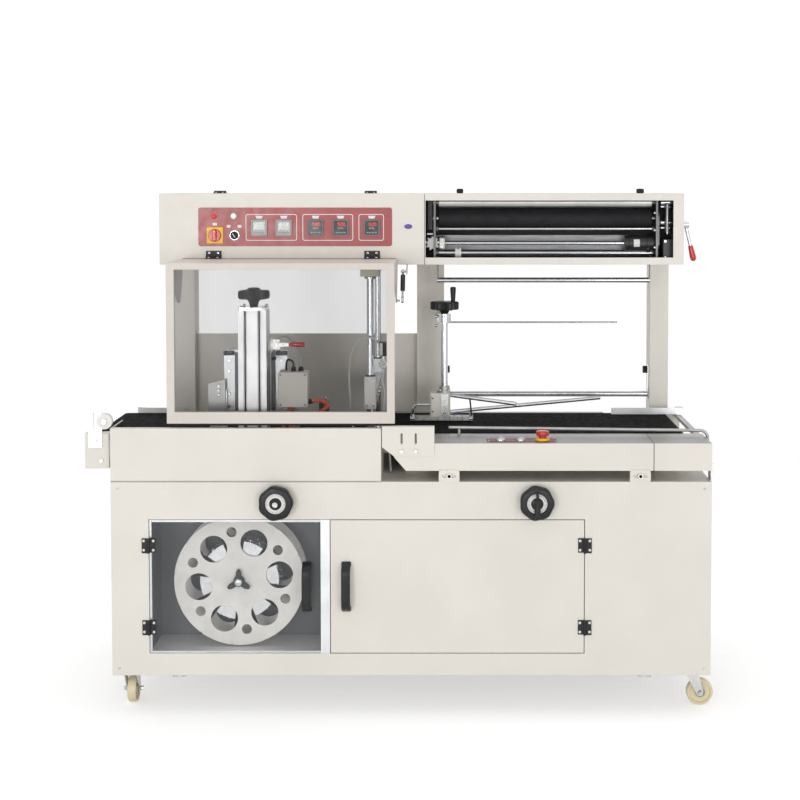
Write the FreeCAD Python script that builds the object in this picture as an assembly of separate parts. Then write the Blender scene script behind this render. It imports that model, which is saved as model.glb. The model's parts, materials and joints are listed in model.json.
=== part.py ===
# Side sealer: a film packaging machine on a caster base, built from separate sub-parts.
# Millimetres. X runs along the conveyors from the middle of the base, Y goes back from
# the front of the base, and Z goes up from the floor.
import FreeCAD, Part
import math
import os

Vector = FreeCAD.Vector
X_AXIS = Vector(1, 0, 0)
Y_AXIS = Vector(0, 1, 0)
Z_AXIS = Vector(0, 0, 1)

# Running clearances
FIT_GAP = 0.3

# Base cabinet
BASE_WIDTH = 1680.0
BASE_DEPTH = 740.0
BASE_HEIGHT = 548.0
SHEET = 3.0
THIN_SHEET = 2.0
BAY_INSET = 105.0
BAY_WIDTH = 1221.0
BAY_RISE = 62.0
BAY_HEIGHT = 380.0
MULLION_OFFSET = 481.0
MULLION_WIDTH = 26.0
MULLION_DEPTH = 20.0
LOUVRE_WIDTH = 120.0
LOUVRE_HEIGHT = 8.0
LOUVRE_PITCH = 24.0
LOUVRE_COUNT = 6

# Casters and levelling feet
CASTER_HEIGHT = 110.0
WHEEL_DIAMETER = 75.0
WHEEL_TREAD = 24.0
WHEEL_HUB = 30.0
CASTER_TRAIL = 24.0
CASTER_INSET = 37.0
CASTER_RACE = 40.0
CASTER_PLATE = 76.0
AXLE_DIAMETER = 8.0
KINGPIN_DIAMETER = 10.0
FOOT_X_INSET = 178.0
FOOT_PAD_DIAMETER = 42.0
FOOT_PAD_THICKNESS = 9.0
FOOT_STEM_DIAMETER = 16.0
FOOT_DROP = 20.0

# Doors and their pulls
DOOR_GAP = 2.0
WINDOW_THICKNESS = 6.0
DOOR_THICKNESS = 18.0
HINGE_HEIGHT = 42.0
HINGE_WIDTH = 38.0
HINGE_SPREAD = 232.0
HINGE_LEAF = 2.5
KNUCKLE_DIAMETER = 8.0
HINGE_PIN_DIAMETER = 4.0
PULL_HEIGHT = 141.0
PULL_WIDTH = 27.0
PULL_REACH = 38.0
PULL_BAR = 12.0
PULL_INSET = 36.0

# Scrap winder in the left bay
REEL_BAY_DEPTH = 170.0
REEL_DIAMETER = 370.0
REEL_INSET = 244.0
REEL_Z = 362.0
REEL_FRONT_Y = 60.0
REEL_WIDTH = 90.0
REEL_FLANGE = 4.0
REEL_HUB_DIAMETER = 60.0
REEL_WINDOWS = 6
REEL_WINDOW_DIAMETER = 77.0
REEL_WINDOW_RADIUS = 116.0
REEL_WINDOW_TURN = 8.5
REEL_HOLE_DIAMETER = 28.6
REEL_HOLE_RADIUS = 141.0
REEL_HOLE_TURN = 38.5
REEL_SHAFT_DIAMETER = 16.0
REEL_MOTOR_DIAMETER = 90.0
REEL_MOTOR_LENGTH = 140.0
REEL_KNOB_ARM = 36.0
REEL_KNOB_ARM_WIDTH = 15.0
REEL_KNOB_HUB = 30.0
REEL_KNOB_DEPTH = 18.0

# Handwheels above the doors
OUTFEED_WHEEL_X = -375.0
INFEED_WHEEL_X = 350.0
HANDWHEEL_DROP = 54.0
HANDWHEEL_DIAMETER = 98.0
HANDWHEEL_RIM = 14.0
HANDWHEEL_HUB = 34.0
HANDWHEEL_STANDOFF = 14.0
HANDWHEEL_DEPTH = 30.0
HANDWHEEL_SHAFT = 12.0
CRANK_OFFSET = 26.0
CRANK_GRIP_DIAMETER = 16.0
CRANK_GRIP_LENGTH = 52.0
CRANK_EYE_DIAMETER = 18.0
CRANK_EYE_THICKNESS = 7.0
CRANK_PIN_DIAMETER = 5.0

# Conveyors
BELT_RISE = 110.0
BELT_FRONT = 165.0
BELT_WIDTH = 365.0
BELT_THICKNESS = 2.0
BELT_NOSE_DIAMETER = 50.0
OUTFEED_OVERHANG = 92.0
OUTFEED_RIGHT = -150.0
INFEED_LEFT = -90.0
INFEED_INSET = 40.0
SIDE_PLATE = 6.0
SIDE_PLATE_GAP = 2.0
ROLLER_JOURNAL = 12.0
BELT_SUPPORT_WIDTH = 60.0
REAR_RAIL_DEPTH = 18.0

# Left station housing
HOUSING_RIGHT = -84.0
HOUSING_SEAM = 4.0
HOUSING_HEIGHT = 146.0
HOUSING_DEPTH = 150.0
HOUSING_FLANGE = 20.0

# Trim bracket and pulley on the left end
BRACKET_OVERHANG = 80.0
BRACKET_WIDTH = 67.0
BRACKET_RISE = 30.0
BRACKET_HEIGHT = 99.0
BRACKET_DEPTH = 36.0
BRACKET_Y = 40.0
BRACKET_PLATE_WIDTH = 39.0
BRACKET_PLATE_HEIGHT = 112.0
BRACKET_SLOT_LENGTH = 46.0
BRACKET_SLOT_WIDTH = 9.0
PULLEY_DIAMETER = 44.0
PULLEY_WIDTH = 14.0
PULLEY_RISE = 56.0
PULLEY_PIN = 8.0

# Infeed covers, control strip and push buttons
COVER_LEFT = -48.0
COVER_END_WIDTH = 162.0
COVER_DROP = 77.0
COVER_SLANT = 34.0
COVER_SLANT_HEIGHT = 40.0
END_COVER_SEAM = 2.0
TAB_WIDTH = 58.0
TAB_HEIGHT = 34.0
TAB_LEFT = 77.0
TAB_RIGHT = 611.0
TAB_THICKNESS = 5.0
TAB_SLOT_LENGTH = 39.0
TAB_SLOT_WIDTH = 9.0
STRIP_LEFT = 212.0
STRIP_WIDTH = 197.0
STRIP_FRONT = 20.0
STRIP_DEPTH = 56.0
STRIP_THICKNESS = 1.5
START_BUTTON_X = 251.0
STOP_BUTTON_X = 308.0
EMERGENCY_STOP_X = 370.0
BUTTON_BEZEL_DIAMETER = 28.0
BUTTON_CAP_DIAMETER = 19.0
BUTTON_BEZEL_HEIGHT = 5.0
BUTTON_CAP_PROUD = 4.0
STOP_CAP_DIAMETER = 38.0
STOP_CAP_HEIGHT = 15.0
STOP_COLLAR_DIAMETER = 42.0
STOP_COLLAR_HEIGHT = 6.0
STOP_STEM_DIAMETER = 20.0
STOP_STEM_HEIGHT = 9.0
STOP_TRAVEL = 5.0

# Adjusting plate in front of the jaw
ADJUST_LEFT = -81.0
ADJUST_WIDTH = 146.0
ADJUST_BOTTOM_RISE = 72.0
ADJUST_HEIGHT = 84.0
ADJUST_THICKNESS = 4.0
ADJUST_SLANT = 26.0
ADJUST_FLANGE = 14.0
ADJUST_SLOT_WIDTH = 6.0
ADJUST_SLOT_LENGTH = 25.0
ADJUST_SLOT_X = (-26.5, 13.0)
BOLT_DIAMETER = 12.0
BOLT_HEIGHT = 5.0
TAB_BOLT_DIAMETER = 17.0

# Guide rail, rear fence and end bars at the infeed
GUIDE_DIAMETER = 9.0
GUIDE_START = (105.0, 148.0)
GUIDE_END_Y = 120.0
GUIDE_RISE = 16.0
GUIDE_OUTSET = 9.0
GUIDE_DROP = 45.0
GUIDE_BEND = 22.0
GUIDE_POST_X = 135.0
GUIDE_BLOCK = 18.0
FENCE_LENGTH = 226.0
FENCE_HEIGHT = 20.0
FENCE_THICKNESS = 5.0
FENCE_INSET = 40.0
FENCE_LIFT = 2.0
END_BAR_WIDTH = 16.0
END_BAR_THICKNESS = 10.0
SIDE_BRACKET_WIDTH = 40.0
SIDE_BRACKET_DROP = 56.0
SIDE_BRACKET_RISE = 42.0
OUTFEED_GUIDE_LEFT = -880.0
OUTFEED_GUIDE_LENGTH = 150.0
OUTFEED_GUIDE_HEIGHT = 16.0

# Rear columns and screen
COLUMN_FRONT = 560.0
COLUMN_DEPTH = 80.0
COLUMN_HEIGHT = 593.0
COLUMN_WALL = 4.0
LEFT_COLUMN_INSET = 54.0
LEFT_COLUMN_WIDTH = 85.0
MIDDLE_COLUMN_X = 4.0
MIDDLE_COLUMN_WIDTH = 86.0
RIGHT_COLUMN_INSET = 97.0
RIGHT_COLUMN_WIDTH = 58.0
SCREEN_RISE = 122.0
SCREEN_HEIGHT = 233.0
SCREEN_INSET = 40.0

# Control box and roller box
BOX_LEFT_INSET = 88.0
BOX_SPLIT = 33.0
BOX_RIGHT_INSET = 39.0
BOX_FRONT = 270.0
BOX_DEPTH = 400.0
BOX_HEIGHT = 211.0
LID_RIM = 22.0
LID_STRIP = 26.0
LID_HINGE_X = (-575.0, -127.0)
LID_HINGE_WIDTH = 36.0
ROLLER_BOX_FLANGE = 21.0
ROLLER_BOX_SIDE_FLANGE = 31.0
BUMPER_LENGTH = 20.0
BUMPER_DEPTH = 22.0
BUMPER_HEIGHT = 14.0
BUMPER_X = (138.0, 673.0)

# Control panel
PANEL_LEFT = -636.0
PANEL_WIDTH = 573.0
PANEL_RISE = 55.0
PANEL_HEIGHT = 114.0
CONTROLLER_SIZE = 48.0
CONTROLLER_PROUD = 7.0
CONTROLLER_BODY = 60.0
CONTROLLER_LIP = 2.0
CONTROLLER_FRAME = 4.5
CONTROLLER_X = (-456.0, -383.0, -289.0, -215.0, -123.0)
CONTROLLER_RISE = 109.6
LAMP_X = (-589.0, -531.0)
LAMP_RISE = 144.0
LAMP_DIAMETER = 22.0
LAMP_PROUD = 12.0
SWITCH_RISE = 87.0
MAIN_SWITCH_X = -587.0
MAIN_SWITCH_PLATE = 48.0
MAIN_SWITCH_DIAMETER = 38.0
SELECTOR_X = -529.0
SELECTOR_DIAMETER = 25.0
SWITCH_PLATE_THICKNESS = 3.0
SWITCH_KNOB_DEPTH = 16.0
SWITCH_GRIP_WIDTH = 9.0
SWITCH_SHAFT = 7.0

# Rollers and film drive in the roller box
BEARING_PLATE = 6.0
LEFT_BEARING_X = 60.0
RIGHT_BEARING_INSET = 79.0
BEARING_PLATE_FRONT = 296.0
BEARING_PLATE_DEPTH = 124.0
ROLLER_Y = 340.0
RUBBER_ROLLER_RISE = 136.0
RUBBER_ROLLER_DIAMETER = 54.0
NIP_ROLLER_DIAMETER = 40.0
ROLLER_GAP = 1.0
ROLLER_END_GAP = 8.0
JOURNAL_DIAMETER = 14.0
DRIVE_SHAFT_RISE = 61.0
DRIVE_SHAFT_DIAMETER = 12.0
DRIVE_MOTOR_DIAMETER = 48.0
DRIVE_MOTOR_LENGTH = 88.0
LOWER_ROD_RISE = 32.0
LOWER_ROD_DIAMETER = 12.0
UPPER_ROD_RISE = 105.0
UPPER_ROD_DIAMETER = 8.0
ROD_PULLEY_DIAMETER = 33.0
ROD_PULLEY_WIDTH = 18.0
ROD_PULLEY_X = 133.0
SPROCKET_DIAMETER = 36.0
CHAIN_WIDTH = 6.0
CHAIN_THICKNESS = 5.0
CHAIN_OFFSET = 9.0
BACK_PLATE_RISE = 39.0
BACK_PLATE_HEIGHT = 46.0
BACK_PLATE_Y = 372.0

# Nip lever on the right side of the roller box
LEVER_RISE = 118.0
LEVER_Y = 330.0
LEVER_HUB_DIAMETER = 22.0
LEVER_HUB_LENGTH = 24.0
LEVER_SHAFT_DIAMETER = 10.0
LEVER_TILT = 13.5
LEVER_ARM = 66.0
LEVER_GRIP_LENGTH = 47.0
LEVER_GRIP_TOP = 14.0
LEVER_GRIP_END = 19.0

# Dancer, lower guide roller and film rod
DANCER_Y = 400.0
DANCER_PIVOT_RISE = 79.0
DANCER_ARM = 133.0
DANCER_BAR_DIAMETER = 16.0
DANCER_ARM_WIDTH = 14.0
DANCER_ARM_THICKNESS = 5.0
DANCER_PIN = 8.0
DANCER_SWING = 15.0
DANCER_SLOT_GAP = 10.0
GUIDE_ROLLER_RISE = 162.0
GUIDE_ROLLER_DIAMETER = 18.0
GUIDE_HANGER_RISE = 241.0
GUIDE_HANGER_WIDTH = 24.0
GUIDE_HANGER_THICKNESS = 4.0
STAR_KNOB_DIAMETER = 24.0
STAR_KNOB_DEPTH = 14.0
FILM_ROD_DIAMETER = 6.0
FILM_ROD_RISE = 392.0
FILM_ROD_LENGTH = 553.0

# Film inverting head and its pole
POLE_X = 92.0
POLE_Y = 380.0
POLE_DIAMETER = 20.0
POLE_BOTTOM_RISE = 22.0
POLE_TOP_RISE = 322.0
COLLAR_DIAMETER = 40.0
COLLAR_HEIGHT = 26.0
ARM_WIDTH = 24.0
ARM_THICKNESS = 14.0
CRANK_WHEEL_DIAMETER = 88.0
CRANK_WHEEL_LOBES = 3
CRANK_WHEEL_HUB = 26.0
CRANK_WHEEL_HEIGHT = 16.0
CRANK_SPINDLE_DIAMETER = 10.0
CRANK_SPINDLE_LENGTH = 20.0
CRANK_HANDLE_DIAMETER = 18.0
CRANK_HANDLE_LENGTH = 46.0
HEAD_BLOCK_OFFSET = 14.0
HOOP_REACH = 96.0
HOOP_HEIGHT = 34.0
HOOP_ROOT = 5.5
HOOP_DIAMETER = 8.0
HOOP_BEND = 14.0
HEAD_BLOCK_WIDTH = 60.0
HEAD_BLOCK_DEPTH = 40.0
HEAD_BLOCK_HEIGHT = 72.0
HEAD_FLANGE_DIAMETER = 46.0
HEAD_FLANGE_HEIGHT = 20.0
HEAD_LIFT = 3.0
BASE_RAIL_LENGTH = 192.0
BASE_RAIL_DEPTH = 24.0
BASE_RAIL_HEIGHT = 12.0
TURN_ROD_DIAMETER = 12.0
TURN_ROD_LONG = (470.0, 108.0, 25.0)
TURN_ROD_SHORT = (190.0, -62.0, -30.0)

# Hood, its hinges and its gas struts
HOOD_LEFT = -683.0
HOOD_RIGHT = -46.0
HOOD_FRONT = 10.0
HOOD_GAP = 12.0
HOOD_POST = 22.0
HOOD_TOP_RAIL = 18.0
HOOD_BOTTOM_RAIL = 32.0
HOOD_FRAME_DEPTH = 16.0
HOOD_SHEET = 3.0
HOOD_GUSSET = 110.0
HOOD_PANE = 4.0
HOOD_SEAL = 6.0
HOOD_TOP_RISE = 18.0
HOOD_HINGE_X = (-591.0, -122.0)
HOOD_HINGE_WIDTH = 46.0
STRUT_OUTSET = 16.0
STRUT_DIAMETER = 14.0
STRUT_ROD_DIAMETER = 6.0
STRUT_TOP = (250.0, -19.0)
STRUT_PIN = (200.0, -101.0)
STRUT_EYE = 16.0
STRUT_PIN_DIAMETER = 7.0
STRUT_BODY_SHARE = 0.72

# Seal station under the hood
SEAL_COLUMN_X = -491.0
SEAL_COLUMN_SIZE = 80.0
SEAL_COLUMN_HEIGHT = 474.0
SEAL_SLOT_WIDTH = 10.0
SEAL_SLOT_DEPTH = 9.0
SEAL_CAP_HEIGHT = 8.0
SEAL_KNOB_DIAMETER = 92.0
SEAL_KNOB_STEM = 21.0
SEAL_KNOB_HEIGHT = 26.0
SEAL_KNOB_ARM_WIDTH = 22.0
SEAL_KNOB_BOSS = 7.0
SEAL_KNOB_HUB = 36.0
SEAL_KNOB_LOBES = 6
SEAL_SCREW_DIAMETER = 14.0
SEAL_SCREW_DEPTH = 60.0
CARRIAGE_WIDTH = 183.0
CARRIAGE_LEFT = -544.0
CARRIAGE_TOP_RISE = 352.0
CARRIAGE_HEIGHT = 180.0
CARRIAGE_PLATE = 12.0
CARRIAGE_GAP = 4.0
CARRIAGE_TRAVEL = 40.0
SEAL_HEAD_WIDTH = 120.0
SEAL_HEAD_DEPTH = 44.0
SEAL_HEAD_HEIGHT = 46.0
SEAL_HEAD_LIFT = 6.0
CLAMP_X = -388.0
CLAMP_RISE = 373.0
CLAMP_ARM = 46.0
CLAMP_GRIP_LENGTH = 46.0
CLAMP_GRIP_DIAMETER = 15.0
CLAMP_BAR = 8.0
CLAMP_PIN = 7.0
TERMINAL_LEFT = -381.0
TERMINAL_WIDTH = 85.0
TERMINAL_FRONT = 84.0
TERMINAL_DEPTH = 48.0
TERMINAL_RISE = 196.0
TERMINAL_HEIGHT = 101.0
GLAND_DIAMETER = 20.0
GLAND_HEIGHT = 22.0
HOSE_DIAMETER = 10.0
HOSE_BEND = 40.0
HOSE_STARTS = (-640.0, -614.0)
HOSE_Y = 40.0
HOSE_PITCH = 15.0
HOSE_CREST = 34.0
GUSSET_LEFT = -588.0
GUSSET_WIDTH = 54.0
GUSSET_HEIGHT = 88.0
CONNECTOR_SIZE = (28.0, 24.0, 46.0)
CONNECTOR_X = -268.0

# Cross jaw between the conveyors
JAW_X = -120.0
JAW_FRONT_Y = 120.0
JAW_REAR_Y = 549.0
JAW_POST_DIAMETER = 20.0
JAW_POST_RISE = 568.0
JAW_TOP_BLOCK = (54.0, 44.0, 20.0)
JAW_BAR_WIDTH = 32.0
JAW_BAR_HEIGHT = 40.0
JAW_FACE_WIDTH = 10.0
JAW_FACE_HEIGHT = 8.0
JAW_LOWER_DROP = 4.0
JAW_BEARING_RISE = 188.0
JAW_BEARING_HEIGHT = 93.0
JAW_BEARING_WIDTH = 33.0
VALVE_STRIP = 5.0
VALVE_SIZE = (20.0, 30.0, 40.0)
VALVE_RISE = 360.0

# Places worked out from the driving dimensions
BASE_LEFT = -BASE_WIDTH / 2
BASE_RIGHT = BASE_WIDTH / 2
BASE_BOTTOM = CASTER_HEIGHT
BASE_TOP = BASE_BOTTOM + BASE_HEIGHT
BAY_LEFT = BASE_LEFT + BAY_INSET
REEL_X = BAY_LEFT + REEL_INSET
OUTFEED_LEFT = BASE_LEFT - OUTFEED_OVERHANG
INFEED_RIGHT = BASE_RIGHT - INFEED_INSET
BRACKET_LEFT = BASE_LEFT - BRACKET_OVERHANG
COVER_SEAM_X = BASE_RIGHT - COVER_END_WIDTH
FENCE_LEFT = BASE_RIGHT - FENCE_LENGTH
LEFT_COLUMN_X = BASE_LEFT + LEFT_COLUMN_INSET
RIGHT_COLUMN_X = BASE_RIGHT - RIGHT_COLUMN_INSET
BOX_LEFT = BASE_LEFT + BOX_LEFT_INSET
BOX_RIGHT = BASE_RIGHT - BOX_RIGHT_INSET
RIGHT_BEARING_X = BOX_RIGHT - RIGHT_BEARING_INSET
BAY_RIGHT = BAY_LEFT + BAY_WIDTH
BAY_BOTTOM = BASE_BOTTOM + BAY_RISE
BAY_TOP = BAY_BOTTOM + BAY_HEIGHT
MULLION_LEFT = BAY_LEFT + MULLION_OFFSET
MULLION_RIGHT = MULLION_LEFT + MULLION_WIDTH
HINGE_AXIS_Y = -KNUCKLE_DIAMETER / 2
HANDWHEEL_Z = BASE_TOP - HANDWHEEL_DROP
BELT_TOP = BASE_TOP + BELT_RISE
BELT_BACK = BELT_FRONT + BELT_WIDTH
BELT_AXIS_Z = BELT_TOP - BELT_NOSE_DIAMETER / 2
HOUSING_BOTTOM = BASE_TOP + HOUSING_SEAM
HOUSING_TOP = HOUSING_BOTTOM + HOUSING_HEIGHT
BRACKET_BOTTOM = BASE_TOP + BRACKET_RISE
BRACKET_RIGHT = BRACKET_LEFT + BRACKET_WIDTH
BRACKET_TOP = BRACKET_BOTTOM + BRACKET_HEIGHT
PULLEY_X = BRACKET_RIGHT - PULLEY_PIN
PULLEY_Z = BELT_TOP + PULLEY_RISE
COVER_TOP = BELT_TOP - BELT_THICKNESS
COVER_BOTTOM = COVER_TOP - COVER_DROP
COVER_BACK = BELT_FRONT - SIDE_PLATE_GAP - SIDE_PLATE
STRIP_TOP = COVER_TOP + STRIP_THICKNESS
STRIP_Y = STRIP_FRONT + STRIP_DEPTH / 2
COLUMN_TOP = BASE_TOP + COLUMN_HEIGHT
BOX_BOTTOM = COLUMN_TOP
BOX_TOP = BOX_BOTTOM + BOX_HEIGHT
BOX_BACK = BOX_FRONT + BOX_DEPTH
PANEL_FRONT = BOX_FRONT - THIN_SHEET
PANEL_BOTTOM = BOX_BOTTOM + PANEL_RISE
LID_AXIS_Y = BOX_FRONT + LID_STRIP
LID_AXIS_Z = BOX_TOP + KNUCKLE_DIAMETER / 2
RUBBER_ROLLER_Z = BOX_BOTTOM + RUBBER_ROLLER_RISE
NIP_ROLLER_Z = RUBBER_ROLLER_Z + (RUBBER_ROLLER_DIAMETER + NIP_ROLLER_DIAMETER) / 2 + ROLLER_GAP
DRIVE_SHAFT_Z = BOX_BOTTOM + DRIVE_SHAFT_RISE
LEVER_Z = BOX_BOTTOM + LEVER_RISE
DANCER_PIVOT_Z = BOX_BOTTOM + DANCER_PIVOT_RISE
DANCER_BAR_Z = DANCER_PIVOT_Z - DANCER_ARM
GUIDE_ROLLER_Y = COLUMN_FRONT + 30.0
GUIDE_ROLLER_Z = BASE_TOP + GUIDE_ROLLER_RISE
HOOD_BOTTOM = HOUSING_TOP + HOOD_GAP
HOOD_TOP = BOX_BOTTOM + HOOD_TOP_RISE
HOOD_PIVOT_Y = BOX_FRONT - KNUCKLE_DIAMETER / 2
HOOD_PIVOT_Z = HOOD_TOP + KNUCKLE_DIAMETER / 2
HOOD_BACK = HOOD_PIVOT_Y
STRUT_TOP_Z = BOX_BOTTOM + STRUT_TOP[1]
STRUT_PIN_Z = BOX_BOTTOM + STRUT_PIN[1]
SEAL_COLUMN_TOP = BASE_TOP + SEAL_COLUMN_HEIGHT
SEAL_COLUMN_BACK = HOUSING_DEPTH - SHEET
SEAL_COLUMN_FRONT = SEAL_COLUMN_BACK - SEAL_COLUMN_SIZE
SEAL_COLUMN_MIDDLE = SEAL_COLUMN_X + SEAL_COLUMN_SIZE / 2
SEAL_KNOB_Z = SEAL_COLUMN_TOP + SEAL_CAP_HEIGHT + FIT_GAP
CARRIAGE_TOP = BASE_TOP + CARRIAGE_TOP_RISE
CARRIAGE_FRONT = SEAL_COLUMN_BACK + CARRIAGE_GAP
CLAMP_Z = BASE_TOP + CLAMP_RISE
CLAMP_Y = SEAL_COLUMN_FRONT + SEAL_COLUMN_SIZE / 2
JAW_TOP = BASE_TOP + JAW_POST_RISE
JAW_BEARING_BOTTOM = BASE_TOP + JAW_BEARING_RISE
POLE_BOTTOM = BELT_TOP + POLE_BOTTOM_RISE
POLE_TOP = BELT_TOP + POLE_TOP_RISE
HEAD_BOTTOM = BELT_TOP + HEAD_LIFT


def block(x, y, z):
    """A box from (low, high) pairs along X, Y and Z."""
    return Part.makeBox(x[1] - x[0], y[1] - y[0], z[1] - z[0], Vector(x[0], y[0], z[0]))


def centred(middle, size):
    """A (low, high) pair of the given size round a middle."""
    return (middle - size / 2, middle + size / 2)


def onward(low, size):
    """A (low, high) pair that starts at low."""
    return (low, low + size)


def rod(start, end, diameter):
    """A round bar between two points."""
    first = Vector(*start)
    along = Vector(*end) - first
    return Part.makeCylinder(diameter / 2, along.Length, first, along)


def rod_x(x, y, z, diameter):
    """A round bar along X between the pair x."""
    return rod((x[0], y, z), (x[1], y, z), diameter)


def rod_y(x, y, z, diameter):
    """A round bar along Y between the pair y."""
    return rod((x, y[0], z), (x, y[1], z), diameter)


def rod_z(x, y, z, diameter):
    """A round bar along Z between the pair z."""
    return rod((x, y, z[0]), (x, y, z[1]), diameter)


def prism(corners, travel):
    """A flat outline of 3-D corners, pushed along travel."""
    points = [Vector(*corner) for corner in corners]
    face = Part.Face(Part.makePolygon(points + points[:1]))
    return face.extrude(Vector(*travel))


def prism_x(corners, x):
    """An outline of (y, z) corners, pushed along X between the pair x."""
    return prism([(x[0], y, z) for y, z in corners], (x[1] - x[0], 0, 0))


def prism_y(corners, y):
    """An outline of (x, z) corners, pushed along Y between the pair y."""
    return prism([(x, y[0], z) for x, z in corners], (0, y[1] - y[0], 0))


def prism_z(corners, z):
    """An outline of (x, y) corners, pushed along Z between the pair z."""
    return prism([(x, y, z[0]) for x, y in corners], (0, 0, z[1] - z[0]))


def turned(outline, origin, direction):
    """An outline of (radius, height) pairs, turned about an axis through origin."""
    points = [Vector(radius, 0, height) for radius, height in outline]
    face = Part.Face(Part.makePolygon(points + points[:1]))
    solid = face.revolve(Vector(0, 0, 0), Z_AXIS, 360)
    if solid.Volume < 0:
        solid.reverse()
    solid.Placement = FreeCAD.Placement(Vector(*origin), FreeCAD.Rotation(Z_AXIS, direction))
    return solid


def joined(first, *others):
    """The union of solids that touch, with its flat seams removed."""
    return first.fuse(list(others)).removeSplitter()


def without(shape, *cutters):
    """The shape with the cutters taken away."""
    return shape.cut(list(cutters))


def softened(shape, radius, direction):
    """The shape with its straight edges along direction rounded."""
    edges = []
    for edge in shape.Edges:
        if isinstance(edge.Curve, (Part.Line, Part.LineSegment)):
            along = edge.Vertexes[-1].Point - edge.Vertexes[0].Point
            if along.cross(direction).Length < 1e-6:
                edges.append(edge)
    return shape.makeFillet(radius, edges)


def slot_y(x, y, z, width):
    """A round-ended slot cutter through Y, from the point x[0], z[0] to x[1], z[1]."""
    start = Vector(x[0], y[0], z[0])
    end = Vector(x[1], y[0], z[1])
    side = (end - start).normalize().cross(Y_AXIS) * (width / 2)
    corners = [start + side, end + side, end - side, start - side]
    middle = prism([tuple(corner) for corner in corners], (0, y[1] - y[0], 0))
    ends = [rod_y(x[index], y, z[index], width) for index in (0, 1)]
    return joined(middle, *ends)


def bent_rod(points, diameter, bend):
    """A round bar along straight runs that are joined by arcs of the radius bend."""
    points = [Vector(*point) for point in points]
    edges = []
    start = points[0]
    for index in range(1, len(points) - 1):
        corner = points[index]
        back = (points[index - 1] - corner).normalize()
        forward = (points[index + 1] - corner).normalize()
        half_turn = (math.pi - back.getAngle(forward)) / 2
        trim = bend * math.tan(half_turn)
        entry = corner + back * trim
        leave = corner + forward * trim
        inward = (back + forward).normalize()
        middle = corner + inward * (bend / math.cos(half_turn) - bend)
        edges.append(Part.makeLine(start, entry))
        edges.append(Part.Arc(entry, middle, leave).toShape())
        start = leave
    edges.append(Part.makeLine(start, points[-1]))
    path = Part.Wire(edges)
    circle = Part.Wire(Part.makeCircle(diameter / 2, points[0], points[1] - points[0]))
    solid = path.makePipeShell([circle], True, False)
    if solid.Volume < 0:
        solid.reverse()
    return solid


def open_box(x, y, z, wall, open_side):
    """A box of sheet, hollow and open on one side, given as +x, -y, +z and so on."""
    outer = block(x, y, z)
    inner = [[pair[0] + wall, pair[1] - wall] for pair in (x, y, z)]
    axis = "xyz".index(open_side[1])
    if open_side[0] == "+":
        inner[axis][1] += 2 * wall
    else:
        inner[axis][0] -= 2 * wall
    return outer.cut(block(*inner))


def hex_bolt(origin, direction, across, height):
    """A hexagon bolt head that stands on its flat seat."""
    corners = []
    for index in range(6):
        angle = math.radians(60 * index)
        corners.append((across / 2 * math.cos(angle), across / 2 * math.sin(angle)))
    solid = prism_z(corners, (0, height))
    solid.Placement = FreeCAD.Placement(Vector(*origin), FreeCAD.Rotation(Z_AXIS, direction))
    return solid


def lobed_grip(lobes, diameter, core, height, lobe_width):
    """A star grip on the XY plane: a core with round-ended arms."""
    body = rod_z(0, 0, (0, height), core)
    reach = diameter / 2 - lobe_width / 2
    for index in range(lobes):
        turn = 360.0 * index / lobes
        arm = block((0, reach), centred(0, lobe_width), (0, height))
        tip = rod_z(reach, 0, (0, height), lobe_width)
        arm = joined(arm, tip)
        arm.rotate(Vector(0, 0, 0), Z_AXIS, turn)
        body = joined(body, arm)
    return body


def placed(shape, origin, x_direction, y_direction):
    """The shape moved from its own frame to one with the given origin and axes."""
    z_direction = x_direction.cross(y_direction)
    rotation = FreeCAD.Rotation(x_direction, y_direction, z_direction, "XYZ")
    moved = shape.copy()
    moved.Placement = FreeCAD.Placement(Vector(*origin), rotation).multiply(moved.Placement)
    return moved


def hinge_parts(height, width, fold):
    """The fixed and the moving half of a butt hinge about Z, seated on the plane y = radius."""
    radius = KNUCKLE_DIAMETER / 2
    leaf_y = (radius - HINGE_LEAF, radius)
    edge = radius + FIT_GAP
    half = height / 2
    third = height / 6
    pin = rod_z(0, 0, (-half, half), HINGE_PIN_DIAMETER)
    fixed = block((-width / 2, -edge), leaf_y, (-half, half))
    for low, high in ((-half, -third), (third, half)):
        tab = block((-width / 2, 0), leaf_y, (low, high))
        knuckle = rod_z(0, 0, (low, high), KNUCKLE_DIAMETER)
        fixed = joined(fixed, tab, knuckle)
    fixed = joined(fixed, pin)
    middle = (-third + FIT_GAP, third - FIT_GAP)
    moving = block((edge, width / 2), leaf_y, (-half, half))
    tab = block((0, width / 2), leaf_y, middle)
    knuckle = rod_z(0, 0, middle, KNUCKLE_DIAMETER)
    bore = rod_z(0, 0, (-half, half), HINGE_PIN_DIAMETER + 2 * FIT_GAP)
    moving = without(joined(moving, tab, knuckle), bore)
    moving.rotate(Vector(0, 0, 0), Z_AXIS, fold)
    return fixed, moving


def door_hinges(axis_x, leaf_direction):
    """Both hinges of a door: the fixed halves and the halves on the door."""
    centre_z = (BAY_BOTTOM + BAY_TOP) / 2
    fixed_halves, moving_halves = [], []
    for z in centred(centre_z, HINGE_SPREAD):
        fixed, moving = hinge_parts(HINGE_HEIGHT, HINGE_WIDTH, 0)
        origin = (axis_x, HINGE_AXIS_Y, z)
        fixed_halves.append(placed(fixed, origin, leaf_direction, Y_AXIS))
        moving_halves.append(placed(moving, origin, leaf_direction, Y_AXIS))
    return fixed_halves, moving_halves


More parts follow.
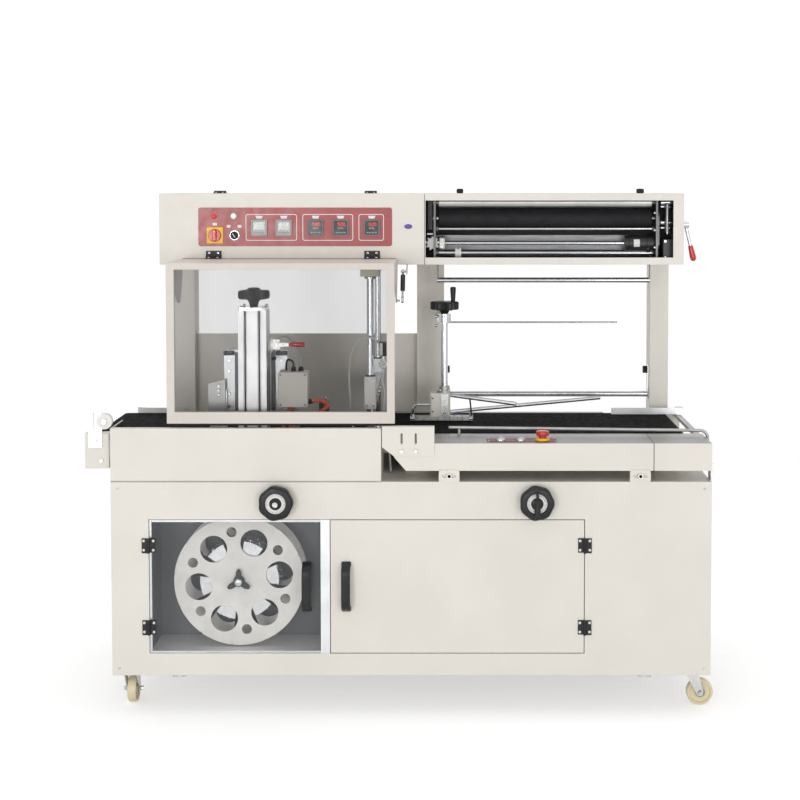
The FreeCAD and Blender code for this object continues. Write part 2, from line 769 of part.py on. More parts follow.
def top_hinges(places, width, origin_y, origin_z, leaf_direction, face_direction, fold):
    """Hinges about X: the fixed halves and the moving halves."""
    fixed_halves, moving_halves = [], []
    for x in places:
        fixed, moving = hinge_parts(width, HINGE_WIDTH, fold)
        origin = (x, origin_y, origin_z)
        fixed_halves.append(placed(fixed, origin, leaf_direction, face_direction))
        moving_halves.append(placed(moving, origin, leaf_direction, face_direction))
    return fixed_halves, moving_halves


def caster_places():
    """Each caster's name with its kingpin place and the direction in which it trails."""
    left = BASE_LEFT + CASTER_INSET
    right = BASE_RIGHT - CASTER_INSET - 4.0
    front = CASTER_PLATE / 2 + 42.0
    back = BASE_DEPTH - CASTER_PLATE / 2 - 42.0
    return {
        "front_left": ((left, front), Y_AXIS),
        "front_right": ((right, front), X_AXIS),
        "rear_left": ((left, back), -Y_AXIS),
        "rear_right": ((right, back), Y_AXIS),
    }


def caster_fork(place, trail):
    """A swivel fork with its kingpin and wheel axle, trailing along a direction."""
    inner = WHEEL_HUB / 2 + 1.0
    leg = 3.0
    axle_z = WHEEL_DIAMETER / 2
    crown_top = CASTER_HEIGHT - 12.0
    crown = rod_z(0, 0, (crown_top - 9.0, crown_top), 44.0)
    pin = rod_z(0, 0, (crown_top, CASTER_HEIGHT - 3.4), KINGPIN_DIAMETER)
    outline = [
        (-18.0, crown_top - 5.0),
        (20.0, crown_top - 5.0),
        (CASTER_TRAIL + 9.0, axle_z + 4.0),
        (CASTER_TRAIL + 6.0, axle_z - 9.0),
        (CASTER_TRAIL - 7.0, axle_z - 9.0),
    ]
    legs = []
    for low in (-inner - leg, inner):
        legs.append(prism_y(outline, onward(low, leg)))
    bridge = block((-18.0, 20.0), (-inner - leg, inner + leg), (crown_top - 9.0, crown_top - 5.0))
    axle = rod_y(CASTER_TRAIL, (-inner - leg - 4.0, inner + leg + 4.0), axle_z, AXLE_DIAMETER)
    fork = joined(crown, pin, bridge, axle, *legs)
    side = Z_AXIS.cross(trail)
    return placed(fork, (place[0], place[1], 0), trail, side)


def caster_wheel(place, trail):
    """A wheel with a rounded tread, a stepped web and a bored hub."""
    bore = AXLE_DIAMETER / 2 + FIT_GAP
    rim = WHEEL_DIAMETER / 2
    hub = 12.0
    tread = WHEEL_TREAD / 2
    web = 6.0
    half_hub = WHEEL_HUB / 2
    outline = [
        (bore, -half_hub), (hub, -half_hub), (hub + 1.0, -web), (rim - 8.0, -web),
        (rim - 7.0, -tread), (rim - 2.5, -tread), (rim, -tread + 4.0), (rim, tread - 4.0),
        (rim - 2.5, tread), (rim - 7.0, tread), (rim - 8.0, web), (hub + 1.0, web),
        (hub, half_hub), (bore, half_hub),
    ]
    side = Z_AXIS.cross(trail)
    centre = Vector(place[0], place[1], WHEEL_DIAMETER / 2) + trail * CASTER_TRAIL
    return turned(outline, tuple(centre), side)


def caster_plates():
    """The fixed plates and swivel races above the casters."""
    plates = []
    for place, _ in caster_places().values():
        x, y = place
        plate = block(centred(x, CASTER_PLATE - 8.0), centred(y, CASTER_PLATE),
                      (BASE_BOTTOM - 3.0, BASE_BOTTOM))
        race = rod_z(x, y, (BASE_BOTTOM - 12.0 + FIT_GAP, BASE_BOTTOM - 3.0), CASTER_RACE)
        bore = rod_z(x, y, (BASE_BOTTOM - 13.0, BASE_BOTTOM - 3.0), KINGPIN_DIAMETER + 2 * FIT_GAP)
        plates.append(joined(plate, without(race, bore)))
    return plates


def levelling_feet():
    """Screw feet that hang clear of the floor until the machine is levelled."""
    feet = []
    for x in (BASE_LEFT + FOOT_X_INSET, BASE_RIGHT - FOOT_X_INSET):
        for y in (60.0, BASE_DEPTH - 60.0):
            low = BASE_BOTTOM - FOOT_DROP
            pad = rod_z(x, y, onward(low, FOOT_PAD_THICKNESS), FOOT_PAD_DIAMETER)
            stem = rod_z(x, y, (low + FOOT_PAD_THICKNESS, BASE_BOTTOM), FOOT_STEM_DIAMETER)
            feet.append(joined(pad, stem))
    return feet


def handwheel_seat(x):
    """The flanged bush in which a handwheel's shaft runs."""
    flange = rod_y(x, (-6.0, 0), HANDWHEEL_Z, HANDWHEEL_HUB)
    bush = rod_y(x, (0, SHEET + 16.0), HANDWHEEL_Z, HANDWHEEL_SHAFT + 8.0)
    bore = rod_y(x, (-7.0, SHEET + 17.0), HANDWHEEL_Z, HANDWHEEL_SHAFT + 2 * FIT_GAP)
    return without(joined(flange, bush), bore)


def base_cabinet():
    """The welded base with its door bay, a vented back, feet and caster plates."""
    x = (BASE_LEFT, BASE_RIGHT)
    outer = block(x, (0, BASE_DEPTH), (BASE_BOTTOM, BASE_TOP))
    inner = block(
        (BASE_LEFT + SHEET, BASE_RIGHT - SHEET),
        (SHEET, BASE_DEPTH - SHEET),
        (BASE_BOTTOM + SHEET, BASE_TOP - SHEET),
    )
    bay = block((BAY_LEFT, BAY_RIGHT), (-1.0, SHEET + 1.0), (BAY_BOTTOM, BAY_TOP))
    cutters = [inner, bay]
    for wheel_x in (OUTFEED_WHEEL_X, INFEED_WHEEL_X):
        cutters.append(rod_y(wheel_x, (-1.0, SHEET + 1.0), HANDWHEEL_Z, HANDWHEEL_SHAFT + 8.0))
    for vent_x in (BASE_LEFT / 2, BASE_RIGHT / 2):
        for index in range(LOUVRE_COUNT):
            z = BASE_TOP - 110.0 - index * LOUVRE_PITCH
            vent = block(
                centred(vent_x, LOUVRE_WIDTH),
                (BASE_DEPTH - SHEET - 1.0, BASE_DEPTH + 1.0),
                onward(z, LOUVRE_HEIGHT),
            )
            cutters.append(vent)
    shell = without(outer, *cutters)
    seats = [handwheel_seat(OUTFEED_WHEEL_X), handwheel_seat(INFEED_WHEEL_X)]
    return [shell] + caster_plates() + levelling_feet() + seats


def reel_bay_limits():
    """The X, Y and Z limits of the space inside the reel bay."""
    return (BAY_LEFT, MULLION_LEFT), (SHEET, REEL_BAY_DEPTH), (BAY_BOTTOM, BAY_TOP)


def reel_compartment():
    """The dark bay behind the clear door, its winder shaft and the motor behind it."""
    x, y, z = reel_bay_limits()
    outer = block(
        (x[0] - THIN_SHEET, x[1] + THIN_SHEET),
        (y[0], y[1] + THIN_SHEET),
        (z[0] - THIN_SHEET, z[1] + THIN_SHEET),
    )
    space = block(x, (y[0] - 1.0, y[1]), z)
    mullion_room = block(
        (MULLION_LEFT, MULLION_RIGHT), (0, MULLION_DEPTH), (z[0] - 10.0, z[1] + 10.0)
    )
    shell = without(outer, space, mullion_room)
    back = REEL_BAY_DEPTH
    flange = rod_y(REEL_X, (back - 8.0, back), REEL_Z, 56.0)
    shaft = rod_y(REEL_X, (REEL_FRONT_Y - REEL_KNOB_DEPTH + 6.0, back - 8.0), REEL_Z, REEL_SHAFT_DIAMETER)
    motor = rod_y(
        REEL_X, onward(back + THIN_SHEET, REEL_MOTOR_LENGTH), REEL_Z, REEL_MOTOR_DIAMETER
    )
    gearbox = block(
        centred(REEL_X, REEL_MOTOR_DIAMETER),
        onward(back + THIN_SHEET + REEL_MOTOR_LENGTH, 60.0),
        centred(REEL_Z, REEL_MOTOR_DIAMETER),
    )
    return [shell, joined(flange, shaft), joined(motor, gearbox)]


def door_mullion():
    """The aluminium channel between the two doors."""
    outline = [
        (MULLION_LEFT, 0), (MULLION_RIGHT, 0), (MULLION_RIGHT, MULLION_DEPTH),
        (MULLION_RIGHT - THIN_SHEET, MULLION_DEPTH), (MULLION_RIGHT - THIN_SHEET, THIN_SHEET),
        (MULLION_LEFT + THIN_SHEET, THIN_SHEET), (MULLION_LEFT + THIN_SHEET, MULLION_DEPTH),
        (MULLION_LEFT, MULLION_DEPTH),
    ]
    return [prism_z(outline, (BAY_BOTTOM, BAY_TOP))]


def scrap_reel():
    """The winder's two flanges and the hub that joins them."""
    bore = REEL_SHAFT_DIAMETER + 2 * FIT_GAP
    front = REEL_FRONT_Y
    back = front + REEL_WIDTH
    flange = rod_y(REEL_X, (front, front + REEL_FLANGE), REEL_Z, REEL_DIAMETER)
    cutters = []
    patterns = (
        (REEL_WINDOW_DIAMETER, REEL_WINDOW_RADIUS, REEL_WINDOW_TURN),
        (REEL_HOLE_DIAMETER, REEL_HOLE_RADIUS, REEL_HOLE_TURN),
    )
    for diameter, radius, turn in patterns:
        for index in range(REEL_WINDOWS):
            angle = math.radians(turn + 360.0 / REEL_WINDOWS * index)
            x = REEL_X + radius * math.cos(angle)
            z = REEL_Z + radius * math.sin(angle)
            cutters.append(rod_y(x, (front - 1.0, front + REEL_FLANGE + 1.0), z, diameter))
    flange = without(flange, *cutters)
    hub = rod_y(REEL_X, (front, back), REEL_Z, REEL_HUB_DIAMETER)
    rear = rod_y(REEL_X, (back - REEL_FLANGE, back), REEL_Z, REEL_DIAMETER * 0.8)
    shaft_room = rod_y(REEL_X, (front - 1.0, back + 1.0), REEL_Z, bore)
    return [without(joined(flange, hub, rear), shaft_room)]


def reel_knob():
    """The three-armed hand nut that clamps the reel, with its chrome cap."""
    grip = lobed_grip(3, 2 * REEL_KNOB_ARM, REEL_KNOB_HUB, REEL_KNOB_DEPTH, REEL_KNOB_ARM_WIDTH)
    back = REEL_FRONT_Y - FIT_GAP
    front = back - REEL_KNOB_DEPTH
    grip.rotate(Vector(0, 0, 0), Z_AXIS, -90)
    grip = placed(grip, (REEL_X, back, REEL_Z), X_AXIS, Z_AXIS)
    bore = rod_y(REEL_X, (front + 4.0, back + 1.0), REEL_Z, REEL_SHAFT_DIAMETER + 2 * FIT_GAP)
    cap = turned([(0, 0), (11.5, 0), (11.5, 4.0), (8.0, 8.0), (0, 9.0)], (REEL_X, front, REEL_Z), -Y_AXIS)
    return [without(grip, bore), cap]


def pull_handle(x, face_y, z):
    """A bow pull that stands on two feet in front of a door."""
    low, high = centred(z, PULL_HEIGHT)
    reach = face_y - PULL_REACH
    foot = 22.0
    outline = [
        (face_y, low), (face_y, low + foot), (reach + PULL_BAR + 4.0, low + foot + 8.0),
        (reach + PULL_BAR, low + foot + 18.0), (reach + PULL_BAR, high - foot - 18.0),
        (reach + PULL_BAR + 4.0, high - foot - 8.0), (face_y, high - foot), (face_y, high),
        (face_y - 10.0, high), (reach, high - 26.0), (reach, low + 26.0), (face_y - 10.0, low),
    ]
    return prism_x(outline, centred(x, PULL_WIDTH))


def door_limits(window):
    """The X limits of the clear door or of the steel door."""
    if window:
        return (BAY_LEFT + DOOR_GAP, MULLION_LEFT - DOOR_GAP)
    return (MULLION_RIGHT + DOOR_GAP, BAY_RIGHT - DOOR_GAP)


def door_height():
    """The Z limits of both doors."""
    return (BAY_BOTTOM + DOOR_GAP, BAY_TOP - DOOR_GAP)


def window_door():
    """The clear door over the reel bay."""
    return [block(door_limits(True), (0, WINDOW_THICKNESS), door_height())]


def window_door_handle():
    """The clear door's pull and the halves of its hinges."""
    x = door_limits(True)[1] - PULL_INSET
    z = (BAY_BOTTOM + BAY_TOP) / 2
    _, moving = door_hinges(BAY_LEFT, X_AXIS)
    return [pull_handle(x, 0, z)] + moving


def steel_door():
    """The folded steel door on the right."""
    x = door_limits(False)
    return [open_box(x, (0, DOOR_THICKNESS), door_height(), THIN_SHEET, "+y")]


def steel_door_handle():
    """The steel door's pull and the halves of its hinges."""
    x = door_limits(False)[0] + PULL_INSET + 8.0
    z = (BAY_BOTTOM + BAY_TOP) / 2
    _, moving = door_hinges(BAY_RIGHT, -X_AXIS)
    return [pull_handle(x, 0, z)] + moving


def hood_hinge_halves():
    """The hood's hinges, between the control box's face and the hood's top."""
    return top_hinges(
        HOOD_HINGE_X, HOOD_HINGE_WIDTH, HOOD_PIVOT_Y, HOOD_PIVOT_Z, -Z_AXIS, Y_AXIS, -90
    )


def lid_hinge_halves():
    """The lid's hinges, across the seam on top of the control box."""
    return top_hinges(LID_HINGE_X, LID_HINGE_WIDTH, LID_AXIS_Y, LID_AXIS_Z, Y_AXIS, -Z_AXIS, 0)


def hinge_leaves():
    """Every hinge half that is screwed to the machine's fixed panels."""
    left, _ = door_hinges(BAY_LEFT, X_AXIS)
    right, _ = door_hinges(BAY_RIGHT, -X_AXIS)
    hood, _ = hood_hinge_halves()
    lid, _ = lid_hinge_halves()
    return left + right + hood + lid


def handwheel(x):
    """A handwheel with a rim, a dished web, a ring and a shaft that runs in the bush."""
    rim = HANDWHEEL_DIAMETER / 2
    depth = HANDWHEEL_DEPTH
    inner = rim - HANDWHEEL_RIM
    outline = [
        (0, 0), (HANDWHEEL_HUB / 2 - 3.0, 0), (HANDWHEEL_HUB / 2 - 3.0, 8.0), (inner, 10.0),
        (inner + 2.0, 3.0), (rim - 5.0, 2.0), (rim, 7.0), (rim, depth - 10.0),
        (rim - 4.0, depth - 5.0), (inner, depth - 5.0), (inner - 2.0, depth - 8.0),
        (HANDWHEEL_HUB / 2, depth - 8.0), (HANDWHEEL_HUB / 2 - 2.0, depth), (0, depth),
    ]
    body = turned(outline, (x, -HANDWHEEL_STANDOFF, HANDWHEEL_Z), -Y_AXIS)
    shaft = rod_y(x, (-HANDWHEEL_STANDOFF, SHEET + 14.0), HANDWHEEL_Z, HANDWHEEL_SHAFT)
    return joined(body, shaft)


def crank_pivot():
    """The place of the folding grip's pin on the right handwheel."""
    y = -HANDWHEEL_STANDOFF - HANDWHEEL_DEPTH - CRANK_EYE_DIAMETER / 2
    return (INFEED_WHEEL_X, y, HANDWHEEL_Z + CRANK_OFFSET)


def outfeed_handwheel():
    """The left handwheel."""
    return [handwheel(OUTFEED_WHEEL_X)]


def infeed_handwheel():
    """The right handwheel, with the two ears that carry its folding grip."""
    x, y, z = crank_pivot()
    wheel = handwheel(INFEED_WHEEL_X)
    half = CRANK_EYE_THICKNESS / 2 + FIT_GAP
    seat = -HANDWHEEL_STANDOFF - HANDWHEEL_DEPTH + 8.0
    for low in (x - half - 4.0, x + half):
        outline = [(seat, z - 8.0), (seat, z + 8.0), (y, z + 5.0), (y - 5.0, z), (y, z - 5.0)]
        wheel = joined(wheel, prism_x(outline, onward(low, 4.0)))
    pin = rod_x(centred(x, 2 * half + 8.0), y, z, CRANK_PIN_DIAMETER)
    return [joined(wheel, pin)]


def folding_crank():
    """The folding grip: an eye on the pin, a neck and a tapered handle that hangs down."""
    x, y, z = crank_pivot()
    eye = rod_x(centred(x, CRANK_EYE_THICKNESS), y, z, CRANK_EYE_DIAMETER - 2.0)
    neck = rod((x, y, z), (x, y, z - 18.0), CRANK_EYE_THICKNESS)
    grip = turned(
        [
            (0, 0), (CRANK_GRIP_DIAMETER / 2 - 2.0, 0), (CRANK_GRIP_DIAMETER / 2, 6.0),
            (CRANK_GRIP_DIAMETER / 2 + 1.0, CRANK_GRIP_LENGTH - 8.0),
            (CRANK_GRIP_DIAMETER / 2 - 2.0, CRANK_GRIP_LENGTH), (0, CRANK_GRIP_LENGTH),
        ],
        (x, y, z - 14.0),
        -Z_AXIS,
    )
    bore = rod_x(centred(x, 30.0), y, z, CRANK_PIN_DIAMETER + 2 * FIT_GAP)
    return [without(joined(eye, neck, grip), bore)]


def station_housing():
    """The housing of the seal station, with the trim bracket on its left end."""
    y = (0, HOUSING_DEPTH)
    x = (BASE_LEFT, HOUSING_RIGHT)
    outer = block(x, y, (BASE_TOP, HOUSING_TOP))
    space = block(
        (x[0] + SHEET, x[1] - SHEET), (SHEET, HOUSING_DEPTH + 1.0), (BASE_TOP - 1.0, HOUSING_TOP - SHEET)
    )
    mouth = block(
        (x[0] + SHEET, x[1] - SHEET), (HOUSING_FLANGE, HOUSING_DEPTH + 1.0), (BASE_TOP, HOUSING_TOP + 1.0)
    )
    seam = block((x[0] - 1.0, x[1] + 1.0), (-1.0, 1.0), (BASE_TOP - 1.0, HOUSING_BOTTOM))
    shell = without(outer, space, mouth, seam)
    back = block((x[0] + SHEET, OUTFEED_RIGHT), (HOUSING_DEPTH - SHEET, HOUSING_DEPTH),
                 (BASE_TOP, BELT_AXIS_Z))
    return [shell, back] + trim_bracket()


def trim_bracket():
    """The boxed bracket and slotted plate that carry the film trim pulley."""
    y = onward(BRACKET_Y, BRACKET_DEPTH)
    arm_top = BRACKET_TOP - 20.0
    box = open_box((BRACKET_LEFT, BRACKET_RIGHT), y, (BRACKET_BOTTOM, BRACKET_TOP), THIN_SHEET, "+y")
    arm = block((BRACKET_RIGHT, BASE_LEFT), (y[0] + 6.0, y[1] - 6.0), (BRACKET_BOTTOM + 20.0, arm_top))
    plate_left = BRACKET_LEFT + 10.0
    plate_right = plate_left + BRACKET_PLATE_WIDTH
    plate_y = (y[0] - 4.0, y[0])
    outline = [
        (plate_left, BRACKET_TOP - 40.0), (plate_left, BRACKET_TOP - 40.0 + BRACKET_PLATE_HEIGHT),
        (plate_right, BRACKET_TOP - 40.0 + BRACKET_PLATE_HEIGHT),
        (plate_right, PULLEY_Z + 10.0), (PULLEY_X + 10.0, PULLEY_Z + 10.0),
        (PULLEY_X + 10.0, PULLEY_Z - 10.0), (plate_right, PULLEY_Z - 10.0),
        (plate_right, BRACKET_TOP - 40.0),
    ]
    plate = prism_y(outline, plate_y)
    middle = (plate_left + plate_right) / 2
    slot_low = BRACKET_TOP + 12.0
    slot = slot_y((middle, middle), (plate_y[0] - 1.0, plate_y[1] + 1.0),
                  (slot_low, slot_low + BRACKET_SLOT_LENGTH), BRACKET_SLOT_WIDTH)
    plate = without(plate, slot)
    pin = rod_y(PULLEY_X, (plate_y[0] - PULLEY_WIDTH - 5.0, plate_y[0]), PULLEY_Z, PULLEY_PIN)
    head = rod_y(PULLEY_X, onward(plate_y[0] - PULLEY_WIDTH - 5.0, 3.0), PULLEY_Z, PULLEY_PIN + 7.0)
    bolts = [
        hex_bolt((middle, plate_y[0], BRACKET_TOP - 22.0), -Y_AXIS, BOLT_DIAMETER, BOLT_HEIGHT),
        hex_bolt((BRACKET_LEFT + 46.0, y[0], BRACKET_BOTTOM + 22.0), -Y_AXIS, BOLT_DIAMETER, BOLT_HEIGHT),
    ]
    return [box, arm, joined(plate, pin, head)] + bolts


def trim_pulley():
    """The grooved pulley that leads the scrap film away."""
    radius = PULLEY_DIAMETER / 2
    bore = PULLEY_PIN / 2 + FIT_GAP
    back = BRACKET_Y - 4.0 - FIT_GAP
    width = PULLEY_WIDTH
    outline = [
        (bore, 0), (radius, 0), (radius, 2.5), (radius - 5.0, 4.5), (radius - 5.0, width - 4.5),
        (radius, width - 2.5), (radius, width), (bore, width),
    ]
    return [turned(outline, (PULLEY_X, back, PULLEY_Z), -Y_AXIS)]


def belt_loop(x):
    """One flat belt loop round its two end rollers."""
    y = (BELT_FRONT, BELT_BACK)
    radius = BELT_NOSE_DIAMETER / 2
    loops = []
    for inset in (0, BELT_THICKNESS):
        reach = radius - inset
        middle = block((x[0] + radius, x[1] - radius), y, centred(BELT_AXIS_Z, 2 * reach))
        ends = [rod_y(end, y, BELT_AXIS_Z, 2 * reach) for end in (x[0] + radius, x[1] - radius)]
        loops.append(joined(middle, *ends))
    return without(loops[0], loops[1])


def conveyor_belts():
    """The outfeed belt and the infeed belt."""
    return [belt_loop((OUTFEED_LEFT, OUTFEED_RIGHT)), belt_loop((INFEED_LEFT, INFEED_RIGHT))]


def bed_and_sides(x, plate_x):
    """A conveyor's two side plates, its slider bed and its supports on the base."""
    radius = BELT_NOSE_DIAMETER / 2
    plate_bottom = BELT_AXIS_Z - radius - 8.0
    fronts = (BELT_FRONT - SIDE_PLATE_GAP - SIDE_PLATE, BELT_BACK + SIDE_PLATE_GAP)
    solids = []
    for front in fronts:
        plate = block(plate_x, onward(front, SIDE_PLATE), (plate_bottom, COVER_TOP))
        bores = []
        for end in (x[0] + radius, x[1] - radius):
            bores.append(rod_y(end, onward(front - 1.0, SIDE_PLATE + 2.0), BELT_AXIS_Z,
                               ROLLER_JOURNAL + 2 * FIT_GAP))
        solids.append(without(plate, *bores))
    bed = block(
        (x[0] + 2 * radius + 4.0, x[1] - 2 * radius - 4.0),
        (fronts[0] + SIDE_PLATE, fronts[1]),
        (BELT_AXIS_Z - radius / 2, BELT_TOP - BELT_THICKNESS - FIT_GAP),
    )
    solids.append(bed)
    for low in (plate_x[0] + 70.0, plate_x[1] - 70.0 - BELT_SUPPORT_WIDTH):
        foot = open_box(
            onward(low, BELT_SUPPORT_WIDTH),
            (fronts[0], fronts[1] + SIDE_PLATE),
            (BASE_TOP, plate_bottom),
            SHEET,
            "-z",
        )
        solids.append(foot)
    return solids


def conveyor_frames():
    """The beds, side plates and supports of both conveyors, and the rear rail."""
    outfeed_plate = (OUTFEED_LEFT + BELT_NOSE_DIAMETER / 2 - 12.0, OUTFEED_RIGHT - 5.0)
    infeed_plate = (INFEED_LEFT + 5.0, BASE_RIGHT - 6.0)
    solids = bed_and_sides((OUTFEED_LEFT, OUTFEED_RIGHT), outfeed_plate)
    solids += bed_and_sides((INFEED_LEFT, INFEED_RIGHT), infeed_plate)
    rear = BELT_BACK + SIDE_PLATE_GAP + SIDE_PLATE
    rail = block((infeed_plate[0], infeed_plate[1] - 240.0), onward(rear, REAR_RAIL_DEPTH),
                 (BELT_TOP - 34.0, BELT_TOP))
    bar = block(
        (BASE_RIGHT - 6.0 - END_BAR_WIDTH, BASE_RIGHT - 6.0),
        (BELT_FRONT - SIDE_PLATE_GAP, BELT_BACK + SIDE_PLATE_GAP),
        (COVER_TOP - END_BAR_THICKNESS, COVER_TOP),
    )
    return solids + [rail, bar]


def end_roller(x):
    """A conveyor end roller with journals in both side plates."""
    radius = BELT_NOSE_DIAMETER / 2 - BELT_THICKNESS - FIT_GAP
    body = rod_y(x, (BELT_FRONT, BELT_BACK), BELT_AXIS_Z, 2 * radius)
    reach = SIDE_PLATE_GAP + SIDE_PLATE - 1.0
    journal = rod_y(x, (BELT_FRONT - reach, BELT_BACK + reach), BELT_AXIS_Z, ROLLER_JOURNAL)
    return [joined(body, journal)]


def outfeed_end_roller():
    """The roller in the nose of the outfeed belt."""
    return end_roller(OUTFEED_LEFT + BELT_NOSE_DIAMETER / 2)


def infeed_end_roller():
    """The roller at the right end of the infeed belt."""
    return end_roller(INFEED_RIGHT - BELT_NOSE_DIAMETER / 2)


def cover_channel(x, slanted):
    """A front cover folded from sheet: a front, a top and a bottom lip."""
    outline = [
        (0, COVER_BOTTOM), (0, COVER_TOP), (COVER_BACK, COVER_TOP), (COVER_BACK, COVER_TOP - THIN_SHEET),
        (THIN_SHEET, COVER_TOP - THIN_SHEET), (THIN_SHEET, COVER_BOTTOM + THIN_SHEET),
        (24.0, COVER_BOTTOM + THIN_SHEET), (24.0, COVER_BOTTOM),
    ]
    cover = prism_x(outline, x)
    if slanted:
        corner = [
            (x[0] - 1.0, COVER_BOTTOM - 1.0),
            (x[0] + COVER_SLANT, COVER_BOTTOM - 1.0),
            (x[0] - 1.0, COVER_BOTTOM + COVER_SLANT_HEIGHT),
        ]
        cover = without(cover, prism_y(corner, (-1.0, COVER_BACK + 1.0)))
    return cover


def button_bores():
    """Cutters for the shafts of the push buttons and the emergency stop."""
    cutters = []
    places = (
        (START_BUTTON_X, BUTTON_CAP_DIAMETER),
        (STOP_BUTTON_X, BUTTON_CAP_DIAMETER),
        (EMERGENCY_STOP_X, STOP_STEM_DIAMETER),
    )
    for x, diameter in places:
        cutters.append(rod_z(x, STRIP_Y, (COVER_TOP - 40.0, STRIP_TOP + 20.0), diameter + 2 * FIT_GAP))
    return cutters


def control_strip():
    """The strip under the buttons, with the fixed bezels and the stop's collar."""
    bores = button_bores()
    x = onward(STRIP_LEFT, STRIP_WIDTH)
    strip = block(x, onward(STRIP_FRONT, STRIP_DEPTH), (COVER_TOP, STRIP_TOP))
    strip = softened(strip, 8.0, Z_AXIS)
    solids = [without(strip, *bores)]
    for bore, button_x in zip(bores, (START_BUTTON_X, STOP_BUTTON_X)):
        height = BUTTON_BEZEL_HEIGHT
        radius = BUTTON_BEZEL_DIAMETER / 2
        bezel = turned(
            [(0, 0), (radius, 0), (radius, height - 2.0), (radius - 2.0, height), (0, height)],
            (button_x, STRIP_Y, STRIP_TOP),
            Z_AXIS,
        )
        solids.append(without(bezel, bore))
    collar = rod_z(
        EMERGENCY_STOP_X, STRIP_Y, onward(STRIP_TOP, STOP_COLLAR_HEIGHT), STOP_COLLAR_DIAMETER
    )
    solids.append(without(collar, bores[2]))
    return solids


def infeed_covers():
    """The front covers of the infeed, their strip and the folded side bracket."""
    bores = button_bores()
    front = without(cover_channel((COVER_LEFT, COVER_SEAM_X - END_COVER_SEAM / 2), True), *bores)
    end = cover_channel((COVER_SEAM_X + END_COVER_SEAM / 2, BASE_RIGHT), False)
    return [front, end, side_bracket()] + control_strip()


def side_bracket():
    """The folded bracket on the right side, with its diagonal edge."""
    x = BASE_RIGHT
    low = BASE_TOP - SIDE_BRACKET_DROP
    high = BASE_TOP + SIDE_BRACKET_RISE
    plate = block((x, x + THIN_SHEET + 1.0), onward(20.0, SIDE_BRACKET_WIDTH), (low, high))
    corners = [
        (x + THIN_SHEET + 1.0, low + 8.0), (x + THIN_SHEET + 1.0, high), (x + 16.0, high),
        (x + 16.0, high - 14.0),
    ]
    gusset = prism_y(corners, onward(20.0 + SIDE_BRACKET_WIDTH - 4.0, 4.0))
    return joined(plate, gusset)


def push_button(x):
    """A round push button whose plunger runs in the strip."""
    height = STRIP_TOP + BUTTON_BEZEL_HEIGHT
    cap = rod_z(x, STRIP_Y, (height - 2.0, height + BUTTON_CAP_PROUD), BUTTON_CAP_DIAMETER)
    plunger = rod_z(x, STRIP_Y, (COVER_TOP - 12.0, height - 2.0), BUTTON_CAP_DIAMETER - 4.0)
    return [joined(cap, plunger)]


def start_button():
    """The left push button."""
    return push_button(START_BUTTON_X)


def stop_button():
    """The right push button."""
    return push_button(STOP_BUTTON_X)


def emergency_stop():
    """The mushroom head and its stem."""
    radius = STOP_CAP_DIAMETER / 2
    base = STRIP_TOP + STOP_COLLAR_HEIGHT + STOP_TRAVEL + FIT_GAP
    height = STOP_CAP_HEIGHT
    cap = turned(
        [
            (0, 0), (radius - 2.0, 0), (radius, 3.0), (radius, height - 7.0),
            (radius - 4.0, height - 2.0), (radius - 10.0, height), (0, height),
        ],
        (EMERGENCY_STOP_X, STRIP_Y, base),
        Z_AXIS,
    )
    stem = rod_z(EMERGENCY_STOP_X, STRIP_Y, (COVER_TOP - STOP_STEM_HEIGHT, base), STOP_STEM_DIAMETER)
    return [joined(cap, stem)]


def support_tab(left):
    """A slotted tab that holds the front cover above the base."""
    x = onward(left, TAB_WIDTH)
    plate = block(x, (-TAB_THICKNESS, 0), onward(BASE_TOP, TAB_HEIGHT))
    middle = left + TAB_WIDTH / 2
    half = (TAB_SLOT_LENGTH - TAB_SLOT_WIDTH) / 2
    slot_z = BASE_TOP + TAB_HEIGHT / 2
    slot = slot_y((middle - half, middle + half), (-TAB_THICKNESS - 1.0, 1.0), (slot_z, slot_z),
                  TAB_SLOT_WIDTH)
    foot = block(x, (0, 30.0), onward(BASE_TOP, 4.0))
    web = block(x, (0, 6.0), (BASE_TOP + 4.0, COVER_BOTTOM))
    plate = softened(plate, 9.0, Y_AXIS)
    return [joined(without(plate, slot), foot, web)]


def mounting_plates():
    """The adjusting plate, the support tabs and their bolts."""
    y = (-ADJUST_THICKNESS, 0)
    left = ADJUST_LEFT
    right = left + ADJUST_WIDTH
    low = BASE_TOP + ADJUST_BOTTOM_RISE
    high = low + ADJUST_HEIGHT
    outline = [
        (left, low + ADJUST_SLANT), (left, high), (right, high), (right, low),
        (left + ADJUST_SLANT * 1.3, low),
    ]
    plate = prism_y(outline, y)
    flange = block((left, right), (0, ADJUST_FLANGE), (high - ADJUST_THICKNESS, high))
    plate = joined(plate, flange)
    slot_low = low + 37.0
    solids = []
    for x in ADJUST_SLOT_X:
        slot = slot_y((x, x), (y[0] - 1.0, 1.0), (slot_low, slot_low + ADJUST_SLOT_LENGTH),
                      ADJUST_SLOT_WIDTH)
        plate = without(plate, slot)
        solids.append(hex_bolt((x, y[0], low + 14.6), -Y_AXIS, BOLT_DIAMETER, BOLT_HEIGHT))
    solids.append(plate)
    for left_edge in (TAB_LEFT, TAB_RIGHT):
        solids += support_tab(left_edge)
        middle = left_edge + TAB_WIDTH / 2
        seat = (middle, -TAB_THICKNESS, BASE_TOP + TAB_HEIGHT / 2)
        solids.append(hex_bolt(seat, -Y_AXIS, TAB_BOLT_DIAMETER, BOLT_HEIGHT))
    return solids


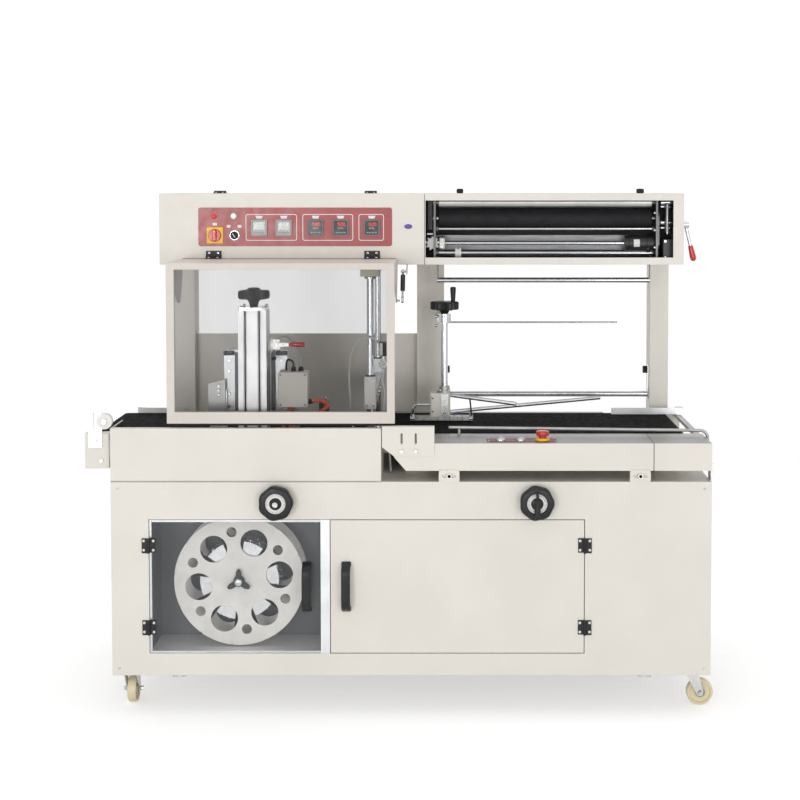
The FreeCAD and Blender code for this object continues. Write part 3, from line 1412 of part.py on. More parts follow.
def guide_rails():
    """The bent chrome rail, the rear fence and the outfeed's curved guide."""
    rail_z = COVER_TOP + GUIDE_RISE
    right = BASE_RIGHT + GUIDE_OUTSET
    points = [
        (GUIDE_START[0], GUIDE_START[1], rail_z + 4.0),
        (right, GUIDE_END_Y, rail_z),
        (right, GUIDE_END_Y, rail_z - GUIDE_DROP),
    ]
    rail = bent_rod(points, GUIDE_DIAMETER, GUIDE_BEND)
    share = (GUIDE_POST_X - GUIDE_START[0]) / (right - GUIDE_START[0])
    post_y = GUIDE_START[1] + share * (GUIDE_END_Y - GUIDE_START[1])
    post_top = rail_z + 4.0 * (1 - share) - GUIDE_DIAMETER / 2 + 1.0
    post = rod_z(GUIDE_POST_X, post_y, (COVER_TOP, post_top), GUIDE_DIAMETER)
    clamp_z = rail_z - GUIDE_DROP
    clamp = block((BASE_RIGHT, right + GUIDE_BLOCK / 2), centred(GUIDE_END_Y, GUIDE_BLOCK),
                  onward(clamp_z, -GUIDE_BLOCK)[::-1])
    fence_y = BELT_BACK - FENCE_INSET
    fence_z = onward(BELT_TOP + FENCE_LIFT, FENCE_HEIGHT)
    fence = block((FENCE_LEFT, BASE_RIGHT), onward(fence_y, FENCE_THICKNESS), fence_z)
    end_block = block(
        (BASE_RIGHT - 6.0 - END_BAR_WIDTH, BASE_RIGHT),
        onward(fence_y + FENCE_THICKNESS, 26.0),
        (COVER_TOP, fence_z[1]),
    )
    return [joined(rail, post), clamp, joined(fence, end_block), outfeed_guide()]


def outfeed_guide():
    """The low guide along the outfeed's far edge, with a flared end."""
    y = BELT_BACK + SIDE_PLATE_GAP
    left = OUTFEED_GUIDE_LEFT
    right = left + OUTFEED_GUIDE_LENGTH
    corners = [
        (left, y + 12.0), (left + 2.0, y + 14.0), (left + 34.0, y + 3.0), (right, y + 3.0),
        (right, y), (left + 33.0, y),
    ]
    return prism_z(corners, (COVER_TOP, BELT_TOP + OUTFEED_GUIDE_HEIGHT))


def column(left, width):
    """A rear column of rectangular tube."""
    x = onward(left, width)
    y = onward(COLUMN_FRONT, COLUMN_DEPTH)
    tube = block(x, y, (BASE_TOP, COLUMN_TOP))
    bore = block(
        (x[0] + COLUMN_WALL, x[1] - COLUMN_WALL),
        (y[0] + COLUMN_WALL, y[1] - COLUMN_WALL),
        (BASE_TOP - 1.0, COLUMN_TOP + 1.0),
    )
    return without(tube, bore)


def rear_frame():
    """The three columns on the base and the screen between two of them."""
    solids = [
        column(LEFT_COLUMN_X, LEFT_COLUMN_WIDTH),
        column(MIDDLE_COLUMN_X, MIDDLE_COLUMN_WIDTH),
        column(RIGHT_COLUMN_X, RIGHT_COLUMN_WIDTH),
    ]
    screen = block(
        (LEFT_COLUMN_X + LEFT_COLUMN_WIDTH, MIDDLE_COLUMN_X),
        onward(COLUMN_FRONT + SCREEN_INSET, THIN_SHEET),
        onward(BASE_TOP + SCREEN_RISE, SCREEN_HEIGHT),
    )
    return solids + [screen]


def control_box():
    """The control box of welded plates, open on top behind the strip for the lid's hinges."""
    x = (BOX_LEFT, BOX_SPLIT)
    wall_top = BOX_TOP - THIN_SHEET - FIT_GAP
    inner_y = (BOX_FRONT + THIN_SHEET, BOX_BACK - THIN_SHEET)
    side_z = (BOX_BOTTOM + THIN_SHEET, wall_top)
    body = CONTROLLER_SIZE - 2 * CONTROLLER_LIP
    through = (BOX_FRONT - 1.0, BOX_FRONT + THIN_SHEET + 1.0)
    cutters = []
    for controller_x in CONTROLLER_X:
        z = BOX_BOTTOM + CONTROLLER_RISE
        cutters.append(block(centred(controller_x, body), through, centred(z, body)))
    for switch_x in (MAIN_SWITCH_X, SELECTOR_X):
        z = BOX_BOTTOM + SWITCH_RISE
        cutters.append(rod_y(switch_x, through, z, SWITCH_SHAFT + 2 * FIT_GAP))
    front = without(block(x, onward(BOX_FRONT, THIN_SHEET), (BOX_BOTTOM, BOX_TOP)), *cutters)
    back = block(x, (BOX_BACK - THIN_SHEET, BOX_BACK), (BOX_BOTTOM, wall_top))
    bottom = block(x, inner_y, onward(BOX_BOTTOM, THIN_SHEET))
    left = block(onward(BOX_LEFT, THIN_SHEET), inner_y, side_z)
    right = block((BOX_SPLIT - THIN_SHEET, BOX_SPLIT), inner_y, side_z)
    strip = block(x, (inner_y[0], LID_AXIS_Y - FIT_GAP), (wall_top + FIT_GAP, BOX_TOP))
    return [front, back, bottom, left, right, strip]


def control_lid():
    """The lid with its folded rim and the halves of its hinges."""
    x = (BOX_LEFT - THIN_SHEET - FIT_GAP, BOX_SPLIT)
    rim_low = BOX_TOP - LID_RIM
    y = (LID_AXIS_Y + FIT_GAP, BOX_BACK + THIN_SHEET + FIT_GAP)
    plate = block(x, y, (BOX_TOP - THIN_SHEET, BOX_TOP))
    back_rim = block(x, (BOX_BACK + FIT_GAP, y[1]), (rim_low, BOX_TOP))
    left_rim = block(onward(x[0], THIN_SHEET), y, (rim_low, BOX_TOP))
    _, moving = lid_hinge_halves()
    return [joined(plate, back_rim, left_rim)] + moving


def control_panel():
    """The panel plate with its instruments, lamps and switch plates."""
    x = onward(PANEL_LEFT, PANEL_WIDTH)
    plate = block(x, (PANEL_FRONT, BOX_FRONT), onward(PANEL_BOTTOM, PANEL_HEIGHT))
    body = CONTROLLER_SIZE - 2 * CONTROLLER_LIP
    recess_size = CONTROLLER_SIZE - 2 * CONTROLLER_FRAME
    z = BOX_BOTTOM + CONTROLLER_RISE
    cutters = [
        block(centred(place, body), (PANEL_FRONT - 1.0, BOX_FRONT + 1.0), centred(z, body))
        for place in CONTROLLER_X
    ]
    switch_z = BOX_BOTTOM + SWITCH_RISE
    bores = [
        rod_y(place, (PANEL_FRONT - 40.0, BOX_FRONT + 1.0), switch_z, SWITCH_SHAFT + 2 * FIT_GAP)
        for place in (MAIN_SWITCH_X, SELECTOR_X)
    ]
    solids = [without(plate, *cutters, *bores)]
    for place in CONTROLLER_X:
        bezel = block(
            centred(place, CONTROLLER_SIZE), (PANEL_FRONT - CONTROLLER_PROUD, PANEL_FRONT),
            centred(z, CONTROLLER_SIZE)
        )
        recess = block(
            centred(place, recess_size), onward(PANEL_FRONT - CONTROLLER_PROUD - 1.0, 3.0),
            centred(z, recess_size),
        )
        housing = block(centred(place, body), onward(PANEL_FRONT, CONTROLLER_BODY), centred(z, body))
        solids.append(joined(without(bezel, recess), housing))
    radius = LAMP_DIAMETER / 2
    for place in LAMP_X:
        outline = [
            (0, 0), (radius, 0), (radius, 3.0), (radius - 2.0, 3.0), (radius - 2.0, 7.0),
            (radius - 5.0, LAMP_PROUD - 1.0), (0, LAMP_PROUD),
        ]
        solids.append(turned(outline, (place, PANEL_FRONT, BOX_BOTTOM + LAMP_RISE), -Y_AXIS))
    back_plate = block(
        centred(MAIN_SWITCH_X, MAIN_SWITCH_PLATE),
        (PANEL_FRONT - SWITCH_PLATE_THICKNESS, PANEL_FRONT),
        centred(switch_z, MAIN_SWITCH_PLATE),
    )
    ring = rod_y(
        SELECTOR_X, (PANEL_FRONT - SWITCH_PLATE_THICKNESS, PANEL_FRONT), switch_z, SELECTOR_DIAMETER + 4.0
    )
    solids += [without(back_plate, bores[0]), without(ring, bores[1])]
    return solids


def rotary_switch(x, diameter):
    """A rotary knob with a raised grip bar and a shaft through the panel."""
    z = BOX_BOTTOM + SWITCH_RISE
    back = PANEL_FRONT - SWITCH_PLATE_THICKNESS - FIT_GAP
    radius = diameter / 2
    skirt = turned(
        [(0, 0), (radius, 0), (radius, 4.0), (radius - 2.0, 6.0), (0, 6.0)], (x, back, z), -Y_AXIS
    )
    grip = block(
        centred(x, SWITCH_GRIP_WIDTH), (back - SWITCH_KNOB_DEPTH, back - 5.0), centred(z, diameter - 5.0)
    )
    grip = softened(grip, 3.0, Y_AXIS)
    shaft = rod_y(x, (back - 1.0, BOX_FRONT + 12.0), z, SWITCH_SHAFT)
    return [joined(skirt, grip, shaft)]


def main_switch():
    """The red main switch."""
    return rotary_switch(MAIN_SWITCH_X, MAIN_SWITCH_DIAMETER)


def selector_switch():
    """The small selector switch."""
    return rotary_switch(SELECTOR_X, SELECTOR_DIAMETER)


def bearing_plate_x():
    """The X limits of the two plates that carry the rollers."""
    return onward(LEFT_BEARING_X, BEARING_PLATE), onward(RIGHT_BEARING_X, BEARING_PLATE)


def roller_box():
    """The open-fronted roller box with its flanges, bearing plates and bumpers."""
    x = (BOX_SPLIT, BOX_RIGHT)
    y = (BOX_FRONT, BOX_BACK)
    z = (BOX_BOTTOM, BOX_TOP)
    shell = open_box(x, y, z, SHEET, "-y")
    flanges = [
        block((x[0] + SHEET, x[1] - SHEET), onward(y[0], SHEET), (z[0] + SHEET, z[0] + ROLLER_BOX_FLANGE)),
        block((x[0] + SHEET, x[1] - SHEET), onward(y[0], SHEET), (z[1] - ROLLER_BOX_FLANGE, z[1] - SHEET)),
        block((x[1] - ROLLER_BOX_SIDE_FLANGE, x[1] - SHEET), onward(y[0], SHEET),
              (z[0] + SHEET, z[1] - SHEET)),
    ]
    shell = joined(shell, *flanges)
    swing = DANCER_PIVOT_RISE * math.tan(math.radians(DANCER_SWING)) + DANCER_ARM_WIDTH
    places = dancer_arm_places()
    film_slot = block(
        (places[0] - DANCER_SLOT_GAP, places[1] + DANCER_SLOT_GAP), centred(DANCER_Y, 2 * swing),
        (z[0] - 1.0, z[0] + SHEET + 1.0),
    )
    shell = without(shell, film_slot)
    lever_bore = rod_x((x[1] - SHEET - 1.0, x[1] + 1.0), LEVER_Y, LEVER_Z,
                       LEVER_SHAFT_DIAMETER + 2 * FIT_GAP)
    shell = without(shell, lever_bore)
    solids = [shell]
    plate_y = onward(BEARING_PLATE_FRONT, BEARING_PLATE_DEPTH)
    for pair in bearing_plate_x():
        plate = block(pair, plate_y, (z[0] + SHEET, z[1] - SHEET))
        bores = [
            rod_x((pair[0] - 1.0, pair[1] + 1.0), ROLLER_Y, height, JOURNAL_DIAMETER + 2 * FIT_GAP)
            for height in (RUBBER_ROLLER_Z, NIP_ROLLER_Z)
        ]
        low_slot = block(
            (pair[0] - 1.0, pair[1] + 1.0), centred(DANCER_Y, 2 * swing), (z[0], z[0] + SHEET + 14.0)
        )
        solids.append(without(plate, low_slot, *bores))
    top = z[1]
    for bumper_x in BUMPER_X:
        bumper = block(centred(bumper_x, BUMPER_LENGTH), onward(BOX_FRONT + 8.0, BUMPER_DEPTH),
                       onward(top, BUMPER_HEIGHT))
        solids.append(softened(bumper, 4.0, Y_AXIS))
    return solids


def roller(z, diameter, chain_side):
    """A film roller with journals; the driven end carries a sprocket."""
    left, right = bearing_plate_x()
    body = rod_x((left[1] + ROLLER_END_GAP, right[0] - ROLLER_END_GAP), ROLLER_Y, z, diameter)
    reach = CHAIN_OFFSET + 2 * CHAIN_WIDTH if chain_side else 4.0
    journal = rod_x((left[0] - 4.0, right[1] + reach), ROLLER_Y, z, JOURNAL_DIAMETER)
    return joined(body, journal)


def nip_roller():
    """The upper, steel roller of the film nip."""
    return [roller(NIP_ROLLER_Z, NIP_ROLLER_DIAMETER, False)]


def rubber_roller():
    """The lower, rubber-covered roller of the film nip."""
    return [roller(RUBBER_ROLLER_Z, RUBBER_ROLLER_DIAMETER, False)]


def dancer_arm_places():
    """The X middles of the dancer's two arms."""
    left, right = bearing_plate_x()
    inset = 3.0 + DANCER_ARM_THICKNESS / 2
    return left[1] + inset, right[0] - inset


def film_drive():
    """The motor, shaft, rods, drive chain and plate behind the rollers."""
    left, right = bearing_plate_x()
    motor_x = (right[0] - DRIVE_MOTOR_LENGTH, right[0])
    motor = rod_x(motor_x, ROLLER_Y, DRIVE_SHAFT_Z, DRIVE_MOTOR_DIAMETER)
    shaft = rod_x((left[1], motor_x[0]), ROLLER_Y, DRIVE_SHAFT_Z, DRIVE_SHAFT_DIAMETER)
    collar = rod_x(onward(left[1] + 20.0, 16.0), ROLLER_Y, DRIVE_SHAFT_Z, DRIVE_SHAFT_DIAMETER + 12.0)
    lower_z = BOX_BOTTOM + LOWER_ROD_RISE
    lower = rod_x((left[1], right[0]), ROLLER_Y - 16.0, lower_z, LOWER_ROD_DIAMETER)
    pulley = rod_x(centred(ROD_PULLEY_X, ROD_PULLEY_WIDTH), ROLLER_Y - 16.0, lower_z, ROD_PULLEY_DIAMETER)
    upper = rod_x((left[1], right[0]), ROLLER_Y - 20.0, BOX_BOTTOM + UPPER_ROD_RISE, UPPER_ROD_DIAMETER)
    plate = block(
        (left[1], right[0]), onward(BACK_PLATE_Y, THIN_SHEET),
        onward(BOX_BOTTOM + BACK_PLATE_RISE, BACK_PLATE_HEIGHT)
    )
    return [joined(motor, shaft, collar), joined(lower, pulley), upper, plate, drive_chain()]


def drive_chain():
    """The chain guard loop beside the right bearing plate."""
    _, right = bearing_plate_x()
    x = onward(right[1] + CHAIN_OFFSET, CHAIN_WIDTH)
    radius = SPROCKET_DIAMETER / 2
    loops = []
    for reach in (radius, radius - CHAIN_THICKNESS):
        middle = block(x, centred(ROLLER_Y, 2 * reach), (DRIVE_SHAFT_Z, RUBBER_ROLLER_Z))
        ends = [rod_x(x, ROLLER_Y, height, 2 * reach) for height in (DRIVE_SHAFT_Z, RUBBER_ROLLER_Z)]
        loops.append(joined(middle, *ends))
    loop = without(loops[0], loops[1])
    sprocket = rod_x(x, ROLLER_Y, DRIVE_SHAFT_Z, 2 * (radius - CHAIN_THICKNESS))
    stub = rod_x((right[1], x[0]), ROLLER_Y, DRIVE_SHAFT_Z, DRIVE_SHAFT_DIAMETER)
    return joined(loop, sprocket, stub)


def nip_lever():
    """The lever that lifts the nip: a shaft, a hub, an arm and a tapered red grip."""
    x = BOX_RIGHT
    shaft = rod_x((x - 40.0, x), LEVER_Y, LEVER_Z, LEVER_SHAFT_DIAMETER)
    hub = rod_x((x + FIT_GAP, x + LEVER_HUB_LENGTH), LEVER_Y, LEVER_Z, LEVER_HUB_DIAMETER)
    link = rod_x((x, x + FIT_GAP), LEVER_Y, LEVER_Z, LEVER_SHAFT_DIAMETER)
    tilt = math.radians(LEVER_TILT)
    down = Vector(math.sin(tilt), 0, -math.cos(tilt))
    start = Vector(x + LEVER_HUB_LENGTH / 2 + 2.0, LEVER_Y, LEVER_Z)
    neck_end = start + down * LEVER_ARM
    neck = rod(tuple(start), tuple(neck_end), LEVER_SHAFT_DIAMETER)
    top = LEVER_GRIP_TOP / 2
    bottom = LEVER_GRIP_END / 2
    length = LEVER_GRIP_LENGTH
    grip = turned(
        [(0, 0), (top, 0), (bottom, length - 14.0), (bottom - 1.0, length - 5.0),
         (bottom - 5.0, length), (0, length)],
        tuple(neck_end),
        down,
    )
    return [joined(shaft, hub, link, neck, grip)]


def dancer():
    """The swinging film bar on two arms."""
    places = dancer_arm_places()
    bar = rod_x((places[0] - DANCER_ARM_THICKNESS / 2, places[1] + DANCER_ARM_THICKNESS / 2), DANCER_Y,
                DANCER_BAR_Z, DANCER_BAR_DIAMETER)
    arms = []
    for place in places:
        x = centred(place, DANCER_ARM_THICKNESS)
        arm = block(x, centred(DANCER_Y, DANCER_ARM_WIDTH), (DANCER_BAR_Z, DANCER_PIVOT_Z))
        eye = rod_x(x, DANCER_Y, DANCER_PIVOT_Z, DANCER_ARM_WIDTH)
        bore = rod_x((x[0] - 1.0, x[1] + 1.0), DANCER_Y, DANCER_PIVOT_Z, DANCER_PIN + 2 * FIT_GAP)
        arms.append(without(joined(arm, eye), bore))
    return [joined(bar, *arms)]


def dancer_pins():
    """The pins on the bearing plates from which the dancer hangs."""
    left, right = bearing_plate_x()
    places = dancer_arm_places()
    half = DANCER_ARM_THICKNESS / 2 + 2.0
    return [
        rod_x((left[1], places[0] + half), DANCER_Y, DANCER_PIVOT_Z, DANCER_PIN),
        rod_x((places[1] - half, right[0]), DANCER_Y, DANCER_PIVOT_Z, DANCER_PIN),
    ]


def guide_hanger_x():
    """The X limits of the two flat bars that carry the lower guide roller."""
    left = MIDDLE_COLUMN_X + MIDDLE_COLUMN_WIDTH
    right = RIGHT_COLUMN_X
    return onward(left, GUIDE_HANGER_THICKNESS), (right - GUIDE_HANGER_THICKNESS, right)


def guide_roller():
    """The lower guide roller between the middle and the right column."""
    left, right = guide_hanger_x()
    body = rod_x((left[1] + FIT_GAP, right[0] - FIT_GAP), GUIDE_ROLLER_Y, GUIDE_ROLLER_Z,
                 GUIDE_ROLLER_DIAMETER)
    pins = rod_x((left[0] + FIT_GAP, right[1] - FIT_GAP), GUIDE_ROLLER_Y, GUIDE_ROLLER_Z, DANCER_PIN)
    return [joined(body, pins)]


def film_rods():
    """The fixed film path: hangers, star knobs, thin rod, pole, collar and arm."""
    solids = dancer_pins()
    hanger_z = (GUIDE_ROLLER_Z - 14.0, BASE_TOP + GUIDE_HANGER_RISE + 16.0)
    knob_z = BASE_TOP + GUIDE_HANGER_RISE
    for index, pair in enumerate(guide_hanger_x()):
        bar = block(pair, centred(GUIDE_ROLLER_Y, GUIDE_HANGER_WIDTH), hanger_z)
        bore = rod_x((pair[0] - 1.0, pair[1] + 1.0), GUIDE_ROLLER_Y, GUIDE_ROLLER_Z,
                     DANCER_PIN + 2 * FIT_GAP)
        solids.append(without(bar, bore))
        grip = lobed_grip(5, STAR_KNOB_DIAMETER, STAR_KNOB_DIAMETER * 0.6, STAR_KNOB_DEPTH, 7.0)
        seat = (pair[1] if index == 0 else pair[0], GUIDE_ROLLER_Y, knob_z)
        outward = Y_AXIS if index == 0 else -Y_AXIS
        solids.append(placed(grip, seat, outward, Z_AXIS))
    rod_z_place = BASE_TOP + FILM_ROD_RISE
    left = MIDDLE_COLUMN_X + MIDDLE_COLUMN_WIDTH
    boss = rod_x(onward(left, 8.0), GUIDE_ROLLER_Y, rod_z_place, 3 * FILM_ROD_DIAMETER)
    thin = rod_x((left + 8.0, left + FILM_ROD_LENGTH), GUIDE_ROLLER_Y, rod_z_place, FILM_ROD_DIAMETER)
    solids.append(joined(boss, thin))
    return solids + former_pole()


def former_pole():
    """The pole of the inverting head, its collar and the arm to the middle column."""
    pole = rod_z(POLE_X, POLE_Y, (POLE_BOTTOM, POLE_TOP), POLE_DIAMETER)
    collar_z = (POLE_TOP - COLLAR_HEIGHT + 6.0, POLE_TOP + 6.0)
    collar = rod_z(POLE_X, POLE_Y, collar_z, COLLAR_DIAMETER)
    arm_z = onward(collar_z[0] + 4.0, ARM_THICKNESS)
    arm_x = centred(POLE_X - 10.0, ARM_WIDTH)
    arm = block(arm_x, (POLE_Y, COLUMN_FRONT - 6.0), arm_z)
    foot = block((MIDDLE_COLUMN_X + 20.0, arm_x[1]), (COLUMN_FRONT - 6.0, COLUMN_FRONT),
                 centred((arm_z[0] + arm_z[1]) / 2, 40.0))
    bore = rod_z(
        POLE_X, POLE_Y, (collar_z[1] - CRANK_SPINDLE_LENGTH, collar_z[1] + 1.0),
        CRANK_SPINDLE_DIAMETER + 2 * FIT_GAP
    )
    return [without(joined(pole, collar, arm, foot), bore)]


def crank_wheel():
    """The lobed crank on top of the pole, with its turning grip."""
    base = POLE_TOP + 6.0 + FIT_GAP
    body = lobed_grip(CRANK_WHEEL_LOBES, CRANK_WHEEL_DIAMETER, CRANK_WHEEL_HUB, CRANK_WHEEL_HEIGHT, 22.0)
    body.rotate(Vector(0, 0, 0), Z_AXIS, 20)
    body.translate(Vector(POLE_X, POLE_Y, base + 12.0))
    hub = rod_z(POLE_X, POLE_Y, (base, base + 13.0), CRANK_WHEEL_HUB)
    spindle = rod_z(POLE_X, POLE_Y, (base - CRANK_SPINDLE_LENGTH + 2.0, base), CRANK_SPINDLE_DIAMETER)
    reach = CRANK_WHEEL_DIAMETER / 2 - 11.0
    angle = math.radians(20)
    handle_x = POLE_X + reach * math.cos(angle)
    handle_y = POLE_Y + reach * math.sin(angle)
    top = base + 12.0 + CRANK_WHEEL_HEIGHT
    radius = CRANK_HANDLE_DIAMETER / 2
    length = CRANK_HANDLE_LENGTH
    handle = turned(
        [(0, 0), (radius - 2.0, 0), (radius, 8.0), (radius, length - 6.0), (radius - 4.0, length),
         (0, length)],
        (handle_x, handle_y, top - 0.5),
        Z_AXIS,
    )
    return [joined(body, hub, spindle, handle)]


def former_head():
    """The head that turns the film: a block on the pole, a rail, a hoop and two rods."""
    bore_d = POLE_DIAMETER + 2 * FIT_GAP
    rail_top = HEAD_BOTTOM + BASE_RAIL_HEIGHT
    block_z = (rail_top, rail_top + HEAD_BLOCK_HEIGHT)
    body_left = POLE_X - HEAD_BLOCK_WIDTH / 2 - HEAD_BLOCK_OFFSET
    right = body_left + HEAD_BLOCK_WIDTH
    body = block((body_left, right), centred(POLE_Y, HEAD_BLOCK_DEPTH), block_z)
    body = softened(body, 5.0, Z_AXIS)
    flange = rod_z(POLE_X, POLE_Y, onward(block_z[1], HEAD_FLANGE_HEIGHT), HEAD_FLANGE_DIAMETER - 14.0)
    ring = rod_z(POLE_X, POLE_Y, onward(block_z[1], 7.0), HEAD_FLANGE_DIAMETER)
    rail = block(
        onward(POLE_X - 105.0, BASE_RAIL_LENGTH), centred(POLE_Y, BASE_RAIL_DEPTH + 10.0),
        (HEAD_BOTTOM, rail_top)
    )
    bore = rod_z(POLE_X, POLE_Y, (HEAD_BOTTOM - 1.0, block_z[1] + HEAD_FLANGE_HEIGHT + 1.0), bore_d)
    hoop_left = POLE_X - HOOP_REACH
    rods = []
    for length, run_y, rise in (TURN_ROD_LONG, TURN_ROD_SHORT):
        z = rail_top + HEAD_BLOCK_HEIGHT / 2
        start = (right - 6.0, POLE_Y, z - 0.3 * rise)
        end = (right + length, POLE_Y + run_y, z - 1.3 * rise)
        rods.append(rod(start, end, TURN_ROD_DIAMETER))
    hoop = bent_rod(
        [
            (hoop_left, POLE_Y, rail_top - 1.0),
            (hoop_left, POLE_Y, rail_top + HOOP_HEIGHT),
            (body_left + HOOP_ROOT, POLE_Y, rail_top + HOOP_HEIGHT),
        ],
        HOOP_DIAMETER,
        HOOP_BEND,
    )
    return [without(joined(body, flange, ring, rail, hoop, *rods), bore)]


def hood_frame():
    """The hood's front frame, top sheet, corner gussets and the halves of its hinges."""
    x = (HOOD_LEFT, HOOD_RIGHT)
    y = onward(HOOD_FRONT, HOOD_FRAME_DEPTH)
    outer = block(x, y, (HOOD_BOTTOM, HOOD_TOP))
    window = block(
        (x[0] + HOOD_POST, x[1] - HOOD_POST), (y[0] - 1.0, y[1] + 1.0),
        (HOOD_BOTTOM + HOOD_BOTTOM_RAIL, HOOD_TOP - HOOD_TOP_RAIL),
    )
    rebate = block(
        (x[0] + HOOD_POST - 6.0, x[1] - HOOD_POST + 6.0), (y[1] - HOOD_PANE, y[1] + 1.0),
        (HOOD_BOTTOM + HOOD_BOTTOM_RAIL - 6.0, HOOD_TOP - HOOD_TOP_RAIL + 6.0),
    )
    frame = without(outer, window, rebate)
    top = block(x, (y[1], HOOD_BACK - KNUCKLE_DIAMETER / 2 - FIT_GAP), (HOOD_TOP - HOOD_SHEET, HOOD_TOP))
    gussets = []
    for side in (onward(x[0], HOOD_SHEET), (x[1] - HOOD_SHEET, x[1])):
        corners = [
            (y[1], HOOD_TOP - HOOD_SHEET), (y[1], HOOD_TOP - HOOD_GUSSET), (y[1] + 26.0, HOOD_TOP - 50.0),
            (STRUT_PIN[0] - 12.0, STRUT_PIN_Z - 6.0), (STRUT_PIN[0] + 10.0, STRUT_PIN_Z - 6.0),
            (HOOD_BACK - 8.0, HOOD_TOP - 26.0), (HOOD_BACK - 8.0, HOOD_TOP - HOOD_SHEET),
        ]
        gussets.append(prism_x(corners, side))
    seal = block((x[0] + 4.0, x[1] - 4.0), (y[0] + 2.0, y[1] - 2.0), (HOOD_BOTTOM - HOOD_SEAL, HOOD_BOTTOM))
    studs = [
        rod_x((x[0] - STRUT_OUTSET + STRUT_DIAMETER / 2 + FIT_GAP, x[0]), STRUT_PIN[0], STRUT_PIN_Z,
              STRUT_PIN_DIAMETER),
        rod_x((x[1], x[1] + STRUT_OUTSET - STRUT_DIAMETER / 2 - FIT_GAP), STRUT_PIN[0], STRUT_PIN_Z,
              STRUT_PIN_DIAMETER),
    ]
    _, moving = hood_hinge_halves()
    return [joined(frame, top, *gussets, *studs), seal] + moving


def hood_window():
    """The clear pane in the hood's rebate."""
    x = (HOOD_LEFT + HOOD_POST - 6.0, HOOD_RIGHT - HOOD_POST + 6.0)
    back = HOOD_FRONT + HOOD_FRAME_DEPTH
    return [
        block(x, (back - HOOD_PANE, back),
              (HOOD_BOTTOM + HOOD_BOTTOM_RAIL - 6.0, HOOD_TOP - HOOD_TOP_RAIL + 6.0))
    ]


def strut_places():
    """The X middles of the two gas struts."""
    return HOOD_LEFT - STRUT_OUTSET, HOOD_RIGHT + STRUT_OUTSET


def strut_direction():
    """The strut's unit direction, from its upper pin to the hood, and its length."""
    down = Vector(0, STRUT_PIN[0] - STRUT_TOP[0], STRUT_PIN[1] - STRUT_TOP[1])
    length = down.Length
    return down.normalize(), length


def strut_cylinders():
    """The pressure tubes of the gas struts, with their upper eyes."""
    down, length = strut_direction()
    solids = []
    for x in strut_places():
        top = Vector(x, STRUT_TOP[0], STRUT_TOP_Z)
        eye = rod_x(centred(x, STRUT_DIAMETER), STRUT_TOP[0], STRUT_TOP_Z, STRUT_EYE)
        tube_end = top + down * (length * STRUT_BODY_SHARE)
        tube = rod(tuple(top), tuple(tube_end), STRUT_DIAMETER)
        pin_bore = rod_x(centred(x, STRUT_EYE * 2), STRUT_TOP[0], STRUT_TOP_Z,
                         STRUT_PIN_DIAMETER + 2 * FIT_GAP)
        rod_bore = rod(tuple(top + down * STRUT_EYE * 0.75), tuple(tube_end + down),
                       STRUT_ROD_DIAMETER + 2 * FIT_GAP)
        solids.append(without(joined(eye, tube), pin_bore, rod_bore))
    return solids


def strut_rods():
    """The sliding rods of the gas struts, with their lower eyes."""
    down, length = strut_direction()
    solids = []
    for x in strut_places():
        top = Vector(x, STRUT_TOP[0], STRUT_TOP_Z)
        start = top + down * (STRUT_EYE * 0.75 + 2.0)
        end = top + down * length
        bar = rod(tuple(start), tuple(end), STRUT_ROD_DIAMETER)
        eye = rod_x(centred(x, STRUT_DIAMETER), STRUT_PIN[0], STRUT_PIN_Z, STRUT_EYE - 2.0)
        solids.append(joined(bar, eye))
    return solids


def strut_brackets():
    """The angle brackets under the boxes that hold the upper strut pins."""
    solids = []
    for x, side in zip(strut_places(), (-1, 1)):
        inner = x + side * (STRUT_DIAMETER / 2 + 2.0)
        outer = inner + side * 4.0
        pair = (min(inner, outer), max(inner, outer))
        corners = [
            (STRUT_TOP[0] - 9.0, STRUT_TOP_Z - 9.0), (STRUT_TOP[0] - 9.0, STRUT_TOP_Z + 9.0),
            (BOX_FRONT + 4.0, BOX_BOTTOM), (BOX_FRONT + 44.0, BOX_BOTTOM),
            (STRUT_TOP[0] + 9.0, STRUT_TOP_Z - 9.0),
        ]
        plate = prism_x(corners, pair)
        reach = x - side * (STRUT_DIAMETER / 2)
        pin = rod_x((min(reach, inner), max(reach, inner)), STRUT_TOP[0], STRUT_TOP_Z, STRUT_PIN_DIAMETER)
        solids.append(joined(plate, pin))
    return solids


def seal_column():
    """The slotted aluminium column of the seal station, its cap and the clamp's bracket."""
    x = onward(SEAL_COLUMN_X, SEAL_COLUMN_SIZE)
    y = (SEAL_COLUMN_FRONT, SEAL_COLUMN_BACK)
    z = (BASE_TOP, SEAL_COLUMN_TOP)
    profile = block(x, y, z)
    cutters = []
    slot = SEAL_SLOT_WIDTH
    depth = SEAL_SLOT_DEPTH
    for share in (0.25, 0.75):
        place = x[0] + share * SEAL_COLUMN_SIZE
        for face in ((y[0] - 1.0, y[0] + depth), (y[1] - depth, y[1] + 1.0)):
            cutters.append(block(centred(place, slot), face, (z[0] - 1.0, z[1] + 1.0)))
        place = y[0] + share * SEAL_COLUMN_SIZE
        for face in ((x[0] - 1.0, x[0] + depth), (x[1] - depth, x[1] + 1.0)):
            cutters.append(block(face, centred(place, slot), (z[0] - 1.0, z[1] + 1.0)))
    centre_y = (y[0] + y[1]) / 2
    screw_bore = rod_z(
        SEAL_COLUMN_MIDDLE, centre_y, (z[1] - SEAL_SCREW_DEPTH - 4.0, z[1] + SEAL_CAP_HEIGHT + 1.0),
        SEAL_SCREW_DIAMETER + 2 * FIT_GAP,
    )
    cap = block(x, y, onward(z[1], SEAL_CAP_HEIGHT))
    return [
        without(profile, *cutters, screw_bore),
        without(softened(cap, 4.0, Z_AXIS), screw_bore),
        clamp_bracket(),
        steel_gusset(),
    ] + strut_brackets()


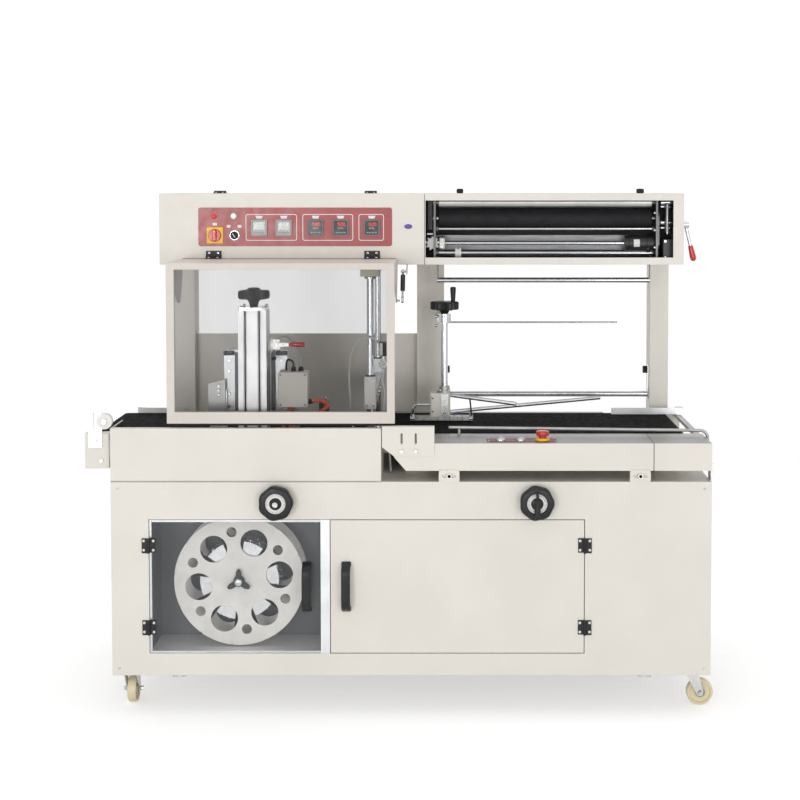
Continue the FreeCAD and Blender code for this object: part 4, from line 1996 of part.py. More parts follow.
def clamp_bracket():
    """The ear on the column's side that carries the toggle clamp's pin."""
    left = SEAL_COLUMN_X + SEAL_COLUMN_SIZE
    plate = block((left, CLAMP_X + 10.0), onward(CLAMP_Y + CLAMP_BAR / 2 + 1.0, 4.0), centred(CLAMP_Z, 28.0))
    foot = block(onward(left, 4.0), (CLAMP_Y - 12.0, CLAMP_Y + CLAMP_BAR / 2 + 1.0), centred(CLAMP_Z, 28.0))
    pin = rod_y(CLAMP_X, (CLAMP_Y - CLAMP_BAR / 2 - 2.0, CLAMP_Y + CLAMP_BAR / 2 + 1.0), CLAMP_Z, CLAMP_PIN)
    return joined(plate, foot, pin)


def steel_gusset():
    """The dark triangular plate beside the column's foot."""
    x = onward(GUSSET_LEFT, GUSSET_WIDTH)
    low = HOUSING_TOP - 30.0
    corners = [(x[0], low), (x[1], low), (x[1], low + GUSSET_HEIGHT + 30.0),
               (x[1] - 12.0, low + GUSSET_HEIGHT + 30.0)]
    y = onward(HOUSING_DEPTH - SHEET - 8.0, 8.0)
    plate = prism_y(corners, y)
    foot = block((x[0], x[1]), y, (BASE_TOP, low))
    return joined(plate, foot)


def seal_knob():
    """The star knob on top of the column, with its screw."""
    centre_y = SEAL_COLUMN_FRONT + SEAL_COLUMN_SIZE / 2
    low = SEAL_KNOB_Z + SEAL_KNOB_STEM
    grip = lobed_grip(SEAL_KNOB_LOBES, SEAL_KNOB_DIAMETER, SEAL_KNOB_DIAMETER * 0.6, SEAL_KNOB_HEIGHT,
                      SEAL_KNOB_ARM_WIDTH)
    grip.translate(Vector(SEAL_COLUMN_MIDDLE, centre_y, low))
    hub = rod_z(SEAL_COLUMN_MIDDLE, centre_y, (SEAL_KNOB_Z, low + SEAL_KNOB_HEIGHT + SEAL_KNOB_BOSS),
                SEAL_KNOB_HUB)
    screw = rod_z(SEAL_COLUMN_MIDDLE, centre_y, (SEAL_COLUMN_TOP - SEAL_SCREW_DEPTH, SEAL_KNOB_Z),
                  SEAL_SCREW_DIAMETER)
    return [joined(grip, hub, screw)]


def seal_carriage():
    """The plate that rides behind the column and carries the seal and cut head."""
    x = onward(CARRIAGE_LEFT, CARRIAGE_WIDTH)
    y = onward(CARRIAGE_FRONT, CARRIAGE_PLATE)
    z = (CARRIAGE_TOP - CARRIAGE_HEIGHT, CARRIAGE_TOP)
    plate = softened(block(x, y, z), 6.0, Y_AXIS)
    shoes = []
    for share in (0.25, 0.75):
        place = SEAL_COLUMN_X + share * SEAL_COLUMN_SIZE
        shoes.append(
            block(centred(place, SEAL_SLOT_WIDTH - 2 * FIT_GAP),
                  (SEAL_COLUMN_BACK - SEAL_SLOT_DEPTH + 2.0, y[0]), z)
        )
    low = BELT_TOP + SEAL_HEAD_LIFT + CARRIAGE_TRAVEL / 2
    head = block(
        centred((x[0] + x[1]) / 2, SEAL_HEAD_WIDTH), onward(y[1], SEAL_HEAD_DEPTH),
        (low + 16.0, low + 16.0 + SEAL_HEAD_HEIGHT)
    )
    neck = block(centred((x[0] + x[1]) / 2, SEAL_HEAD_WIDTH * 0.6), y, (low + 16.0, z[0]))
    blade = block(
        centred((x[0] + x[1]) / 2, SEAL_HEAD_WIDTH * 0.8),
        onward(y[1] + SEAL_HEAD_DEPTH / 2 - 4.0, 8.0), (low, low + 16.0)
    )
    return [joined(plate, neck, head, blade, *shoes)]


def clamp_lever():
    """The toggle clamp's lever with its red grip."""
    arm = block((CLAMP_X, CLAMP_X + CLAMP_ARM), centred(CLAMP_Y, CLAMP_BAR), centred(CLAMP_Z, 12.0))
    eye = rod_y(CLAMP_X, centred(CLAMP_Y, CLAMP_BAR), CLAMP_Z, 16.0)
    radius = CLAMP_GRIP_DIAMETER / 2
    length = CLAMP_GRIP_LENGTH
    grip = turned(
        [(0, 0), (radius - 2.0, 0), (radius, 6.0), (radius, length - 6.0), (radius - 3.0, length),
         (0, length)],
        (CLAMP_X + CLAMP_ARM - 10.0, CLAMP_Y, CLAMP_Z),
        X_AXIS,
    )
    bore = rod_y(CLAMP_X, centred(CLAMP_Y, 2 * CLAMP_BAR), CLAMP_Z, CLAMP_PIN + 2 * FIT_GAP)
    return [without(joined(arm, eye, grip), bore)]


def terminal_box():
    """The terminal box on its post, with a gland, a connector and the hoses."""
    x = onward(TERMINAL_LEFT, TERMINAL_WIDTH)
    y = onward(TERMINAL_FRONT, TERMINAL_DEPTH)
    low = BASE_TOP + TERMINAL_RISE
    box = softened(block(x, y, onward(low, TERMINAL_HEIGHT)), 5.0, Y_AXIS)
    top = low + TERMINAL_HEIGHT
    middle_x = (x[0] + x[1]) / 2
    middle_y = (y[0] + y[1]) / 2
    gland = rod_z(middle_x, middle_y, onward(top, GLAND_HEIGHT), GLAND_DIAMETER)
    post = block(centred(middle_x, 30.0), onward(y[1], 5.0), (BASE_TOP, low + 60.0))
    size = CONNECTOR_SIZE
    connector_z = HOUSING_TOP + 8.0
    connector = block(
        onward(CONNECTOR_X, size[0]), onward(HOUSING_DEPTH - SHEET - size[1], size[1]),
        onward(connector_z, size[2])
    )
    stand = block(
        onward(CONNECTOR_X + 6.0, 14.0), onward(HOUSING_DEPTH - SHEET - 5.0, 5.0), (BASE_TOP, connector_z)
    )
    hoses = []
    start_z = BASE_TOP
    for index, x_start in enumerate(HOSE_STARTS):
        hose_y = HOSE_Y + HOSE_PITCH * index
        crest = HOUSING_TOP + HOSE_CREST + HOSE_PITCH * index
        x_end = middle_x - 26.0 + 20.0 * index
        points = [
            (x_start, hose_y, start_z),
            (x_start, hose_y, crest),
            (x_end, hose_y, crest),
            (x_end, hose_y, start_z),
        ]
        hoses.append(bent_rod(points, HOSE_DIAMETER, HOSE_BEND))
    return [joined(box, gland), post, connector, stand] + hoses


def jaw_frame():
    """The jaw's guide posts, lower jaw, top bridge, its valve and the valve's bracket."""
    bottom = BASE_TOP
    posts = [
        rod_z(JAW_X, y, (bottom, JAW_TOP), JAW_POST_DIAMETER) for y in (JAW_FRONT_Y, JAW_REAR_Y)
    ]
    lower_top = BELT_TOP - JAW_LOWER_DROP
    half = JAW_POST_DIAMETER / 2 + 12.0
    bar = block(
        centred(JAW_X, JAW_BAR_WIDTH),
        (JAW_FRONT_Y - half, JAW_REAR_Y + half),
        (lower_top - JAW_BAR_HEIGHT, lower_top - JAW_FACE_HEIGHT),
    )
    face = block(
        centred(JAW_X, JAW_FACE_WIDTH),
        (JAW_FRONT_Y + half, JAW_REAR_Y - half),
        (lower_top - JAW_FACE_HEIGHT, lower_top),
    )
    top_size = JAW_TOP_BLOCK
    caps = [
        block(centred(JAW_X, top_size[0]), centred(y, top_size[1]), onward(JAW_TOP, top_size[2]))
        for y in (JAW_FRONT_Y, JAW_REAR_Y)
    ]
    bridge = block(
        centred(JAW_X, 24.0), (JAW_FRONT_Y + top_size[1] / 2, JAW_REAR_Y - top_size[1] / 2),
        onward(JAW_TOP, 12.0)
    )
    valve_z = BASE_TOP + VALVE_RISE
    size = VALVE_SIZE
    strip_x = (JAW_X + top_size[0] / 2 - VALVE_STRIP, JAW_X + top_size[0] / 2)
    strip = block(strip_x, centred(JAW_FRONT_Y, 16.0), (valve_z - size[2] / 2, JAW_TOP))
    valve = block(onward(strip_x[1], size[0]), centred(JAW_FRONT_Y, size[1]), centred(valve_z, size[2]))
    return [joined(*posts, bar, face, *caps, bridge, strip), valve]


def upper_jaw():
    """The upper jaw on its two bearings."""
    z = onward(JAW_BEARING_BOTTOM, JAW_BEARING_HEIGHT)
    bearings = []
    bores = []
    for y in (JAW_FRONT_Y, JAW_REAR_Y):
        bearings.append(block(centred(JAW_X, JAW_BEARING_WIDTH), centred(y, JAW_BEARING_WIDTH), z))
        bores.append(rod_z(JAW_X, y, (z[0] - 1.0, z[1] + 1.0), JAW_POST_DIAMETER + 2 * FIT_GAP))
    half = JAW_BEARING_WIDTH / 2
    span = (JAW_FRONT_Y + half, JAW_REAR_Y - half)
    bar = block(centred(JAW_X, JAW_BAR_WIDTH), span, (z[0] + 10.0, z[0] + 10.0 + JAW_BAR_HEIGHT))
    face = block(centred(JAW_X, JAW_FACE_WIDTH), span, (z[0] - JAW_FACE_HEIGHT, z[0] + 10.0))
    return [without(joined(*bearings, bar, face), *bores)]


def caster_nodes():
    """The forks and wheels of the four casters."""
    nodes = {}
    for name, (place, trail) in caster_places().items():
        nodes["caster_fork_" + name] = [caster_fork(place, trail)]
        nodes["caster_wheel_" + name] = [caster_wheel(place, trail)]
    return nodes


NODE_MAKERS = (
    base_cabinet, reel_compartment, door_mullion, station_housing, rear_frame, control_box,
    control_panel, roller_box, conveyor_frames, conveyor_belts, infeed_covers, mounting_plates,
    guide_rails, jaw_frame, seal_column, terminal_box, film_rods, film_drive, hinge_leaves,
    hood_frame, hood_window, strut_cylinders, strut_rods, window_door, window_door_handle,
    steel_door, steel_door_handle, outfeed_handwheel, infeed_handwheel, folding_crank, scrap_reel,
    reel_knob, main_switch, selector_switch, start_button, stop_button, emergency_stop, nip_lever,
    nip_roller, rubber_roller, dancer, guide_roller, upper_jaw, seal_knob, seal_carriage,
    clamp_lever, crank_wheel, former_head, control_lid, infeed_end_roller, outfeed_end_roller,
    trim_pulley,
)


def frame_origin():
    """The point on the floor under the middle of the whole machine's box."""
    right_place, right_trail = caster_places()["front_right"]
    right = right_place[0] + CASTER_TRAIL + WHEEL_DIAMETER / 2
    front = crank_pivot()[1] - CRANK_GRIP_DIAMETER / 2 - 1.0
    back = BASE_DEPTH
    return Vector((OUTFEED_LEFT + right) / 2, (front + back) / 2, 0)


def make_nodes():
    """Every node's solids, moved to the frame whose origin is under the machine's middle."""
    nodes = {maker.__name__: maker() for maker in NODE_MAKERS}
    nodes.update(caster_nodes())
    origin = frame_origin()
    shapes = {}
    for name, solids in nodes.items():
        shape = Part.makeCompound(solids)
        shape.translate(-origin)
        shapes[name] = shape
    return shapes


def save(shapes):
    """One STEP file per node, in the folder parts."""
    os.makedirs("parts", exist_ok=True)
    for name, shape in shapes.items():
        if not shape.isValid():
            print("invalid solids in", name)
        shape.exportStep("parts/" + name + ".step")


SHAPES = make_nodes()
save(SHAPES)
print(len(SHAPES), "nodes")
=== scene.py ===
"""Looks for a side sealer, a film packaging machine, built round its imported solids.

Sizes are in millimetres in the machine's own coordinates, as in the part's source: X along
the conveyors from the middle of the base, Y back from the front of the base, Z up.
"""

import json
import logging
import math
from dataclasses import dataclass
from enum import Enum
from functools import cache
from itertools import product
from typing import Iterable

import bmesh
import bpy
import numpy as np
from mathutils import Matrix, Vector

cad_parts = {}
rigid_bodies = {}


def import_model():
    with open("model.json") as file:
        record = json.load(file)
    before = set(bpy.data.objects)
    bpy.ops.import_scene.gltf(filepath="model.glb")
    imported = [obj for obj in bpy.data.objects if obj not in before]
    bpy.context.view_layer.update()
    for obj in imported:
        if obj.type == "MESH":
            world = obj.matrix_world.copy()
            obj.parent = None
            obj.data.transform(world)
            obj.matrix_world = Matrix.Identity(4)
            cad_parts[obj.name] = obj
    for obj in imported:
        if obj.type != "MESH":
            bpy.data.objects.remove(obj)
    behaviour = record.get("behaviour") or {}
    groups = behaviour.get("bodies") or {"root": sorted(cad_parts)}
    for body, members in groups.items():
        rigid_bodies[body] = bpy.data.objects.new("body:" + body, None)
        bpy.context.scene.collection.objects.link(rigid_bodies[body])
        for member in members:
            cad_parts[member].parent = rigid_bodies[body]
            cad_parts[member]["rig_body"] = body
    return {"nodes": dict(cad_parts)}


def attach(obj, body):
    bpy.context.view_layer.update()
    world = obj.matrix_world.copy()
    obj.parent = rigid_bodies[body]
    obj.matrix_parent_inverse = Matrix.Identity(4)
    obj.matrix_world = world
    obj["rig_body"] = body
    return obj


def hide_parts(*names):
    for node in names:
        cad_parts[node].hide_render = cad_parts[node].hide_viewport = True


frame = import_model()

log = logging.getLogger("side_sealer")
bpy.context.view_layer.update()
Array = np.ndarray
Socket = bpy.types.NodeSocket
Point = tuple[float, float, float]

# The row frame's origin in the machine's coordinates
ROW_ORIGIN = np.array([-35.75, 339.0, 0.0])
MILLIMETRE = 0.001
WELD = 1e-6
SMOOTH_ANGLE = math.radians(38.0)
X, Y, Z = np.eye(3)
CORNERS = ("front_left", "front_right", "rear_left", "rear_right")


# Finishes


class Net:
    """The nodes and links of a material or of the world."""

    def __init__(self, owner: bpy.types.ID) -> None:
        """Turns the owner's nodes on."""
        owner.use_nodes = True
        self.nodes, self.links = owner.node_tree.nodes, owner.node_tree.links

    def feed(self, node: bpy.types.Node, inputs: dict) -> None:
        """Sets a node's inputs to values, or links them to other nodes' outputs."""
        for key, value in inputs.items():
            if isinstance(value, Socket):
                self.links.new(value, node.inputs[key])
            else:
                node.inputs[key].default_value = value

    def node(self, kind: str, inputs: dict, output: int | str = 0, **options: object) -> Socket:
        """Adds a node.

        Args:
            kind: The node's type, without its first words.
            inputs: Names or numbers of inputs, with their values or other nodes' outputs.
            output: The output to give back.
            **options: The node's own settings.

        Returns:
            The output.
        """
        node = self.nodes.new("ShaderNode" + kind)
        for key, value in options.items():
            setattr(node, key, value)
        self.feed(node, inputs)
        return node.outputs[output]

    def seen(self) -> Socket:
        """1 on rays of the camera, of a mirror and through glass, and 0 on all others."""
        path = self.nodes.new("ShaderNodeLightPath").outputs
        direct = self.node("Math", {0: path["Is Camera Ray"], 1: path["Is Glossy Ray"]}, operation="MAXIMUM")
        return self.node("Math", {0: direct, 1: path["Is Transmission Ray"]}, operation="MAXIMUM")


class Tree(Net):
    """The nodes of one material: its shader and the patterns that feed it."""

    def __init__(self, name: str, **values: object) -> None:
        """Starts a material with one principled shader.

        Args:
            name: The material's name.
            **values: Uniform values for the shader's sockets, with underscores for spaces.
        """
        self.material = bpy.data.materials.new(name)
        super().__init__(self.material)
        self.nodes.clear()
        self.shader = self.nodes.new("ShaderNodeBsdfPrincipled")
        output = self.nodes.new("ShaderNodeOutputMaterial")
        self.links.new(self.shader.outputs[0], output.inputs["Surface"])
        self.place = self.nodes.new("ShaderNodeTexCoord").outputs["Object"]
        self.feed(self.shader, {key.replace("_", " "): value for key, value in values.items()})

    def stretched(self, scale: tuple) -> Socket:
        """Object coordinates, stretched along the axes."""
        return self.node("Mapping", {"Vector": self.place, "Scale": scale})

    def noise(self, scale: float, detail: float, stretch: tuple | None = None) -> Socket:
        """A noise pattern.

        Args:
            scale: Features in a metre.
            detail: Octaves.
            stretch: Factors for the axes, or None.

        Returns:
            The pattern's value.
        """
        place = self.stretched(stretch) if stretch else self.place
        return self.node("TexNoise", {"Vector": place, "Scale": scale, "Detail": detail})

    def spread(self, value: Socket, low: float, high: float) -> Socket:
        """Maps the middle of a pattern, 0.3 to 0.7, to a range."""
        inputs = {"Value": value, "From Min": 0.3, "From Max": 0.7, "To Min": low, "To Max": high}
        return self.node("MapRange", inputs)

    def mottle(self, scale: float, detail: float, colour: Point, share: float, lift: float = 0.0) -> None:
        """Gives the shader a colour that noise mixes with a lighter or darker one.

        Args:
            scale: The noise's features in a metre.
            detail: Its octaves.
            colour: The colour at 0.
            share: The factor for the colour at 1.
            lift: What is added to that.
        """
        other = [min(1.0, share * part + lift) for part in colour]
        factor = self.spread(self.noise(scale, detail), 0.0, 1.0)
        mixed = self.node("Mix", {0: factor, 6: (*colour, 1.0), 7: (*other, 1.0)}, 2, data_type="RGBA")
        self.feed(self.shader, {"Base Color": mixed})

    def roughen(self, pattern: Socket, low: float, high: float) -> None:
        """Gives the shader its roughness, spread by a pattern."""
        self.feed(self.shader, {"Roughness": self.spread(pattern, low, high)})

    def relief(self, height: Socket, depth: float, edge: float, strength: float = 0.5) -> None:
        """Gives the surface a bump, over rounded edges.

        Args:
            height: The pattern.
            depth: The bump's depth in metres.
            edge: The radius of the rounded edges in metres, or 0.
            strength: The bump's share.
        """
        inputs = {"Height": height, "Distance": depth, "Strength": strength}
        if edge:
            inputs["Normal"] = self.node("Bevel", {"Radius": edge}, samples=3)
        self.feed(self.shader, {"Normal": self.node("Bump", inputs)})


@dataclass(frozen=True)
class Finish:
    """A surface finish by its name and colour."""

    name: str
    colour: Point

    def tree(self) -> Tree:
        """Builds the nodes."""
        return Tree(self.name)

    @cache
    def material(self) -> bpy.types.Material:
        """The material, made once."""
        return self.tree().material


@dataclass(frozen=True)
class Paint(Finish):
    """Fine textured powder coat on sheet metal: orange-peel relief, faint marks and soft edges."""

    rough: float = 0.42
    peel: float = 700.0
    edge: float = 0.0012

    def tree(self) -> Tree:
        """Builds the nodes."""
        tree = Tree(self.name)
        tree.mottle(5.0, 5.0, self.colour, 0.94)
        tree.roughen(tree.noise(40.0, 4.0), self.rough - 0.05, self.rough + 0.08)
        tree.relief(tree.noise(self.peel, 2.0), 0.00012, self.edge)
        return tree


class Grain(Enum):
    """The direction of a brushed grain, as stretches of its pattern."""

    ALONG_X = (0.02, 1.0, 1.0)
    ALONG_Z = (1.0, 1.0, 0.02)


@dataclass(frozen=True)
class Metal(Finish):
    """Bare metal with a drawn or brushed grain."""

    rough: float
    grain: Grain
    depth: float = 0.00004

    def tree(self) -> Tree:
        """Builds the nodes."""
        tree = Tree(self.name, Metallic=1.0)
        grain = tree.noise(900.0, 3.0, self.grain.value)
        tree.mottle(14.0, 5.0, self.colour, 0.82)
        tree.roughen(grain, self.rough - 0.08, self.rough + 0.12)
        tree.relief(grain, self.depth, 0.0006, 0.6)
        return tree


@dataclass(frozen=True)
class Polished(Finish):
    """Chrome plate or crinkled film: a clear mirror with faint smears."""

    rough: float = 0.08

    def tree(self) -> Tree:
        """Builds the nodes."""
        tree = Tree(self.name, Metallic=1.0)
        tree.mottle(25.0, 4.0, self.colour, 0.9)
        tree.roughen(tree.noise(60.0, 6.0), self.rough, self.rough + 0.14)
        tree.relief(tree.noise(1500.0, 2.0), 0.00001, 0.0, 0.3)
        return tree


@dataclass(frozen=True)
class Moulded(Finish):
    """Moulded plastic or rubber with a spark-eroded grain."""

    rough: float = 0.4
    grain: float = 1400.0
    depth: float = 0.00005
    clear: float = 0.0
    shine: float = 0.5

    def tree(self) -> Tree:
        """Builds the nodes."""
        tree = Tree(self.name, Coat_Weight=self.clear, Specular_IOR_Level=self.shine)
        tree.mottle(30.0, 4.0, self.colour, 1.12, 0.004)
        tree.roughen(tree.noise(90.0, 3.0), self.rough - 0.06, self.rough + 0.08)
        tree.relief(tree.noise(self.grain, 2.0), self.depth, 0.0005)
        return tree


@dataclass(frozen=True)
class Belting(Finish):
    """Conveyor belting: a fine woven face, two crossed sets of ribs."""

    def tree(self) -> Tree:
        """Builds the nodes."""
        tree = Tree(self.name, Specular_IOR_Level=0.02)
        place = tree.stretched((4.0, 4.0, 4.0))
        ribs = [tree.node("TexWave", {"Scale": 26.0, "Distortion": 0.6, "Vector": place}, "Fac",
                          bands_direction=way) for way in "XY"]
        tree.mottle(9.0, 6.0, self.colour, 1.5)
        tree.roughen(tree.noise(70.0, 4.0), 0.55, 0.78)
        tree.relief(tree.node("Math", dict(enumerate(ribs)), operation="MULTIPLY"), 0.0002, 0.0)
        return tree


@dataclass(frozen=True)
class Clear(Finish):
    """Clear acrylic sheet with faint haze and wipe marks."""

    haze: float = 0.05
    smear: float = 0.04
    clear: float = 0.4
    shine: float = 0.5

    def tree(self) -> Tree:
        """Builds the nodes."""
        tree = Tree(self.name, IOR=1.49, Coat_Weight=self.clear, Specular_IOR_Level=self.shine)
        tree.mottle(3.0, 3.0, self.colour, 0.9)
        marks = tree.noise(7.0, 5.0, (1.0, 1.0, 0.35))
        tree.feed(tree.shader, {"Alpha": tree.spread(marks, self.haze, self.haze + self.smear)})
        tree.roughen(tree.noise(50.0, 4.0), 0.03, 0.10)
        return tree


@dataclass(frozen=True)
class Glow(Finish):
    """A lit lens or display, its colour mottled by noise."""

    strength: float

    def tree(self) -> Tree:
        """Builds the nodes."""
        tree = Tree(self.name, Emission_Strength=self.strength, Emission_Color=(*self.colour, 1.0))
        tree.mottle(120.0, 3.0, self.colour, 0.8)
        tree.roughen(tree.noise(200.0, 2.0), 0.12, 0.22)
        return tree


CREAM = Paint("cream_powder_coat", (0.800, 0.765, 0.700))
BAY_GREY = Paint("dark_grey_sheet", (0.105, 0.105, 0.110), 0.5)
BAY_FLOOR = Paint("light_grey_sheet", (0.80, 0.79, 0.76), 0.4)
BEIGE = Paint("beige_powder_coat", (0.690, 0.640, 0.580))
BURGUNDY = Paint("burgundy_enamel", (0.37, 0.060, 0.062), 0.3, 400, 0.0006)
STRIP_RED = Paint("dark_red_enamel", (0.19, 0.030, 0.036), 0.35, 400, 0.0004)
WHITE_LINE = Paint("white_print", (0.83, 0.82, 0.80), 0.4, 900, 0.0002)
# Near black that paints the shade on the inner faces of the base cabinet, the station housing and the
# conveyor frames.
PAINTED_SHADE_INSIDE = Paint("painted_shade_inside", (0.030, 0.030, 0.032), 0.55)
# Dark grey that paints the shade on the roller box's inner faces.
PAINTED_SHADE_BOX_INSIDE = Paint("painted_shade_grey_inside", (0.15, 0.15, 0.152), 0.5)
BLACK_PAINT = Paint("black_enamel", (0.018, 0.018, 0.019), 0.4, 900, 0.0004)
ALUMINIUM = Metal("satin_aluminium", (0.66, 0.67, 0.68), 0.34, Grain.ALONG_Z)
ALUMINIUM_X = Metal("satin_aluminium_rail", (0.66, 0.67, 0.68), 0.34, Grain.ALONG_X)
STAINLESS = Metal("brushed_stainless", (0.43, 0.43, 0.42), 0.36, Grain.ALONG_X)
# Dark grey that paints the shade on the sheet behind the film rollers.
SHADE_PAINTED_SHEET = Metal("painted_shade_sheet", (0.20, 0.20, 0.20), 0.42, Grain.ALONG_X)
PROFILE = Metal("bright_profile", (0.86, 0.86, 0.86), 0.42, Grain.ALONG_Z)
TURNED = Metal("turned_steel", (0.62, 0.62, 0.63), 0.22, Grain.ALONG_X)
ZINC = Metal("bright_zinc", (0.62, 0.62, 0.60), 0.30, Grain.ALONG_Z, 0.00006)
# Dark steel on real dark parts; in the seal column's slots it is painted shade.
DARK_STEEL_AND_SLOT_SHADE = Metal("dark_steel_and_painted_slot_shade", (0.13, 0.13, 0.135), 0.38, Grain.ALONG_Z)
CAST = Metal("cast_aluminium", (0.50, 0.49, 0.47), 0.48, Grain.ALONG_Z, 0.00012)
CHROME = Polished("chrome_plate", (0.58, 0.59, 0.61))
CRINKLED = Polished("crinkled_film", (0.66, 0.66, 0.67), 0.16)
BLACK = Moulded("black_plastic", (0.014, 0.014, 0.015), 0.36, shine=0.28)
SOFT_BLACK = Moulded("black_rubber", (0.018, 0.018, 0.020), 0.6, 900, 0.00009, shine=0.14)
RED = Moulded("red_plastic", (0.53, 0.018, 0.014), 0.28, 1400, 0.00003, 0.3)
DARK_RED = Moulded("dark_red_seal", (0.20, 0.012, 0.014))
YELLOW = Moulded("yellow_plastic", (0.80, 0.53, 0.02))
WHITE = Moulded("white_plastic", (0.76, 0.75, 0.72), 0.36)
PALE = Moulded("cream_plastic", (0.70, 0.66, 0.56))
GREY = Moulded("grey_plastic", (0.30, 0.30, 0.31), 0.45)
PURPLE = Moulded("violet_cap", (0.10, 0.05, 0.36))
NYLON = Moulded("cream_nylon", (0.74, 0.66, 0.44), 0.42, 600, 0.00006)
REEL_WHITE = Moulded("reel_plastic", (0.76, 0.74, 0.70), 0.5, 500, 0.00006)
ORANGE = Moulded("orange_hose", (0.72, 0.10, 0.02), 0.3, 800, 0.00003, 0.3)
HOSE_GREY = Moulded("grey_hose", (0.36, 0.36, 0.36))
CLEAR_TUBE = Moulded("frosted_tube", (0.62, 0.62, 0.60), 0.25, 800, 0.00003, 0.4)
LIGHT_BEZEL = Moulded("light_bezel", (0.36, 0.37, 0.37))
DARK_BEZEL = Moulded("dark_bezel", (0.17, 0.17, 0.18), 0.35)
LIGHT_FACE = Moulded("instrument_face", (0.42, 0.43, 0.42))
SMOKED = Moulded("smoked_window", (0.035, 0.036, 0.04), 0.12, 600, 0.00001, 0.6)
GLASS_FACE = Moulded("display_window", (0.20, 0.22, 0.21), 0.12, 600, 0.00001, 0.6)
BELTING = Belting("black_belting", (0.007, 0.007, 0.0075))
PANE = Clear("clear_acrylic", (0.50, 0.53, 0.55))
HOOD_PANE = Clear("smoked_acrylic", (0.030, 0.030, 0.032), 0.17, 0.03, 0.0, 0.2)
RED_LENS = Glow("red_lens", (0.72, 0.02, 0.02), 0.35)
WHITE_LENS = Glow("white_lens", (0.85, 0.85, 0.80), 0.25)
RED_DIGITS = Glow("red_digits", (0.9, 0.04, 0.03), 1.4)
PALE_DIGITS = Glow("pale_digits", (0.62, 0.68, 0.62), 0.5)


# Shapes


@dataclass
class Shape:
    """A surface as points in machine millimetres, with faces as tuples of point numbers."""

    points: Array
    faces: list

    def turned(self, centre: Point, axis: Array, angle: float) -> "Shape":
        """The shape turned about a line.

        Rodrigues' formula: p cos a + (k x p) sin a + k (k . p)(1 - cos a).

        Args:
            centre: A point on the line.
            axis: The line's unit direction.
            angle: The angle in degrees.

        Returns:
            The turned shape.
        """
        a = math.radians(angle)
        p = self.points - np.array(centre)
        along = (p @ axis)[:, None] * axis
        moved = p * math.cos(a) + np.cross(axis, p) * math.sin(a) + along * (1 - math.cos(a))
        return Shape(moved + np.array(centre), self.faces)

    def moved(self, offset: Point) -> "Shape":
        """The shape shifted by an offset."""
        return Shape(self.points + np.array(offset, float), self.faces)


def stacked(loops: Array, closed: bool = False) -> Shape:
    """A skin of quads over a stack of closed loops, with flat ends unless it closes on itself.

    Args:
        loops: Points as (ring, place in ring, 3).
        closed: Whether the last ring joins the first.

    Returns:
        The closed surface.
    """
    rings, count = loops.shape[:2]
    i = np.arange(rings if closed else rings - 1)[:, None]
    j = np.arange(count)[None, :]
    following, right = (i + 1) % rings, (j + 1) % count
    quads = np.stack([i * count + j, i * count + right, following * count + right, following * count + j], -1)
    faces = [tuple(quad) for quad in quads.reshape(-1, 4).tolist()]
    if not closed:
        faces.append(tuple(range(count))[::-1])
        faces.append(tuple(range((rings - 1) * count, rings * count)))
    return Shape(loops.reshape(-1, 3), faces)


def frame_of(axis: Array) -> tuple[Array, Array]:
    """Two unit vectors that stand square to an axis."""
    helper = Z if abs(axis[2]) < 0.9 else X
    first = np.cross(helper, axis)
    first = first / np.linalg.norm(first)
    return first, np.cross(axis, first)


def circle(count: int) -> Array:
    """Even angles round a circle."""
    return np.linspace(0, 2 * math.pi, count, endpoint=False)


def lathe(profile: list, origin: Point, axis: Array = Z, segments: int = 48, hollow: bool = False) -> Shape:
    """A solid of revolution.

    Point = origin + axis * height + (u cos t + v sin t) * radius, for t round the circle.

    Args:
        profile: (radius, height) pairs from one end to the other.
        origin: Where height 0 lies.
        axis: The unit direction of height.
        segments: Points round the circle.
        hollow: Whether the profile is a closed outline, which gives a ring.

    Returns:
        The closed surface.
    """
    radius, height = np.array(profile, float).T[:, :, None, None]
    u, v = frame_of(axis)
    t = circle(segments)[:, None]
    spokes = np.cos(t) * u + np.sin(t) * v
    return stacked(radius * spokes + height * axis + np.array(origin), hollow)


def bar(start: Point, end: Point, diameter: float, edge: float = 0.5, segments: int = 24) -> Shape:
    """A round bar with chamfered ends between two points."""
    along = np.array(end, float) - np.array(start, float)
    length = float(np.linalg.norm(along))
    r = diameter / 2
    profile = [(r - edge, 0), (r, edge), (r, length - edge), (r - edge, length)]
    return lathe(profile, start, along / length, segments)


def pipe(path: Array, diameter: float, segments: int = 16) -> Shape:
    """A round tube along a path.

    Each ring is the path point plus radius * (side cos t + normal sin t), where side and normal are
    square to the path's tangent.

    Args:
        path: Points along the middle.
        diameter: The tube's diameter.
        segments: Points round the tube.

    Returns:
        The closed surface.
    """
    tangent = np.gradient(path, axis=0)
    tangent = tangent / np.linalg.norm(tangent, axis=1)[:, None]
    spread = np.linalg.svd(path - path.mean(0))[2][2]
    side = np.cross(tangent, spread)
    side = side / np.linalg.norm(side, axis=1)[:, None]
    normal = np.cross(tangent, side)
    t = circle(segments)[None, :, None]
    ring = np.cos(t) * side[:, None, :] + np.sin(t) * normal[:, None, :]
    return stacked(path[:, None, :] + diameter / 2 * ring)


def hose(places: list, diameter: float, count: int = 60) -> Shape:
    """A round tube on a smooth curve through a few places.

    Catmull-Rom: each span blends its four nearest places with cubic weights.

    Args:
        places: Where the middle line passes.
        diameter: The tube's diameter.
        count: Points along the curve.

    Returns:
        The closed surface.
    """
    p = np.array([places[0], *places, places[-1]], float)
    s = np.linspace(0, len(places) - 1 - 1e-9, count)
    i = np.floor(s).astype(int)
    t = (s - i)[:, None]
    a, b, c, d = p[i], p[i + 1], p[i + 2], p[i + 3]
    curve = 0.5 * (2 * b + (c - a) * t + (2 * a - 5 * b + 4 * c - d) * t**2 + (3 * b - a - 3 * c + d) * t**3)
    return pipe(curve, diameter)


